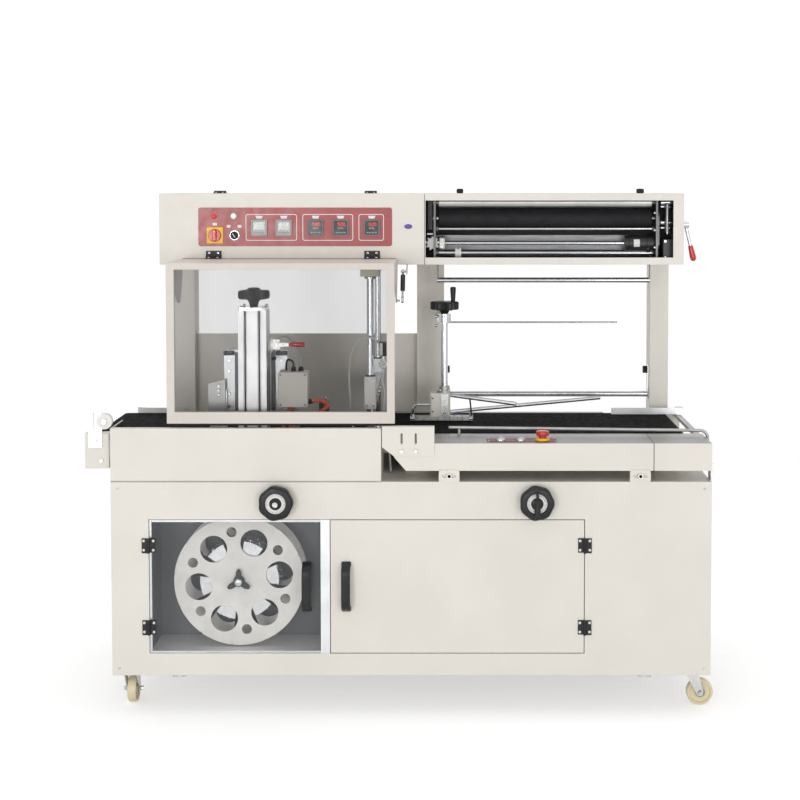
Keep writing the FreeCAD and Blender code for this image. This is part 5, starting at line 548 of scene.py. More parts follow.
def rounded(width: float, height: float, radius: float, steps: int = 6) -> Array:
    """The outline of a rectangle with round corners, centred, anticlockwise.

    Args:
        width: Size along the first axis.
        height: Size along the second axis.
        radius: Corner radius.
        steps: Points in each corner.

    Returns:
        The outline as (n, 2).
    """
    quarter = np.arange(4)[:, None] * math.pi / 2
    angle = (quarter + np.linspace(0, math.pi / 2, steps)[None, :]).ravel()
    sx = np.repeat([1, -1, -1, 1], steps) * (width / 2 - radius)
    sy = np.repeat([1, 1, -1, -1], steps) * (height / 2 - radius)
    return np.stack([sx + radius * np.cos(angle), sy + radius * np.sin(angle)], 1)


def polygon(sides: int, across: float, turn: float = 0.0) -> Array:
    """A regular polygon's outline, measured across its flats."""
    t = np.arange(sides) * 2 * math.pi / sides + math.radians(turn)
    return np.stack([np.cos(t), np.sin(t)], 1) * across / 2 / math.cos(math.pi / sides)


def star(lobes: int, inner: float, outer: float, turn: float, points: int, power: float) -> Array:
    """The outline of a lobed grip.

    Radius = inner + (outer - inner) * ((1 + cos(lobes * t)) / 2) ** power.

    Args:
        lobes: The number of lobes.
        inner: The radius between lobes.
        outer: The radius at a lobe's tip.
        turn: The angle of the first lobe in degrees.
        points: Points in the outline.
        power: Above 1 makes slimmer lobes, below 1 fuller ones.

    Returns:
        The outline as (points, 2).
    """
    t = circle(points)
    r = inner + (outer - inner) * ((1 + np.cos(lobes * t)) / 2) ** power
    a = t + math.radians(turn)
    return np.stack([r * np.cos(a), r * np.sin(a)], 1)


def arc(centre: tuple[float, float], radius: float, start: float, end: float, count: int = 12) -> list:
    """Points on an arc, by angles in degrees from the first coordinate."""
    angles = np.radians(np.linspace(start, end, count))
    return [(centre[0] + radius * math.cos(a), centre[1] + radius * math.sin(a)) for a in angles]


def inset(outline: Array, distance: float) -> Array:
    """The outline moved inwards by a distance, along the mean of its edges' normals."""
    edge = np.roll(outline, -1, 0) - outline
    normal = np.stack([-edge[:, 1], edge[:, 0]], 1)
    normal = normal / np.maximum(np.linalg.norm(normal, axis=1), 1e-9)[:, None]
    both = normal + np.roll(normal, 1, 0)
    length = np.maximum((both * both).sum(1), 0.4)
    return outline + both * (2 * distance / length)[:, None]


def raised(outlines: list, heights: list, origin: Point, across: Array, up: Array,
           closed: bool = False) -> Shape:
    """Outlines stacked along across x up: each ring is origin + across * a + up * b + normal * height.

    Args:
        outlines: (a, b) pairs for each ring.
        heights: The height of each ring.
        origin: Where a, b and height are 0.
        across: The unit direction of a.
        up: The unit direction of b.
        closed: Whether the last ring joins the first.

    Returns:
        The closed surface.
    """
    flat = np.stack(outlines)
    rise = np.array(heights)[:, None, None] * np.cross(across, up)
    return stacked(flat[..., :1] * across + flat[..., 1:] * up + rise + np.array(origin), closed)


def plate(outline: Array, thickness: float, origin: Point, across: Array = X, up: Array = Z,
          edge: float = 0.6) -> Shape:
    """A flat piece with chamfered rims, where both faces' outlines are moved inwards by the chamfer.

    Args:
        outline: (a, b) pairs, anticlockwise.
        thickness: Size along the normal, which is across x up.
        origin: Where a, b and height are 0.
        across: The unit direction of a.
        up: The unit direction of b.
        edge: The chamfer.

    Returns:
        The closed surface.
    """
    edge = min(edge, thickness / 2.01)
    face, girth = inset(outline, edge), inset(outline, 0.0)
    heights = [0.0, edge, thickness - edge, thickness]
    return raised([face, girth, girth, face], heights, origin, across, up)


def rim(outer: Array, inner: Array, thickness: float, origin: Point, edge: float) -> Shape:
    """A flat frame that faces the front, between two outlines with the same number of points.

    Rings run up the outside, over the chamfers and down the inside, and close on themselves.

    Args:
        outer: The outer outline.
        inner: The inner outline.
        thickness: Size towards the front.
        origin: Where the outlines' origin lies on the back face.
        edge: The chamfer.

    Returns:
        The closed surface.
    """
    outlines = [outer, outer, inset(outer, edge), inset(inner, -edge), inner, inner]
    heights = [0.0, thickness - edge, thickness, thickness, thickness - edge, 0.0]
    return raised(outlines, heights, origin, X, Z, True)


def slab(low: Point, high: Point, edge: float = 0.8) -> Shape:
    """A block between two corners, with chamfered edges."""
    a, b = np.array(low, float), np.array(high, float)
    size, centre = b - a, (a + b) / 2
    outline = rounded(size[0], size[1], min(edge, size[0] / 2.1, size[1] / 2.1), 2)
    return plate(outline, float(size[2]), (centre[0], centre[1], a[2]), X, Y, edge)


def swept(path: Array, outline: Array, across: Array) -> Shape:
    """An outline carried along a path that lies square to one axis.

    Each ring is the path point + across * a + (tangent x across) * b.

    Args:
        path: Points along the middle.
        outline: (a, b) pairs.
        across: The unit direction of a, square to the path.

    Returns:
        The closed surface.
    """
    tangent = np.gradient(path, axis=0)
    tangent = tangent / np.linalg.norm(tangent, axis=1)[:, None]
    other = np.cross(tangent, across)
    loops = path[:, None, :] + outline[None, :, :1] * across + outline[None, :, 1:] * other[:, None, :]
    return stacked(loops)


class Segment(Enum):
    """The bars of a seven-segment digit as (x, z, upright), in halves of the digit's height."""

    TOP = (0, 1, False)
    TOP_RIGHT = (0.5, 0.5, True)
    LOW_RIGHT = (0.5, -0.5, True)
    BOTTOM = (0, -1, False)
    LOW_LEFT = (-0.5, -0.5, True)
    TOP_LEFT = (-0.5, 0.5, True)
    MIDDLE = (0, 0, False)


DIGITS = {"0": "TOP TOP_RIGHT LOW_RIGHT BOTTOM LOW_LEFT TOP_LEFT", "1": "TOP_RIGHT LOW_RIGHT",
          "2": "TOP TOP_RIGHT MIDDLE LOW_LEFT BOTTOM", "5": "TOP TOP_LEFT MIDDLE LOW_RIGHT BOTTOM"}


def digits(text: str, place: Point, height: float) -> list[Shape]:
    """Seven-segment figures that face the front.

    Args:
        text: The figures.
        place: The middle of the row.
        height: Their height.

    Returns:
        One thin bar for each lit segment.
    """
    half, shapes = height / 2, []
    outline = np.array([(-0.42, 0), (-0.32, -0.1), (0.32, -0.1), (0.42, 0), (0.32, 0.1), (-0.32, 0.1)]) * half
    pitch = 1.55 * half
    start = place[0] - pitch * (len(text) - 1) / 2
    for number, figure in enumerate(text):
        for name in DIGITS[figure].split():
            x, z, upright = Segment[name].value
            at = (start + number * pitch + x * half, place[1], place[2] + z * half)
            across, up = (Z, -X) if upright else (X, Z)
            shapes.append(plate(outline, 0.25, at, across, up, 0.05))
    return shapes


class Head(Enum):
    """The kinds of screw head on the machine."""

    HEX = "hex"
    PAN = "pan"
    SOCKET = "socket"


def screw(place: Point, axis: Array, diameter: float, head: Head) -> list[Shape]:
    """A screw head that stands on a face.

    Args:
        place: The middle of the head's seat.
        axis: The unit direction that the head faces.
        diameter: The head's diameter, or the width across flats.
        head: The kind of head.

    Returns:
        The head's shapes.
    """
    r = diameter / 2
    if head is Head.HEX:
        washer = lathe([(0, 0), (1.25 * r, 0), (1.25 * r, 0.2 * r), (0, 0.2 * r)], place, axis, 24)
        start = np.array(place) + 0.2 * r * axis
        return [washer, plate(polygon(6, diameter, 15.0), 0.8 * r, start, *frame_of(axis), 0.12 * r)]
    if head is Head.SOCKET:
        profile = [(0, 0), (r, 0), (r, 1.1 * r), (0.88 * r, 1.3 * r), (0.55 * r, 1.3 * r),
                   (0.5 * r, 0.7 * r), (0, 0.7 * r)]
        return [lathe(profile, place, axis, 24)]
    bend = [0.5 * math.pi * s * 0.8 for s in np.linspace(0, 1, 5)]
    dome = [(r * math.cos(a), 0.15 * r + 0.5 * r * math.sin(a)) for a in bend]
    profile = [(0, 0), (r, 0), *dome, (0.26 * r, 0.6 * r), (0.2 * r, 0.3 * r), (0, 0.3 * r)]
    return [lathe(profile, place, axis, 20)]


# Pieces


def finished(mesh: bpy.types.Mesh, outward: bool, unwanted: Array | None = None) -> None:
    """Merges doubles and smooths between gentle faces that share an edge alone.

    Args:
        mesh: The mesh.
        outward: Whether the faces are turned outwards; a CAD node's faces are so already.
        unwanted: A mark for each face that is taken out first, or None.
    """
    work = bmesh.new()
    work.from_mesh(mesh)
    if unwanted is not None:
        work.faces.ensure_lookup_table()
        bmesh.ops.delete(work, geom=[work.faces[i] for i in np.flatnonzero(unwanted)], context="FACES")
    bmesh.ops.remove_doubles(work, verts=work.verts, dist=WELD)
    bmesh.ops.dissolve_degenerate(work, edges=work.edges, dist=WELD / 2)
    if outward:
        bmesh.ops.recalc_face_normals(work, faces=work.faces)
    for face in work.faces:
        face.smooth = True
    for edge in work.edges:
        pair = edge.link_faces
        edge.smooth = len(pair) == 2 and pair[0].normal.angle(pair[1].normal, 0.0) < SMOOTH_ANGLE
    work.to_mesh(mesh)
    work.free()
    mesh.update()


def placed(mesh: bpy.types.Mesh, name: str, body: str, nodes: tuple) -> None:
    """Links a mesh as a piece on its body.

    Args:
        mesh: The finished mesh.
        name: The piece's name.
        body: The CAD body.
        nodes: CAD nodes that it stands for.
    """
    item = bpy.data.objects.new(name, mesh)
    bpy.context.scene.collection.objects.link(item)
    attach(item, body)
    if nodes:
        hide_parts(*nodes)
    log.info("%s: %d faces on %s", name, len(mesh.polygons), body)


class Piece:
    """One visible piece: shapes with their finishes, on one body."""

    def __init__(self, name: str, body: str, slot: str, *nodes: str) -> None:
        """Starts an empty piece.

        Args:
            name: The piece's name.
            body: The CAD body that it rides on.
            slot: The record's material slot, which is not used.
            *nodes: CAD nodes that it stands for.
        """
        self.name, self.body, self.slot, self.nodes = name, body, slot, nodes
        self.points: list[Array] = []
        self.faces: list[tuple] = []
        self.marks: list[int] = []
        self.finishes: list[Finish] = []

    def add(self, finish: Finish, *shapes: Shape) -> None:
        """Adds shapes of one finish."""
        if finish not in self.finishes:
            self.finishes.append(finish)
        mark = self.finishes.index(finish)
        for shape in shapes:
            start = sum(len(p) for p in self.points)
            self.points.append(shape.points)
            self.faces.extend(tuple(start + i for i in face) for face in shape.faces)
            self.marks.extend([mark] * len(shape.faces))

    def screws(self, finish: Finish, places: Iterable, axis: Array, diameter: float,
               head: Head = Head.SOCKET) -> None:
        """Adds screw heads of one kind.

        Args:
            finish: Their finish.
            places: The middles of their seats.
            axis: The unit direction that they face.
            diameter: Their diameter.
            head: The kind of head.
        """
        for place in places:
            self.add(finish, *screw(place, axis, diameter, head))

    def build(self) -> None:
        """Makes the mesh, dresses it and puts it on its body."""
        points = (np.concatenate(self.points) - ROW_ORIGIN) * MILLIMETRE
        mesh = bpy.data.meshes.new(self.name)
        mesh.from_pydata(points.tolist(), [], self.faces)
        mesh.polygons.foreach_set("material_index", np.array(self.marks, np.int32))
        for finish in self.finishes:
            mesh.materials.append(finish.material())
        finished(mesh, True)
        placed(mesh, self.name, self.body, self.nodes)


def read_back(items: bpy.types.bpy_prop_collection, key: str) -> Array:
    """Reads a vector of each item of a mesh, in machine millimetres."""
    values = np.zeros(3 * len(items))
    items.foreach_get(key, values)
    return values.reshape(-1, 3) / MILLIMETRE + ROW_ORIGIN


@dataclass(frozen=True)
class Region:
    """A box in which faces take another finish, or are left out."""

    low: Point
    high: Point
    finish: Finish | None = None

    def holds(self, points: Array) -> Array:
        """Which points lie in the box."""
        return ((points >= np.array(self.low)) & (points <= np.array(self.high))).all(1)


def skin(node: str, finish: Finish, *regions: Region, away: Region | None = None) -> None:
    """A welded copy of a CAD node's surface, with its finishes, that stands for the node.

    Args:
        node: The CAD node.
        finish: The finish of the whole.
        *regions: Boxes with other finishes; the last one that holds a face's middle counts.
        away: A box whose faces are left out, because other shapes stand there.
    """
    mesh = frame["nodes"][node].data.copy()
    mesh.materials.clear()
    mesh.materials.append(finish.material())
    middles = read_back(mesh.polygons, "center")
    marks = np.zeros(len(middles), np.int32)
    for number, region in enumerate(regions, 1):
        mesh.materials.append(region.finish.material())
        marks[region.holds(middles)] = number
    mesh.polygons.foreach_set("material_index", marks)
    finished(mesh, False, away.holds(middles) if away else None)
    placed(mesh, node + "_skin", frame["nodes"][node]["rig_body"], (node,))


# Sub-assemblies


@dataclass(frozen=True)
class Stage:
    """The pale floor and backdrop, the soft lamps and the camera, in metres but for the camera's place."""

    reach: float = 14.0
    sweep: float = 1.6
    depth: float = 3.4
    height: float = 7.0
    paper_glow: float = 0.46
    sky: float = 0.61
    camera: Point = (106.2, -3961.2, 1478.4)
    tilt: float = 2.55
    lens: float = 64.344
    shift: tuple = (-0.0615, -0.1856)

    def backdrop(self) -> None:
        """A floor that curves up into a wall: a line, a quarter circle and a line, carried along X."""
        t = np.linspace(0, math.pi / 2, 24)
        y = np.concatenate([[-self.reach], self.depth + self.sweep * np.sin(t), [self.depth + self.sweep]])
        z = np.concatenate([[0.0], self.sweep * (1 - np.cos(t)), [self.height]])
        rows = np.stack([np.stack([np.full_like(y, side), y, z], 1) for side in (-self.reach, self.reach)])
        i = np.arange(len(y) - 1)
        faces = np.stack([i, i + len(y), i + len(y) + 1, i + 1], 1)
        mesh = bpy.data.meshes.new("floor_and_wall")
        mesh.from_pydata(rows.reshape(-1, 3).tolist(), [], faces.tolist())
        mesh.materials.append(self.paper())
        mesh.polygons.foreach_set("use_smooth", np.ones(len(mesh.polygons), bool))
        floor = bpy.data.objects.new("floor_and_wall", mesh)
        bpy.context.scene.collection.objects.link(floor)

    def paper(self) -> bpy.types.Material:
        """White seamless paper, lifted to white where the camera sees it, with its shadows kept."""
        tree = Tree("seamless_paper", Emission_Color=(1.0, 1.0, 1.0, 1.0))
        tree.mottle(0.7, 2.0, (0.80, 0.80, 0.80), 0.9875)
        tree.roughen(tree.noise(3.0, 2.0), 0.85, 0.95)
        glow = tree.node("Math", {0: tree.seen(), 1: self.paper_glow}, operation="MULTIPLY")
        tree.feed(tree.shader, {"Emission Strength": glow})
        return tree.material

    def world(self) -> None:
        """A pale even sky, white where the camera or a mirror sees it."""
        world = bpy.data.worlds.new("studio")
        bpy.context.scene.world = world
        net = Net(world)
        level = net.node("MapRange", {"Value": net.seen(), "To Min": self.sky, "To Max": 1.0})
        net.feed(net.nodes["Background"], {"Strength": level, "Color": (1.0, 1.0, 1.0, 1.0)})

    def lamp(self, name: str, place: Point, aim: Point, size: float, power: float) -> None:
        """A square soft lamp.

        Args:
            name: The lamp's name.
            place: Its place in metres.
            aim: The point that it faces.
            size: Its side in metres.
            power: Its power in watts.
        """
        data = bpy.data.lights.new(name, "AREA")
        data.size = size
        data.energy = power
        lamp = bpy.data.objects.new(name, data)
        lamp.location = place
        direction = np.array(aim) - np.array(place)
        lamp.rotation_euler = Vector(direction).to_track_quat("-Z", "Y").to_euler()
        bpy.context.scene.collection.objects.link(lamp)

    def view(self) -> None:
        """The camera at the photograph's viewing angle."""
        data = bpy.data.cameras.new("camera")
        data.sensor_width = 36.0
        data.lens = self.lens
        data.shift_x, data.shift_y = self.shift
        data.clip_end = 100.0
        camera = bpy.data.objects.new("camera", data)
        camera.location = (np.array(self.camera) - ROW_ORIGIN) * MILLIMETRE
        camera.rotation_euler = (math.radians(90.0 - self.tilt), 0.0, 0.0)
        bpy.context.scene.collection.objects.link(camera)
        bpy.context.scene.camera = camera

    def build(self) -> None:
        """Sets the whole stage."""
        self.backdrop()
        self.world()
        self.lamp("front_left", (-2.4, -8.0, 1.0), (0.0, 0.2, 0.8), 2.6, 167.0)
        self.lamp("front_right", (2.6, -8.0, 0.95), (0.0, 0.2, 0.8), 2.4, 108.0)
        self.lamp("overhead", (0.0, 0.2, 4.0), (0.0, 0.1, 0.7), 3.0, 26.0)
        self.view()
        bpy.context.scene.view_settings.view_transform = "Standard"


@dataclass(frozen=True)
class ControlPanel:
    """The burgundy panel with its five instruments, two lamps, labels and the two switches."""

    back: float = 270
    front: float = 268
    left: float = -636
    bottom: float = 1306
    width: float = 573
    height: float = 114
    instrument_x: tuple = (-456, -383, -289, -215, -123)
    instrument_z: float = 1360.6
    size: float = 48
    proud: float = 7
    groups: tuple = ((-496, -344), (-328, -178), (-162, -87))
    group_z: tuple = (1322, 1401)
    lamp_z: float = 1395
    main_x: float = -587
    selector_x: float = -529
    switch_z: float = 1338
    selector_turn: float = 35

    def build(self) -> None:
        """Builds the panel, the switches and the violet cap beside them."""
        piece = Piece("control_panel_face", "machine", "panel_red", "control_panel")
        middle = (self.left + self.width / 2, self.back, self.bottom + self.height / 2)
        piece.add(BURGUNDY, plate(rounded(self.width, self.height, 7), self.back - self.front, middle))
        for low, high in self.groups:
            self.outline(piece, low, high)
        for number, x in enumerate(self.instrument_x):
            self.instrument(piece, x, number > 1)
        self.lamp(piece, -589, RED_LENS)
        self.lamp(piece, -531, WHITE_LENS)
        for x, z, width in ((-587.3, 1371, 13), (-546.5, 1364.5, 11), (-513.9, 1364.5, 11)):
            piece.add(WHITE_LINE, plate(rounded(width, 8, 1, 3), 0.4, (x, self.front, z), edge=0.1))
        square = rounded(self.size, self.size, 3)
        piece.add(YELLOW, plate(square, 3, (self.main_x, self.front, self.switch_z)))
        ring = [(0, 0), (15, 0), (15, 1.6), (13.6, 3), (0, 3)]
        piece.add(CHROME, lathe(ring, (self.selector_x, self.front, self.switch_z), -Y))
        piece.build()
        self.main_switch()
        self.selector()
        cap = Piece("violet_cap", "machine", "black_plastic")
        cap.add(PURPLE, plate(polygon(40, 24) * np.array([1, 0.6]), 1.6, (-15, 270, 1364), edge=0.7))
        cap.build()

    def outline(self, piece: Piece, low: float, high: float) -> None:
        """Adds a thin white rounded frame round a group of instruments."""
        width, height = high - low, self.group_z[1] - self.group_z[0]
        middle = ((low + high) / 2, self.front, sum(self.group_z) / 2)
        outer, inner = rounded(width, height, 7), rounded(width - 4.4, height - 4.4, 5)
        piece.add(WHITE_LINE, rim(outer, inner, 0.4, middle, 0.1))

    def instrument(self, piece: Piece, x: float, lit: bool) -> None:
        """Adds a 48 mm instrument with its bezel, window, figures, keys and label.

        Args:
            piece: The panel's piece.
            x: Its middle.
            lit: Whether it has red figures on a dark face.
        """
        y, z, face = self.front, self.instrument_z, self.front - 2.9
        outer, inner = rounded(self.size, self.size, 3), rounded(40, 41, 1.5)
        piece.add(DARK_BEZEL if lit else LIGHT_BEZEL, rim(outer, inner, self.proud, (x, y, z), 0.9))
        piece.add(BLACK, slab((x - 22.5, y + 2, z - 22.5), (x + 22.5, 328, z + 22.5)))
        back = plate(rounded(40.4, 41.4, 1.5), 3.4, (x, y + 0.5, z), edge=0.2)
        piece.add(SMOKED if lit else LIGHT_FACE, back)
        if lit:
            piece.add(RED_DIGITS, *digits("1500", (x, face - 0.2, z + 10), 9))
            piece.add(SMOKED, plate(rounded(33, 9, 1), 0.5, (x, face, z - 1.5), edge=0.1))
            piece.add(PALE_DIGITS, *digits("0250", (x, face - 0.7, z - 1.5), 5))
        else:
            piece.add(GLASS_FACE, plate(rounded(35, 24, 1.5), 0.6, (x, face, z + 5.5), edge=0.2))
            piece.add(PALE_DIGITS, *digits("0150", (x, face - 0.8, z + 8), 8))
        for share in (-12, -4, 4, 12):
            piece.add(GREY, plate(rounded(6.4, 4.2, 1.2, 4), 1.2, (x + share, face, z - 14.5), edge=0.4))
        label = np.array([(-11, 4), (-8, -4.5), (8, -4.5), (11, 4)])
        piece.add(WHITE_LINE, plate(label, 0.4, (x, y, 1392), edge=0.1))

    def lamp(self, piece: Piece, x: float, lens: Finish) -> None:
        """Adds a 22 mm pilot lamp with its bezel and domed lens."""
        place = (x, self.front, self.lamp_z)
        bezel = [(0, 0), (11, 0), (11, 2.4), (10, 3.4), (8.4, 3.4), (8.4, 1), (0, 1)]
        piece.add(GREY, lathe(bezel, place, -Y))
        t = np.linspace(0, math.pi / 2, 7)
        dome = [(8.2 * math.cos(a), 7 + 4.6 * math.sin(a)) for a in t[:-1]]
        piece.add(lens, lathe([(0, 0.8), (8.2, 0.8), *dome, (0, 11.6)], place, -Y))

    def main_switch(self) -> None:
        """The red rotary handle on its yellow plate."""
        piece = Piece("main_switch_handle", "main_knob", "red_plastic", "main_switch")
        x, y, z = self.main_x, self.front - 3, self.switch_z
        piece.add(RED, lathe([(0, 0), (18.6, 0), (18.8, 4), (17, 7), (0, 7)], (x, y - 0.3, z), -Y, 64),
                  plate(star(2, 5.6, 17.6, 90, 80, 2.2), 9, (x, y - 6.8, z), edge=1.6))
        piece.add(WHITE, plate(polygon(16, 3.4), 0.5, (x, y - 15.8, z + 12.6), edge=0.1))
        piece.add(BLACK, lathe([(0, 0), (3.4, 0), (3.4, 15), (0, 15)], (x, y + 1, z), Y, 16))
        piece.build()

    def selector(self) -> None:
        """The black two-way selector with its white pointer."""
        piece = Piece("selector_handle", "selector_knob", "black_plastic", "selector_switch")
        x, y, z = self.selector_x, self.front - 3.3, self.switch_z
        piece.add(BLACK, lathe([(0, 0), (12, 0), (12.4, 1.5), (11.4, 5), (0, 5)], (x, y, z), -Y),
                  plate(star(2, 4.2, 11.6, 90 + self.selector_turn, 60, 1.6), 9, (x, y - 4.8, z), edge=1.2))
        line = plate(rounded(1.8, 14, 0.8, 3), 0.4, (x, y - 13.8, z), edge=0.1)
        piece.add(WHITE, line.turned((x, 0, z), Y, -self.selector_turn))
        piece.add(BLACK, lathe([(0, 0), (3.4, 0), (3.4, 14), (0, 14)], (x, self.front - 2, z), Y, 16))
        piece.build()


@dataclass(frozen=True)
class Handwheel:
    """A lobed black handwheel with a white scale ring and its screw."""

    name: str
    body: str
    node: str
    x: float
    screw: bool = True
    z: float = 604
    back: float = -14
    radius: float = 49
    lobes: int = 7
    marks: int = 40

    def build(self) -> None:
        """Builds the wheel on its shaft.

        Rim rings: r(t) = R * share * (1 - 0.05 * fade * (1 - cos 7t) / 2), where share draws the rim in
        towards both faces and fade makes it round there.
        """
        piece = Piece(self.name, self.body, "black_plastic", self.node)
        t = circle(168)
        lobe = 1 - 0.05 * (1 - np.cos(self.lobes * t)) / 2
        heights = np.array([0, 1.5, 6, 15, 24, 28.5, 30, 30, 27, 24])[:, None]
        shares = np.array([0.80, 0.90, 0.985, 1, 0.985, 0.93, 0.86, 0.62, 0.58, 0.57]) * self.radius
        fade = np.array([0.4, 0.8, 1, 1, 1, 0.9, 0.7, 0, 0, 0])[:, None]
        r = shares[:, None] * (1 + (lobe - 1)[None, :] * fade)
        rings = np.broadcast_arrays(self.x + r * np.cos(t), self.back - heights, self.z + r * np.sin(t))
        piece.add(BLACK, stacked(np.stack(rings, -1)))
        centre, foot = (self.x, self.back - 24, self.z), (self.x, self.back, self.z)
        scale = [(17, 0), (28.2, 0), (28.2, 2), (27.2, 3), (18, 3), (17, 2.2)]
        piece.add(WHITE, lathe(scale, centre, -Y, 72, True))
        mark = slab((-0.35, -3.2, 21), (0.35, -2.9, 27), 0.05).moved(centre)
        piece.add(BLACK, *[mark.turned(centre, Y, 360 / self.marks * i) for i in range(self.marks)],
                  lathe([(0, 0), (16.6, 0), (16.6, 3), (14, 5), (0, 5)], centre, -Y, 40))
        if self.screw:
            piece.screws(CHROME, [(self.x, self.back - 29, self.z)], -Y, 16)
        piece.add(BLACK, lathe([(0, -4), (17, -4), (17, 1), (11, 4), (0, 4)], foot, Y, 40))
        piece.add(TURNED, lathe([(0, -2), (6, -2), (6, 30.5), (0, 30.5)], foot, Y, 24))
        piece.build()


@dataclass(frozen=True)
class ScrapWinder:
    """The pierced scrap reel, the crinkled film on it and its three-armed nut."""

    x: float = -491
    z: float = 362
    front: float = 60
    width: float = 90
    radius: float = 185
    sheet: float = 4
    bore: float = 8
    sectors: int = 12
    first: float = 8.5
    holes: tuple = ((116, 38.5), (141, 14.3))
    far: float = 1e9
    film_radius: float = 112
    waves: int = 40

    def flange(self, y: float) -> list[Shape]:
        """A white disc with six round windows and six small holes, one in each of its sectors."""
        step = 360 / self.sectors
        middles = [math.radians(self.first + step * number) for number in range(self.sectors)]
        return [self.sector(y, middle, math.radians(step / 2), *self.holes[number % 2])
                for number, middle in enumerate(middles)]

    def sector(self, y: float, middle: float, half: float, reach: float, hole: float) -> Shape:
        """One sector of the disc, pierced by one hole: a fan of lines from the hole's rim.

        Each line ends where it first meets a straight side of the sector, the outer edge or the bore.

        Args:
            y: The front face.
            middle: The direction of the sector's middle in radians.
            half: Half the sector's angle.
            reach: How far the hole is from the reel's middle.
            hole: The hole's radius.

        Returns:
            The closed sector.
        """
        a = circle(96)
        direction = np.stack([np.cos(a), np.sin(a)], 1)
        centre = reach * np.array([math.cos(middle), math.sin(middle)])
        inside = np.full(len(a), self.far)
        for sign in (-1, 1):
            side = middle + sign * half
            normal = sign * np.array([-math.sin(side), math.cos(side)])
            gap, slope = -(centre @ normal), direction @ normal
            inside = np.where(slope > 1e-6, np.minimum(inside, gap / np.maximum(slope, 1e-6)), inside)
        along = direction @ centre
        inside = np.minimum(inside, -along + np.sqrt(along**2 + self.radius**2 - reach**2))
        root = along**2 + self.bore**2 - reach**2
        near = np.where((root > 0) & (along < 0), -along - np.sqrt(np.maximum(root, 0)), self.far)
        border = centre + direction * np.minimum(inside, near)[:, None]
        edge = centre + direction * hole
        flat = np.stack([edge, edge, border, border])
        depth = np.array([self.sheet, 0, 0, self.sheet])[:, None]
        loops = np.broadcast_arrays(self.x + flat[..., 0], y + depth, self.z + flat[..., 1])
        return stacked(np.stack(loops, -1), True)

    def film(self) -> Shape:
        """The wound crinkled film: a cylinder whose radius ripples along and round.

        Radius = R + 1.3 * (sum of a_k * |sin(k_u * u + k_v * v + phase)| - mean), with waves drawn once
        and faded out at both ends.
        """
        u = circle(300)[None, :]
        v = np.linspace(0, 1, 48)[:, None]
        draw = np.random.default_rng(7)
        ripple = np.zeros((v.size, u.size))
        for _ in range(self.waves):
            k_u = draw.integers(3, 60)
            k_v = draw.uniform(-30, 30)
            ripple += 14 / (4 + k_u**0.8) * np.abs(np.sin(k_u * u + k_v * v + draw.uniform(0, 6.3)))
        ends = np.clip(np.minimum(v, 1 - v) * 12, 0, 1)
        r = self.film_radius + (ripple - ripple.mean()) * 1.3 * ends
        y = self.front + self.sheet + 2 + (self.width - 2 * self.sheet - 4) * v
        return stacked(np.stack(np.broadcast_arrays(self.x + r * np.cos(u), y, self.z + r * np.sin(u)), -1))

    def build(self) -> None:
        """Builds the reel with its film, and the nut."""
        piece = Piece("scrap_reel_wound", "reel", "reel_white", "scrap_reel")
        piece.add(REEL_WHITE, *self.flange(self.front), *self.flange(self.front + self.width - self.sheet))
        end = 2 * self.sheet - self.width
        drum = [(8.3, 0), (30, 0), (30, end), (8.3, end)]
        piece.add(REEL_WHITE, lathe(drum, (self.x, self.front + self.sheet, self.z), -Y, 72, True))
        piece.add(CRINKLED, self.film())
        piece.build()
        nut = Piece("reel_nut_grip", "reel_nut", "black_plastic", "reel_knob")
        hub = [(0, 0), (16, 0), (16, 3), (13, 4), (13, 17), (0, 17)]
        nut.add(BLACK, plate(star(3, 10, 36, 90, 150, 2.6), 14, (self.x, self.front - 4, self.z), edge=2.4),
                lathe(hub, (self.x, self.front - 0.3, self.z), -Y, 40))
        cap = [(0, 0), (11, 0), (11, 3), (9.5, 5), (6, 6.4), (0, 7)]
        nut.add(CHROME, lathe(cap, (self.x, self.front - 17, self.z), -Y, 40))
        nut.build()


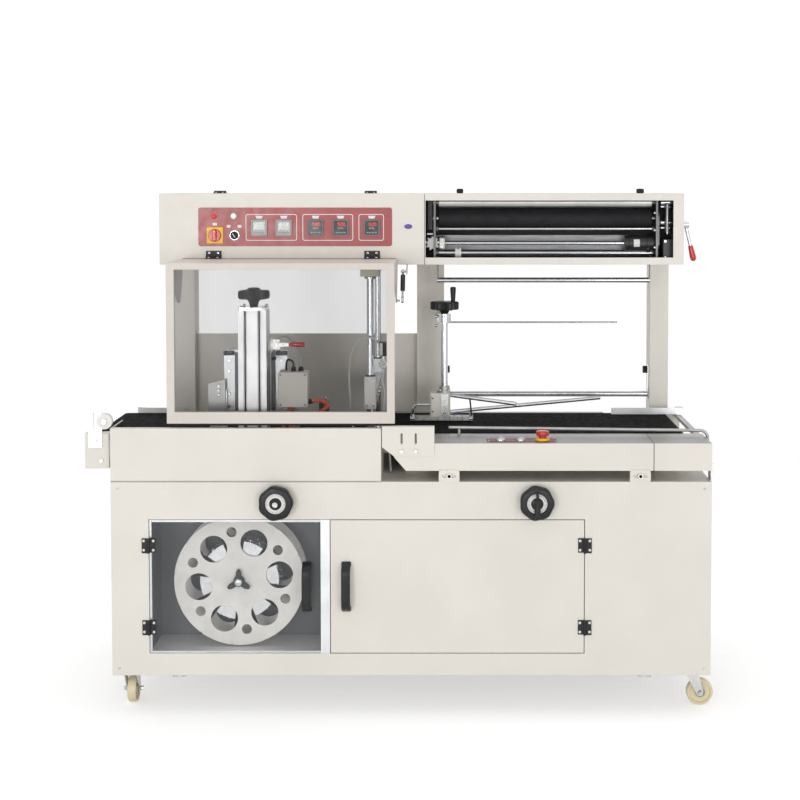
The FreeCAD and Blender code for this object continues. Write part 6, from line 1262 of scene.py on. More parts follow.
@dataclass(frozen=True)
class Chain:
    """A roller chain over two equal sprockets on shafts along X."""

    x: float
    y: float
    low: float
    high: float
    radius: float = 15
    width: float = 7
    pitch: float = 8

    def place(self, s: float) -> tuple[float, float, float]:
        """The point and the heading at a distance along the loop.

        The loop is a straight run up the back, a half circle, a straight run down the front and a
        half circle.

        Args:
            s: The distance in millimetres.

        Returns:
            (y, z, heading in degrees from +Y towards +Z).
        """
        run, half = self.high - self.low, math.pi * self.radius
        if s < run:
            return self.y + self.radius, self.low + s, 90
        if s < run + half:
            a = (s - run) / self.radius
            y, z = self.y + self.radius * math.cos(a), self.high + self.radius * math.sin(a)
            return y, z, 90 + math.degrees(a)
        if s < 2 * run + half:
            return self.y - self.radius, self.high - (s - run - half), 270
        a = (s - 2 * run - half) / self.radius
        y, z = self.y - self.radius * math.cos(a), self.low - self.radius * math.sin(a)
        return y, z, 270 + math.degrees(a)

    def shapes(self) -> list[Shape]:
        """The links' side plates and rollers."""
        loop = 2 * (self.high - self.low) + 2 * math.pi * self.radius
        count = round(loop / self.pitch)
        shapes = []
        link = rounded(self.pitch + 5, 5.6, 2.8, 4)
        for number in range(count):
            y, z, heading = self.place(number * loop / count)
            gap = 0 if number % 2 else 1.1
            for side in (self.x + gap, self.x + self.width - gap - 1):
                piece = plate(link, 1, (side, y, z), Y, Z, 0.2)
                shapes.append(piece.turned((side, y, z), X, heading))
            shapes.append(bar((self.x - 0.4, y, z), (self.x + self.width + 0.4, y, z), 3.6, 0.3, 8))
        return shapes

    def sprocket(self, z: float) -> list[Shape]:
        """A toothed wheel with its hub on the shaft at a height."""
        teeth = max(8, round(2 * math.pi * self.radius / self.pitch))
        outline = star(teeth, self.radius - 2.6, self.radius + 1.6, 0, 12 * teeth, 0.8)
        wheel = plate(outline, 2.6, (self.x + self.width / 2 - 1.3, self.y, z), Y, Z, 0.4)
        return [wheel, bar((self.x - 1, self.y, z), (self.x + self.width + 2, self.y, z), 17, 0.8)]


@dataclass(frozen=True)
class FilmRollers:
    """The nip rollers, the rods, the drum motor, the chains and the casting of the film feed."""

    left: float = 66
    right: float = 722
    y: float = 340
    nip_z: float = 1435
    rubber_z: float = 1387
    shaft_z: float = 1312
    motor_left: float = 634
    low_rod: tuple = (324, 1283)
    high_rod: tuple = (320, 1356)

    def build(self) -> None:
        """Builds the two rollers and the fixed pieces round them."""
        steel = Piece("nip_roller_body", "steel_nip", "stainless", "nip_roller")
        steel.add(STAINLESS, self.roller(self.nip_z, 20))
        steel.build()
        soft = Piece("rubber_roller_body", "rubber_nip", "roller_rubber", "rubber_roller")
        soft.add(TURNED, self.roller(self.rubber_z, 12))
        sleeve = [(12, 0), (26, 0), (27, 1), (27, 637), (26, 638), (12, 638)]
        soft.add(SOFT_BLACK, lathe(sleeve, (self.left + 9, self.y, self.rubber_z), X, 72))
        soft.build()
        drive = Piece("film_feed_drive", "machine", "dark_steel", "film_drive")
        self.motor(drive)
        self.rods(drive)
        right = Chain(729, self.y, self.shaft_z, self.rubber_z)
        left = Chain(68.5, self.y, self.shaft_z, 1384, 13, 5)
        drive.add(ZINC, *right.shapes(), *right.sprocket(self.shaft_z))
        drive.add(TURNED, *left.sprocket(self.shaft_z))
        self.casting(drive)
        self.right_end(drive)
        drive.build()

    def roller(self, z: float, radius: float) -> Shape:
        """A turned roller with its journals."""
        end, face, far = 10, 18, 658
        profile = [(6.5, 0), (7, 0.5), (7, face), (radius - 1, face), (radius, face + 1),
                   (radius, far - 1), (radius - 1, far), (7, far), (7, far + 17.5), (6.5, far + 18)]
        return lathe(profile, (self.left - end, self.y, z), X, 72)

    def motor(self, piece: Piece) -> None:
        """Adds the black drum motor with its end rings, its blank white plate and its cable gland."""
        place = (self.motor_left, self.y, self.shaft_z)
        body = [(0, 0), (22, 0), (23.5, 1.5), (23.5, 9), (22.4, 9.6), (22.4, 12), (24, 12.6), (24, 62),
                (22.4, 62.6), (22.4, 65), (24, 65.6), (24, 86), (22, 88), (0, 88)]
        piece.add(BLACK_PAINT, lathe(body, place, X, 64))
        path = np.array([(668, y, z) for y, z in arc((self.y, self.shaft_z), 24.2, 150, 205)])
        outline = np.array([(-9, -0.2), (9, -0.2), (9, 0.2), (-9, 0.2)])
        piece.add(WHITE, swept(path, outline, X))
        gland = [(0, 0), (8, 0), (8, 6), (6, 7), (5, 14), (0, 14)]
        piece.add(BLACK, lathe(gland, (702, self.y - 20, self.shaft_z - 12), -Z, 24))
        heights = (self.shaft_z + 9, self.shaft_z - 9)
        piece.screws(GREY, product([self.motor_left - 0.2], [self.y - 15], heights), -X, 5, Head.PAN)

    def rods(self, piece: Piece) -> None:
        """Adds the shaft, the two rods, the white pulley and the sheet behind them, whose dark grey is
        painted shade.
        """
        piece.add(CHROME, bar((self.left, self.y, self.shaft_z), (self.motor_left, self.y, self.shaft_z), 12))
        for (y, z), diameter in ((self.low_rod, 12), (self.high_rod, 8)):
            piece.add(CHROME, bar((self.left, y, z), (self.right, y, z), diameter))
        y, z = self.low_rod
        groove = [(6, 0), (15.5, 0), (16.5, 1.5), (16.5, 4), (12.5, 9), (16.5, 14),
                  (16.5, 16.5), (15.5, 18), (6, 18)]
        piece.add(WHITE, lathe(groove, (124, y, z), X, 48))
        piece.add(BLACK, *[bar((123.4, y + 9.6 * math.cos(a), z + 9.6 * math.sin(a)),
                               (142.6, y + 9.6 * math.cos(a), z + 9.6 * math.sin(a)), 4.2)
                           for a in np.arange(3) * 2 * math.pi / 3])
        # The sheet behind the rods takes dark grey as painted shade.
        piece.add(SHADE_PAINTED_SHEET, slab((self.left, 372, 1290), (self.right, 373.5, 1336)))
        for x in (self.left, self.right - 9):
            piece.add(DARK_STEEL_AND_SLOT_SHADE, *[lathe([(0, 0), (11, 0), (11, 7), (9.5, 9), (0, 9)], (x, y, z), X, 28)
                                    for y, z in (self.low_rod, self.high_rod)])

    def right_end(self, piece: Piece) -> None:
        """Adds the stub shafts, the tension spring, the gearbox and the notched bracket at the ends.

        The spring is a helix: x and y go round a circle while z rises evenly.
        """
        wall, start = 794, 738
        for z, diameter in ((self.nip_z, 14), (self.nip_z - 13, 7), (self.rubber_z - 12, 12),
                            (self.rubber_z - 28, 7)):
            piece.add(CHROME, bar((start, 314, z), (wall, 314, z), diameter))
        turn = np.linspace(0, 30 * math.pi, 300)
        coil = np.stack([756 + 6 * np.cos(turn), 300 + 6 * np.sin(turn), 1346 + 78 * turn / turn[-1]], 1)
        piece.add(ZINC, pipe(coil, 2.4, 8), bar((756, 300, 1340), (756, 300, 1430), 5))
        piece.add(BLACK_PAINT, slab((744, 304, 1264), (790, 372, 1326), 2))
        piece.screws(CHROME, product((751, 783), [304], (1271, 1319)), -Y, 7)
        piece.add(DARK_STEEL_AND_SLOT_SHADE, slab((778, 330, 1330), (793, 372, 1448), 1))
        notched = star(9, 15, 22, 10, 108, 0.8)
        piece.add(CAST, plate(notched, 3, (56, 322, 1312), edge=0.6))
        piece.add(BLACK_PAINT, slab((41, 326, 1352), (57.5, 366, 1450), 1.5))
        piece.add(CHROME, bar((40, 330, 1340), (58, 330, 1340), 9))

    def casting(self, piece: Piece) -> None:
        """Adds the cast bearing block on the left plate, with its two bolts."""
        block = plate(rounded(36, 40, 7), 18, (76, self.y, self.shaft_z), Y, Z, 1.6)
        piece.add(CAST, block)
        heights = (self.shaft_z + 11, self.shaft_z - 11)
        piece.screws(ZINC, product([85], [self.y - 18], heights), -Y, 8)
        for z in (self.nip_z, self.rubber_z):
            for x in (self.left - 0.1, 728):
                ring = [(7.4, 0), (15, 0), (15, 1.2), (14, 2.2), (7.4, 2.2)]
                piece.add(DARK_STEEL_AND_SLOT_SHADE, lathe(ring, (x, self.y, z), X, 32))
        bolts = [(self.right, 304, z) for z in (1300, 1352, 1404, 1448)]
        piece.screws(ZINC, bolts, -X, 8)


@dataclass(frozen=True)
class SealStation:
    """The slotted column's fittings, its knob, the toggle clamp, the carriage's screws and the tubes."""

    x: float = -451
    y: float = 107
    knob_z: float = 1140.3
    clamp: tuple = (-388, 107, 1031)

    def build(self) -> None:
        """Builds each group on the body that carries it."""
        self.knob()
        self.column()
        self.clamp_lever()
        self.carriage()
        self.box()

    def knob(self) -> None:
        """The six-lobed knob with its screw.

        Radius = inner + (outer - inner) * lobe(t), drawn in towards the top and the bottom.
        """
        piece = Piece("height_knob_grip", "height_knob", "black_plastic", "seal_knob")
        low = self.knob_z + 21
        outline = star(6, 28, 45.6, 15, 180, 0.65)
        shares = np.array([0.84, 0.95, 1, 1, 0.97, 0.90, 0.62])
        heights = np.array([0, 2, 7, 17, 23, 25.4, 26])
        loops = np.zeros((len(shares), len(outline), 3))
        loops[..., :2] = outline[None] * shares[:, None, None]
        loops[..., 2] = heights[:, None]
        place = np.array([self.x, self.y, low])
        piece.add(BLACK, stacked(loops + place))
        hub = [(0, 0), (11, 0), (12, 3), (13, 9), (18, 19), (18, 21.2), (0, 21.2)]
        piece.add(BLACK, lathe(hub, (self.x, self.y, self.knob_z), Z, 40))
        boss = [(0, 0), (18, 0), (18, 4), (16, 6.4), (12, 7.4), (0, 7.4)]
        piece.add(BLACK, lathe(boss, (self.x, self.y, low + 25.6), Z, 40))
        piece.add(TURNED, bar((self.x, self.y, 1072), (self.x, self.y, self.knob_z + 0.5), 14))
        piece.build()

    def column(self) -> None:
        """The cap's screws, the slots' inner lips and the clamp's body on the column's side."""
        piece = Piece("column_fittings", "machine", "aluminium")
        corners = [(self.x + sx * 32, self.y + sy * 32, 1140) for sx in (-1, 1) for sy in (-1, 1)]
        piece.screws(CHROME, corners, Z, 8)
        for side in (-20, 20):
            for edge in (-4.6, 2.4):
                low = (self.x + side + edge, 67.2, 808)
                piece.add(ALUMINIUM, slab(low, (low[0] + 2.2, 69.6, 1132), 0.4))
        x, y, z = self.clamp
        gusset = np.array([(0, 0), (50, 0), (50, 129), (0, 114)])
        piece.add(STAINLESS, plate(gusset, 2.4, (-588, 137.6, 800)))
        piece.screws(CHROME, [(-557, 135.2, height) for height in (884, 896, 908)], -Y, 7.5)
        for height in (-9, 9):
            piece.screws(ZINC, [(-402, y + 5, z + height)], -Y, 7, Head.HEX)
        piece.add(BLACK, slab((x - 14, y + 5.2, z - 6), (x + 6, y + 9, z + 11), 1.5))
        piece.add(DARK_STEEL_AND_SLOT_SHADE, bar((x - 6, y - 4, z - 34), (x - 6, y - 4, z - 15), 7))
        piece.add(SOFT_BLACK, lathe([(0, 0), (6, 0), (7, 2), (7, 7), (5, 9), (0, 9)],
                                    (x - 6, y - 4, z - 43), Z, 24))
        piece.build()

    def clamp_lever(self) -> None:
        """The toggle clamp's steel lever with its tapered red grip."""
        x, y, z = self.clamp
        piece = Piece("clamp_lever_grip", "clamp", "red_plastic", "clamp_lever")
        eye = [(x + a, b) for a, b in arc((0, 0), 8, 60, 300, 14)]
        outline = np.array([(a - x, b) for a, b in eye] + [(44, -4.5), (44, 4.5)])
        piece.add(ZINC, *[plate(outline, 3, (x, side, z), edge=0.5) for side in (y + 4, y - 1)])
        piece.add(CHROME, bar((x, y - 4, z), (x, y + 4, z), 6, 0.8),
                  bar((x + 24, y - 4.4, z), (x + 24, y + 4.4, z), 5, 0.8))
        grip = [(0, 0), (4.6, 0), (5.4, 1.5), (5.8, 8), (7, 26), (7.4, 38), (6.6, 43.5), (4.4, 45.6), (0, 46)]
        piece.add(RED, lathe(grip, (x + 36, y, z), X, 32))
        piece.build()

    def carriage(self) -> None:
        """The carriage's dark slides and its screws beside the column."""
        piece = Piece("carriage_fittings", "carriage", "aluminium")
        for low, high in ((-512, -495), (-407, -396)):
            piece.add(DARK_STEEL_AND_SLOT_SHADE, slab((low, 143, 836), (high, 151.2, 1004), 1))
        for low, high in ((-544, -514), (-394, -361)):
            piece.add(BLACK_PAINT, slab((low, 140.5, 996), (high, 151.2, 1009), 1))
            middle = (low + high) / 2
            piece.screws(CHROME, [(middle, 151, z) for z in (846, 884, 950, 980)], -Y, 9)
            piece.screws(CHROME, [(middle, 145, 1009)], Z, 8)
        piece.build()

    def box(self) -> None:
        """The terminal box on its post, its cover, screws and glands, the connector and the tubes."""
        piece = Piece("terminal_box_fittings", "machine", "white_plastic", "terminal_box")
        piece.add(CREAM, plate(rounded(85, 101, 5), 48, (-338.5, 132, 904.5), edge=0.8),
                  plate(rounded(83, 99, 5), 2.6, (-338.5, 84.2, 904.5), edge=0.8))
        piece.add(ZINC, slab((-353.5, 132, 658), (-323.5, 137, 914)))
        piece.add(BLACK, slab((-268, 123, 816), (-240, 147, 862), 1.2),
                  slab((-262, 142, 658), (-248, 147, 816.5)))
        corners = [(-338.5 + sx * 35, 81.6, 904.5 + sz * 43) for sx in (-1, 1) for sz in (-1, 1)]
        piece.screws(GREY, corners, -Y, 6, Head.PAN)
        gland = [(0, 0), (9, 0), (9, 5), (7, 6), (7, 11), (5, 13), (0, 13)]
        piece.add(BLACK, lathe(gland, (-338.5, 108, 955), Z, 6), lathe(gland, (-296.5, 108, 868), X, 6))
        piece.add(BLACK, lathe(gland, (-318, 112, 955), Z, 6))
        loop = [(-338.5, 108, 965), (-341, 110, 982), (-356, 120, 986), (-362, 130, 970), (-362, 138, 930)]
        piece.add(BLACK, hose(loop, 6))
        arch = [(-392, 123, 1030), (-384, 123, 1046), (-358, 123, 1050), (-332, 121, 1026),
                (-320, 114, 990), (-318, 112, 962)]
        piece.add(HOSE_GREY, hose(arch, 6))
        red = [(-290, 108, 868), (-270, 106, 871), (-252, 98, 869), (-241, 88, 860),
               (-248, 80, 849), (-272, 76, 838), (-310, 74, 824), (-344, 72, 800), (-352, 72, 700)]
        stub = [(-348, 104, 855), (-352, 100, 842), (-360, 92, 824), (-366, 86, 800), (-368, 84, 700)]
        piece.add(ORANGE, hose(red, 11, 90), hose(stub, 12, 50))
        piece.screws(CHROME, [(-254, 123, z) for z in (828, 850)], -Y, 9)
        piece.add(BLACK, slab((-262, 126, 862), (-246, 140, 870), 1.5))
        piece.add(CHROME, bar((-250, 134, 869), (-250, 134, 878), 6))
        piece.build()


@dataclass(frozen=True)
class JawFittings:
    """The upper jaw's screws, the valve's fittings and the air tubes of the cross jaw."""

    x: float = -120
    front: float = 120
    rear: float = 549
    low: float = 846

    def build(self) -> None:
        """Builds the moving and the fixed fittings."""
        jaw = Piece("upper_jaw_fittings", "jaw", "aluminium")
        face = self.front - 16.5
        jaw.add(WHITE, plate(rounded(32, 92, 2), 1.5, (self.x, face, self.low + 46.5), edge=0.5))
        heights = (self.low + 10, self.low + 84)
        jaw.screws(CHROME, product((self.x - 10, self.x + 10), [face - 1.5], heights), -Y, 6)
        for y in (self.front, self.rear):
            ring = [(10.4, 0), (15, 0), (15, 3), (13.5, 4), (10.4, 4)]
            jaw.add(DARK_STEEL_AND_SLOT_SHADE, lathe(ring, (self.x, y, self.low + 93), Z, 40))
        bolts = [(self.x + 16, y, self.low + 30) for y in np.linspace(170, 500, 5)]
        jaw.screws(ZINC, bolts, X, 9)
        jaw.build()
        fixed = Piece("valve_fittings", "machine", "chrome")
        fixed.add(WHITE, slab((-92, 101.5, 1000), (-84, 104.9, 1036), 1))
        gauge = (-83, 112, 975)
        fixed.add(CHROME, bar((-83, 120, 998.5), (-83, 120, 968), 9))
        dial = [(0, 0), (11, 0), (12, 1.5), (12, 9), (11, 10), (9.4, 10), (9.4, 8.6), (0, 8.6)]
        fixed.add(CHROME, lathe(dial,
                                gauge, -Y, 36))
        fixed.add(WHITE, lathe([(0, 0), (9.2, 0), (9.2, 0.4), (0, 0.4)], (-83, 103.2, 975), -Y, 32))
        fixed.add(BLACK, slab((-84, 102.2, 974.5), (-77, 102.7, 975.5), 0.1))
        elbow = [(-83, 120, 970), (-82, 118, 950), (-86, 116, 925), (-79, 118, 890), (-82, 122, 840),
                 (-76, 126, 790), (-68, 130, 740), (-62, 130, 662)]
        fixed.add(CLEAR_TUBE, hose(elbow, 6, 80))
        arch = [(-93, 112, 1030), (-97, 104, 1038), (-106, 92, 1049), (-124, 86, 1053),
                (-150, 92, 1044), (-174, 114, 1002), (-182, 136, 940), (-180, 150, 870),
                (-176, 154, 820), (-170, 156, 768)]
        fixed.add(CLEAR_TUBE, hose(arch, 6, 80))
        for z in (1004, 1026):
            fixed.add(CHROME, bar((-76, 120, z), (-66, 120, z), 9))
        for y in (self.front, self.rear):
            corners = [(self.x + sx * 20, y + sy * 16, 1246) for sx in (-1, 1) for sy in (-1, 1)]
            fixed.screws(CHROME, corners, Z, 6)
            ring = [(10.3, 0), (17, 0), (17, 5), (15, 7), (10.3, 7)]
            fixed.add(TURNED, lathe(ring, (self.x, y, 1219), Z, 40))
        fixed.build()


@dataclass(frozen=True)
class FormerHead:
    """The crank on the inverting head's pole and the head's screws."""

    x: float = 92
    y: float = 380
    top: float = 1096

    def build(self) -> None:
        """Builds the crank and the head's fittings."""
        crank = Piece("head_crank_wheel", "head_crank", "black_plastic", "crank_wheel")
        low = self.top + 12
        outline = star(6, 31, 43.5, 0, 180, 0.7)
        crank.add(BLACK, plate(outline, 25, (self.x, self.y, low), X, Y, 3.2))
        hub = [(0, 0), (10, 0), (12, 2), (17, 12.5), (0, 12.5)]
        crank.add(BLACK, lathe(hub, (self.x, self.y, self.top + 0.3), Z, 40))
        crank.add(CHROME, bar((self.x, self.y, self.top - 19), (self.x, self.y, self.top + 1), 10))
        grip_x = self.x + 26
        grip = [(0, 0), (6, 0), (6.6, 3), (7, 10), (8.6, 34), (9, 42), (8.2, 45), (5, 46.4), (0, 46.4)]
        crank.add(BLACK, lathe(grip, (grip_x, self.y, low + 23), Z, 32))
        crank.build()
        head = Piece("former_head_fittings", "turning_head", "stainless")
        face = self.y - 20
        head.add(ZINC, plate(rounded(22, 68, 2), 2, (self.x, face + 0.2, 819), edge=0.5))
        head.screws(CHROME, [(self.x, face - 1.8, z) for z in (794, 812, 830, 846)], -Y, 9)
        head.screws(CHROME, [(self.x - 36, face, z) for z in (800, 840)], -Y, 7, Head.PAN)
        for angle in (45, 135, 225, 315):
            a = math.radians(angle)
            head.screws(CHROME, [(self.x + 19 * math.cos(a), self.y + 19 * math.sin(a), 862)], Z, 6)
        for x in (self.x - 98, self.x + 80):
            head.add(CHROME, bar((x - 6, self.y - 17.5, 777), (x + 6, self.y - 17.5, 777), 7))
            head.add(TURNED, lathe([(0, 0), (7, 0), (7, 5), (0, 5)], (x, self.y, 783), Z, 6))
        bail = [(126, 372, 841), (156, 372, 841), (166, 372, 838), (170, 372, 828), (174, 372, 784)]
        head.add(BLACK, hose(bail, 5, 40))
        head.add(CREAM, slab((108, self.y - 19, 784), (109.6, self.y + 19, 853)))
        head.add(ALUMINIUM_X, bar((104, self.y, 795), (578, self.y + 108, 823), 12),
                 bar((104, self.y, 847), (308, self.y - 62, 829), 12))
        head.build()
        fixed = Piece("pole_fittings", "machine", "chrome")
        for z in (1074, 1088):
            fixed.screws(CHROME, [(self.x, self.y - 20, z)], -Y, 7)
        for z in (1060, 1088):
            fixed.add(CHROME, bar((self.x - 21, self.y - 6, z), (self.x - 29, self.y - 6, z), 9))
        fixed.build()


@dataclass(frozen=True)
class Doors:
    """The hinges' leaves and screws, the bow handles and the bay's trims round the two doors."""

    low: float = 170
    high: float = 550
    mullion: float = -254.5
    hinge_x: tuple = (-735, 486)
    hinge_z: tuple = (247, 479)
    pull_z: float = 363.5

    def build(self) -> None:
        """Builds the fittings of both doors and of the frame."""
        trims = Piece("bay_trims", "machine", "aluminium")
        left, right = self.hinge_x
        inner = left + 7
        for low, high in (((left - 1.5, 6.6, self.low), (inner, 10, self.high)),
                          ((inner, 6.6, self.high - 7.5), (self.mullion, 10, self.high)),
                          ((inner, 6.6, self.low), (self.mullion, 10, self.low + 8))):
            trims.add(ALUMINIUM, slab(low, high, 0.6))
        self.leaf_screws(trims, left - 13.5)
        self.leaf_screws(trims, right + 13.5)
        trims.build()
        for name, body, node, hinge, sign, pull in (
                ("window_door_fittings", "clear_door", "window_door_handle", left, 1, -292),
                ("steel_door_fittings", "panel_door", "steel_door_handle", right, -1, -182)):
            door = Piece(name, body, "black_plastic", node)
            self.leaves(door, hinge, sign)
            self.handle(door, pull)
            door.build()

    def leaf_screws(self, piece: Piece, x: float) -> None:
        """Adds two bright screws to each hinge leaf at one side."""
        places = [(x, -2.6, z + dz) for z in self.hinge_z for dz in (-13, 13)]
        piece.screws(WHITE, places, -Y, 7.6, Head.PAN)

    def leaves(self, piece: Piece, x: float, sign: int) -> None:
        """Adds a door's hinge leaves with their knuckles and screws."""
        for z in self.hinge_z:
            near, far = sorted((x + sign * 2.5, x + sign * 19))
            piece.add(BLACK, slab((near, -2.5, z - 20.6), (far, -0.1, z + 20.6), 0.6),
                      bar((x, -4, z - 6.6), (x, -4, z + 6.6), 7.6, 0.6))
            near, far = sorted((x, x + sign * 5))
            piece.add(BLACK, slab((near, -3.6, z - 6.4), (far, -1.2, z + 6.4), 0.4))
        self.leaf_screws(piece, x + sign * 13.5)

    def handle(self, piece: Piece, x: float) -> None:
        """Adds a moulded bow handle with its two countersunk screws.

        The bow's middle line runs out from the door, along and back: y = -5 - 26 * (1 - |u|^8), where u
        goes from -1 to 1 along its height.
        """
        u = np.linspace(-1, 1, 41)
        path = np.stack([np.full(41, x), -5 - 26 * (1 - np.abs(u) ** 8), self.pull_z + 64 * u], 1)
        piece.add(BLACK, swept(path, rounded(25, 10.5, 4, 5), X))
        for z in (self.pull_z - 63, self.pull_z + 63):
            piece.add(BLACK, plate(rounded(27, 14.5, 4), 8, (x, -0.1, z), edge=1.5))
            piece.screws(CHROME, [(x, -8, z)], -Y, 6.4)


@dataclass(frozen=True)
class HoodFittings:
    """The hood's hinges and dark seal line, and the gas struts at its sides."""

    hinge_x: tuple = (-591, -122)
    lid_x: tuple = (-575, -127)
    strut_top: tuple = (0, 250, 1232)
    strut_pin: tuple = (0, 200, 1150)
    strut_x: tuple = (-699, -30)

    def build(self) -> None:
        """Builds the hinges' fittings and the struts."""
        fixed = Piece("hood_hinge_screws", "machine", "black_plastic")
        hinge, lid = ([x + dx for x in middles for dx in (-reach, reach)]
                      for middles, reach in ((self.hinge_x, 13), (self.lid_x, 10)))
        fixed.screws(CHROME, product(hinge, [267.4], [1285]), -Y, 9, Head.PAN)
        fixed.screws(CHROME, product(lid, [283], [1464.4]), Z, 6, Head.PAN)
        fixed.build()
        leaves = Piece("lid_hinge_screws", "box_lid", "cream_paint")
        leaves.screws(CHROME, product(lid, [309], [1464.4]), Z, 6, Head.PAN)
        leaves.build()
        hood = Piece("hood_seal_line", "hood", "red_plastic")
        hood.add(DARK_RED, slab((-680, 247, 1268.4), (-49, 250.6, 1270.4), 0.4))
        hood.screws(CHROME, product((-650, -364.5, -79), [13.4], [1258]), Z, 5, Head.PAN)
        hood.screws(CHROME, product(hinge, [257], [1272]), Z, 8, Head.PAN)
        hood.build()
        self.struts()

    def struts(self) -> None:
        """The tubes that hang from the hood's pins and the rods that stand on the frame's."""
        top, foot = np.array(self.strut_top, float), np.array(self.strut_pin, float)
        length = float(np.linalg.norm(foot - top))
        along = (foot - top) / length
        tubes = Piece("gas_strut_tubes", "strut_tubes", "black_plastic", "strut_cylinders")
        rods = Piece("gas_strut_rods", "strut_pistons", "chrome", "strut_rods")
        tube = [(3.3, 0), (6, 0), (7, 1.5), (7, 50), (5.6, 52), (3.3, 52)]
        eye = [(4, -3.5), (6.5, -3.5), (7.4, -2.4), (7.4, 2.4), (6.5, 3.5), (4, 3.5)]
        for x in self.strut_x:
            high, low = np.array([x, 0, 0]) + top, np.array([x, 0, 0]) + foot
            tubes.add(CHROME, lathe(eye, high, X, 32, True), bar(high + along * 5, high + along * 15, 6))
            tubes.add(BLACK_PAINT, lathe(tube, high + along * 12, along, 32, True))
            rods.add(CHROME, lathe(eye, low, X, 32, True),
                     bar(low - along * 4, low - along * (length - 20), 6, 0.3),
                     bar(low - along * 4, low - along * 14, 8))
        tubes.build()
        rods.build()


@dataclass(frozen=True)
class Controls:
    """The chrome push buttons, the emergency stop and the screws of the strip and the tabs."""

    y: float = 48
    top: float = 767.5
    stop_x: float = 370
    buttons: tuple = (("start_button_cap", "start_plunger", "start_button", 251),
                      ("stop_button_cap", "stop_plunger", "stop_button", 308))

    def build(self) -> None:
        """Builds the three moving heads and the fixed bezels."""
        fixed = Piece("strip_fittings", "machine", "panel_red")
        bezel = [(9.9, 0), (14.4, 0), (14.4, 2), (12.6, 5.4), (9.9, 5.4)]
        t = np.linspace(0, math.pi / 2, 6)[1:-1]
        dome = [(9.4 * math.cos(a) ** 0.8, 5.2 + 3.3 * math.sin(a)) for a in t]
        cap = [(0, -13), (8.8, -13), (9.4, -12), (9.4, 5.2), *dome, (0, 8.5)]
        for name, body, node, x in self.buttons:
            piece = Piece(name, body, "chrome", node)
            piece.add(CHROME, lathe(cap, (x, self.y, self.top), Z, 40))
            piece.build()
            fixed.add(CHROME, lathe(bezel, (x, self.y, self.top), Z, 32, True))
        place = (self.stop_x, self.y, self.top)
        stop = Piece("emergency_stop_head", "stop_head", "red_plastic", "emergency_stop")
        mushroom = [(0, -10), (9.6, -10), (10, -9), (10, 11.4), (14, 11.8), (17.4, 13), (18.2, 15),
                    (19, 20.5), (18.4, 23.6), (16, 25.4), (8, 26.3), (0, 26.5)]
        stop.add(RED, lathe(mushroom, place, Z, 64))
        stop.build()
        collar = [(10.6, 0.2), (21.2, 0.2), (21.2, 3), (19, 6.4), (10.6, 6.4)]
        fixed.add(YELLOW, lathe(collar, place, Z, 32, True))
        fixed.screws(ZINC, product((217, 404), (26, 70), [self.top]), Z, 6, Head.PAN)
        for *_, x in self.buttons:
            fixed.add(WHITE_LINE, slab((x - 8, 24, self.top), (x + 8, 29, self.top + 0.3), 0.1))
        fixed.build()


@dataclass(frozen=True)
class Seams:
    """The dark gaps between the cabinet's sheets, the screen's lower sheet and rows of small screws."""

    lines: tuple = (((-840, -0.25, 657.2), (-84, 0.3, 658.8)), ((-736.4, -0.25, 551), (486, 0.3, 552)),
                    ((677.2, -0.3, 689), (678.8, 0.4, 766)), ((677.2, -0.2, 765.8), (678.8, 157, 766.4)),
                    ((32.4, 269, 1251), (33.8, 270.4, 1460)))
    low: float = 130
    high: float = 638
    half: float = 840
    rows: tuple = (30, 370, 710)

    def build(self) -> None:
        """Builds the gap lines, the sheet and the screws."""
        piece = Piece("cabinet_seams", "machine", "cream_paint")
        piece.add(BLACK_PAINT, *[slab(low, high, 0.1) for low, high in self.lines])
        piece.add(CREAM, slab((-700.7, 600.2, 658.5), (3.7, 601.8, 780.5), 0.2))
        both = (self.low, self.high)
        piece.screws(ZINC, product((-820, 820), [-0.1], both), -Y, 7, Head.PAN)
        piece.screws(ZINC, product([self.half], self.rows, both), X, 8, Head.PAN)
        piece.screws(ZINC, product([-self.half], self.rows, both), -X, 8, Head.PAN)
        piece.screws(ZINC, product((-800, -270, 270, 800), [737.2], both), Y, 8, Head.PAN)
        piece.screws(ZINC, product((106, 640), [-5], [675]), -Y, 10, Head.HEX)
        piece.build()


@dataclass(frozen=True)
class Casters:
    """The hub caps and axle nuts of the four casters."""

    nut_reach: float = 7.2

    def build(self) -> None:
        """Builds the fittings on each fork, from the solid's own place."""
        guard = [(0, -1), (14, -1), (14, 0.4), (11, 1), (0, 1)]
        for end in CORNERS:
            points = read_back(frame["nodes"]["caster_wheel_" + end].data.vertices, "co")
            low, high = points.min(0), points.max(0)
            middle, reach = (low + high) / 2, (high - low) / 2
            axis = X if reach[0] < reach[1] else Y
            side = float(reach @ axis)
            wheel = Piece("caster_hub_" + end, "wheel_" + end, "tread_nylon")
            fork = Piece("caster_nuts_" + end, "fork_" + end, "zinc")
            for sign in (-1, 1):
                wheel.add(GREY, lathe(guard, middle + sign * axis * side, sign * axis, 32))
                fork.screws(ZINC, [middle + sign * axis * (side + self.nut_reach)], sign * axis, 11, Head.HEX)
            wheel.build()
            fork.build()


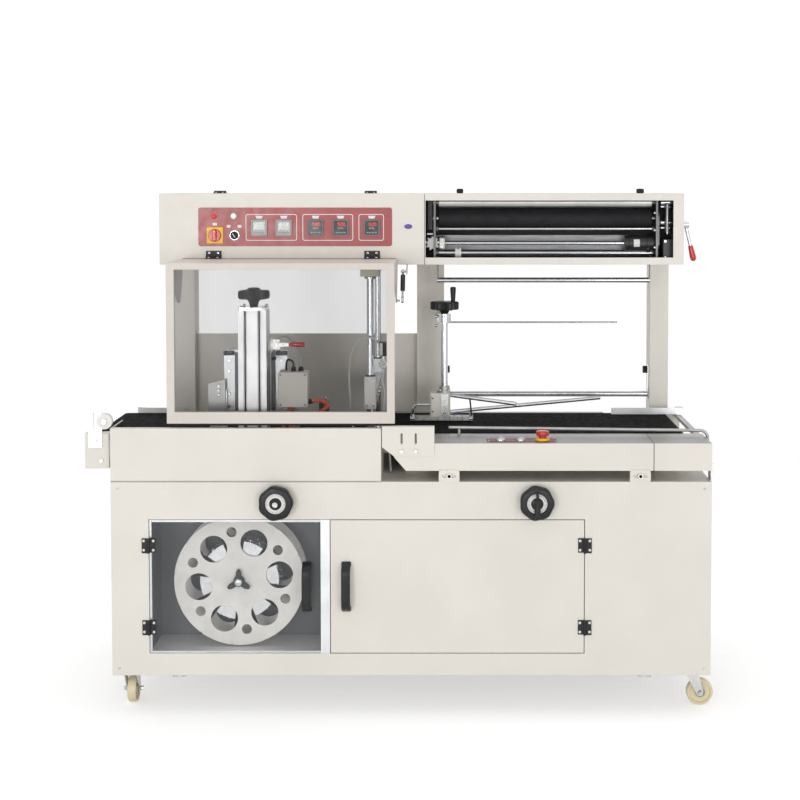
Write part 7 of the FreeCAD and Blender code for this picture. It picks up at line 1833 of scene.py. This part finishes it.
def dress_plain_nodes() -> None:
    """Gives the CAD nodes whose solids are right their finishes, with painted shade on some inner faces and
    in the column's slots.
    """
    # The cabinet's inner faces take near black as painted shade.
    skin("base_cabinet", CREAM, Region((-900, -10, 60), (900, 760, 109.9), ZINC),
         Region((-395, -7, 580), (-355, -0.5, 625), BLACK), Region((330, -7, 580), (370, -0.5, 625), BLACK),
         Region((-836, 4, 114), (836, 736, 654), PAINTED_SHADE_INSIDE))
    skin("reel_compartment", BAY_GREY, Region((-740, 0, 165), (-250, 168, 176), BAY_FLOOR),
         Region((-540, 45, 330), (-440, 169, 392), TURNED),
         Region((-540, 172.5, 310), (-440, 380, 410), BLACK_PAINT))
    skin("door_mullion", ALUMINIUM)
    # The housing's inner faces take near black as painted shade.
    skin("station_housing", CREAM, Region((-912, 16, 745), (-850, 39.5, 861), ZINC),
         Region((-898, 30, 758), (-880, 36, 772), ZINC), Region((-884, 34, 700), (-864, 39.9, 720), ZINC),
         Region((-837, 3.5, 659), (-87, 146, 800), PAINTED_SHADE_INSIDE))
    skin("rear_frame", CREAM)
    skin("control_box", CREAM)
    # The roller box's inner faces take dark grey as painted shade.
    skin("roller_box", CREAM, Region((35, 273, 1253.2), (799, 668, 1459), PAINTED_SHADE_BOX_INSIDE),
         Region((59, 290, 1253), (67, 425, 1460), DARK_STEEL_AND_SLOT_SHADE),
         Region((721, 290, 1253), (729, 425, 1460), DARK_STEEL_AND_SLOT_SHADE),
         Region((120, 270, 1462.2), (700, 305, 1480), SOFT_BLACK))
    # The frames' inner faces under the belts take near black as painted shade.
    skin("conveyor_frames", STAINLESS, Region((-90, 150, 655), (840, 560, 765.9), CREAM),
         Region((-36, 163.5, 729), (746, 531.5, 765.9), PAINTED_SHADE_INSIDE))
    skin("conveyor_belts", BELTING)
    skin("infeed_covers", CREAM, Region((-50, -1, 765), (842, 158, 767), STAINLESS),
         Region((211, 19, 765.9), (410, 77, 768), STRIP_RED),
         Region((236, 30, 767.6), (323, 65, 775), CHROME),
         Region((348, 26, 767.6), (392, 70, 776), YELLOW), Region((839, 15, 600), (860, 65, 705), ZINC))
    skin("mounting_plates", CREAM, Region((-34, -10, 738), (20, -4.1, 752), ZINC),
         Region((97, -11, 667), (115, -5.1, 683), ZINC), Region((631, -11, 667), (649, -5.1, 683), ZINC))
    skin("guide_rails", STAINLESS, Region((838, 108, 715), (860, 130, 738), SOFT_BLACK),
         Region((610, 485, 760), (842, 525, 795), ALUMINIUM_X),
         Region((-885, 530, 760), (-725, 550, 790), WHITE))
    skin("jaw_frame", CHROME, Region((-94, 100, 990), (-70, 140, 1040), BLACK),
         Region((-150, 90, 1225), (-90, 575, 1248), PALE))
    # The column's slot recesses take dark steel as painted shade.
    skin("seal_column", PROFILE, Region((-492, 66, 1131), (-410, 148, 1141), CHROME),
         Region((-476.2, 67.4, 650), (-465.8, 76.4, 1132), DARK_STEEL_AND_SLOT_SHADE),
         Region((-436.2, 67.4, 650), (-425.8, 76.4, 1132), DARK_STEEL_AND_SLOT_SHADE),
         Region((-420.4, 81.8, 650), (-411.4, 132.2, 1132), DARK_STEEL_AND_SLOT_SHADE),
         Region((-490.6, 81.8, 650), (-481.6, 132.2, 1132), DARK_STEEL_AND_SLOT_SHADE),
         Region((-411, 90, 1010), (-377, 120, 1050), ZINC), Region((-590, 138, 650), (-533, 148, 900), ZINC),
         Region((-715, 240, 1220), (-691, 316, 1252), CREAM),
         Region((-38, 240, 1220), (-16, 316, 1252), CREAM))
    skin("film_rods", CHROME, Region((23, 410, 1040), (110, 561, 1102), CREAM),
         Region((93.9, 578, 885), (109, 603, 912), BLACK), Region((724, 577, 885), (738.9, 601, 912), BLACK))
    skin("hinge_leaves", BLACK)
    skin("hood_frame", BEIGE, Region((-680, 11, 810), (-49, 25, 820.2), SOFT_BLACK),
         Region((-616, 246, 1268.8), (-566, 271, 1280), BLACK),
         Region((-147, 246, 1268.8), (-97, 271, 1280), BLACK))
    skin("hood_window", HOOD_PANE)
    skin("window_door", PANE)
    skin("steel_door", CREAM)
    skin("folding_crank", BLACK)
    skin("nip_lever", CHROME, Region((820, 300, 1200), (870, 360, 1310), RED))
    skin("dancer", CHROME)
    skin("guide_roller", TURNED)
    skin("upper_jaw", ALUMINIUM_X, Region((-137, 103, 838), (-103, 137, 940), WHITE))
    skin("seal_carriage", ALUMINIUM, Region((-520, 163.5, 790), (-380, 210, 860), DARK_STEEL_AND_SLOT_SHADE))
    skin("former_head", CHROME, Region((46, 359, 782), (109, 401, 856), CREAM),
         Region((60, 350, 856), (122, 408, 880), CAST), Region((-14, 360, 770), (182, 400, 782.9), ZINC),
         away=Region((109.5, 300, 784), (600, 500, 870)))
    skin("control_lid", CREAM, Region((-600, 290, 1462.1), (-550, 320, 1476), BLACK),
         Region((-152, 290, 1462.1), (-102, 320, 1476), BLACK))
    skin("infeed_end_roller", TURNED)
    skin("outfeed_end_roller", TURNED)
    skin("trim_pulley", WHITE)
    for end in CORNERS:
        skin("caster_fork_" + end, ZINC)
        skin("caster_wheel_" + end, NYLON)


def main() -> None:
    """Builds the stage and every sub-assembly in order."""
    logging.basicConfig(level=logging.INFO, format="%(name)s %(message)s")
    Stage().build()
    dress_plain_nodes()
    ControlPanel().build()
    Handwheel("left_handwheel", "left_wheel", "outfeed_handwheel", -375).build()
    Handwheel("right_handwheel", "right_wheel", "infeed_handwheel", 350, screw=False).build()
    ScrapWinder().build()
    FilmRollers().build()
    SealStation().build()
    JawFittings().build()
    FormerHead().build()
    Doors().build()
    HoodFittings().build()
    Controls().build()
    Seams().build()
    Casters().build()


if __name__ == "__main__":
    main()
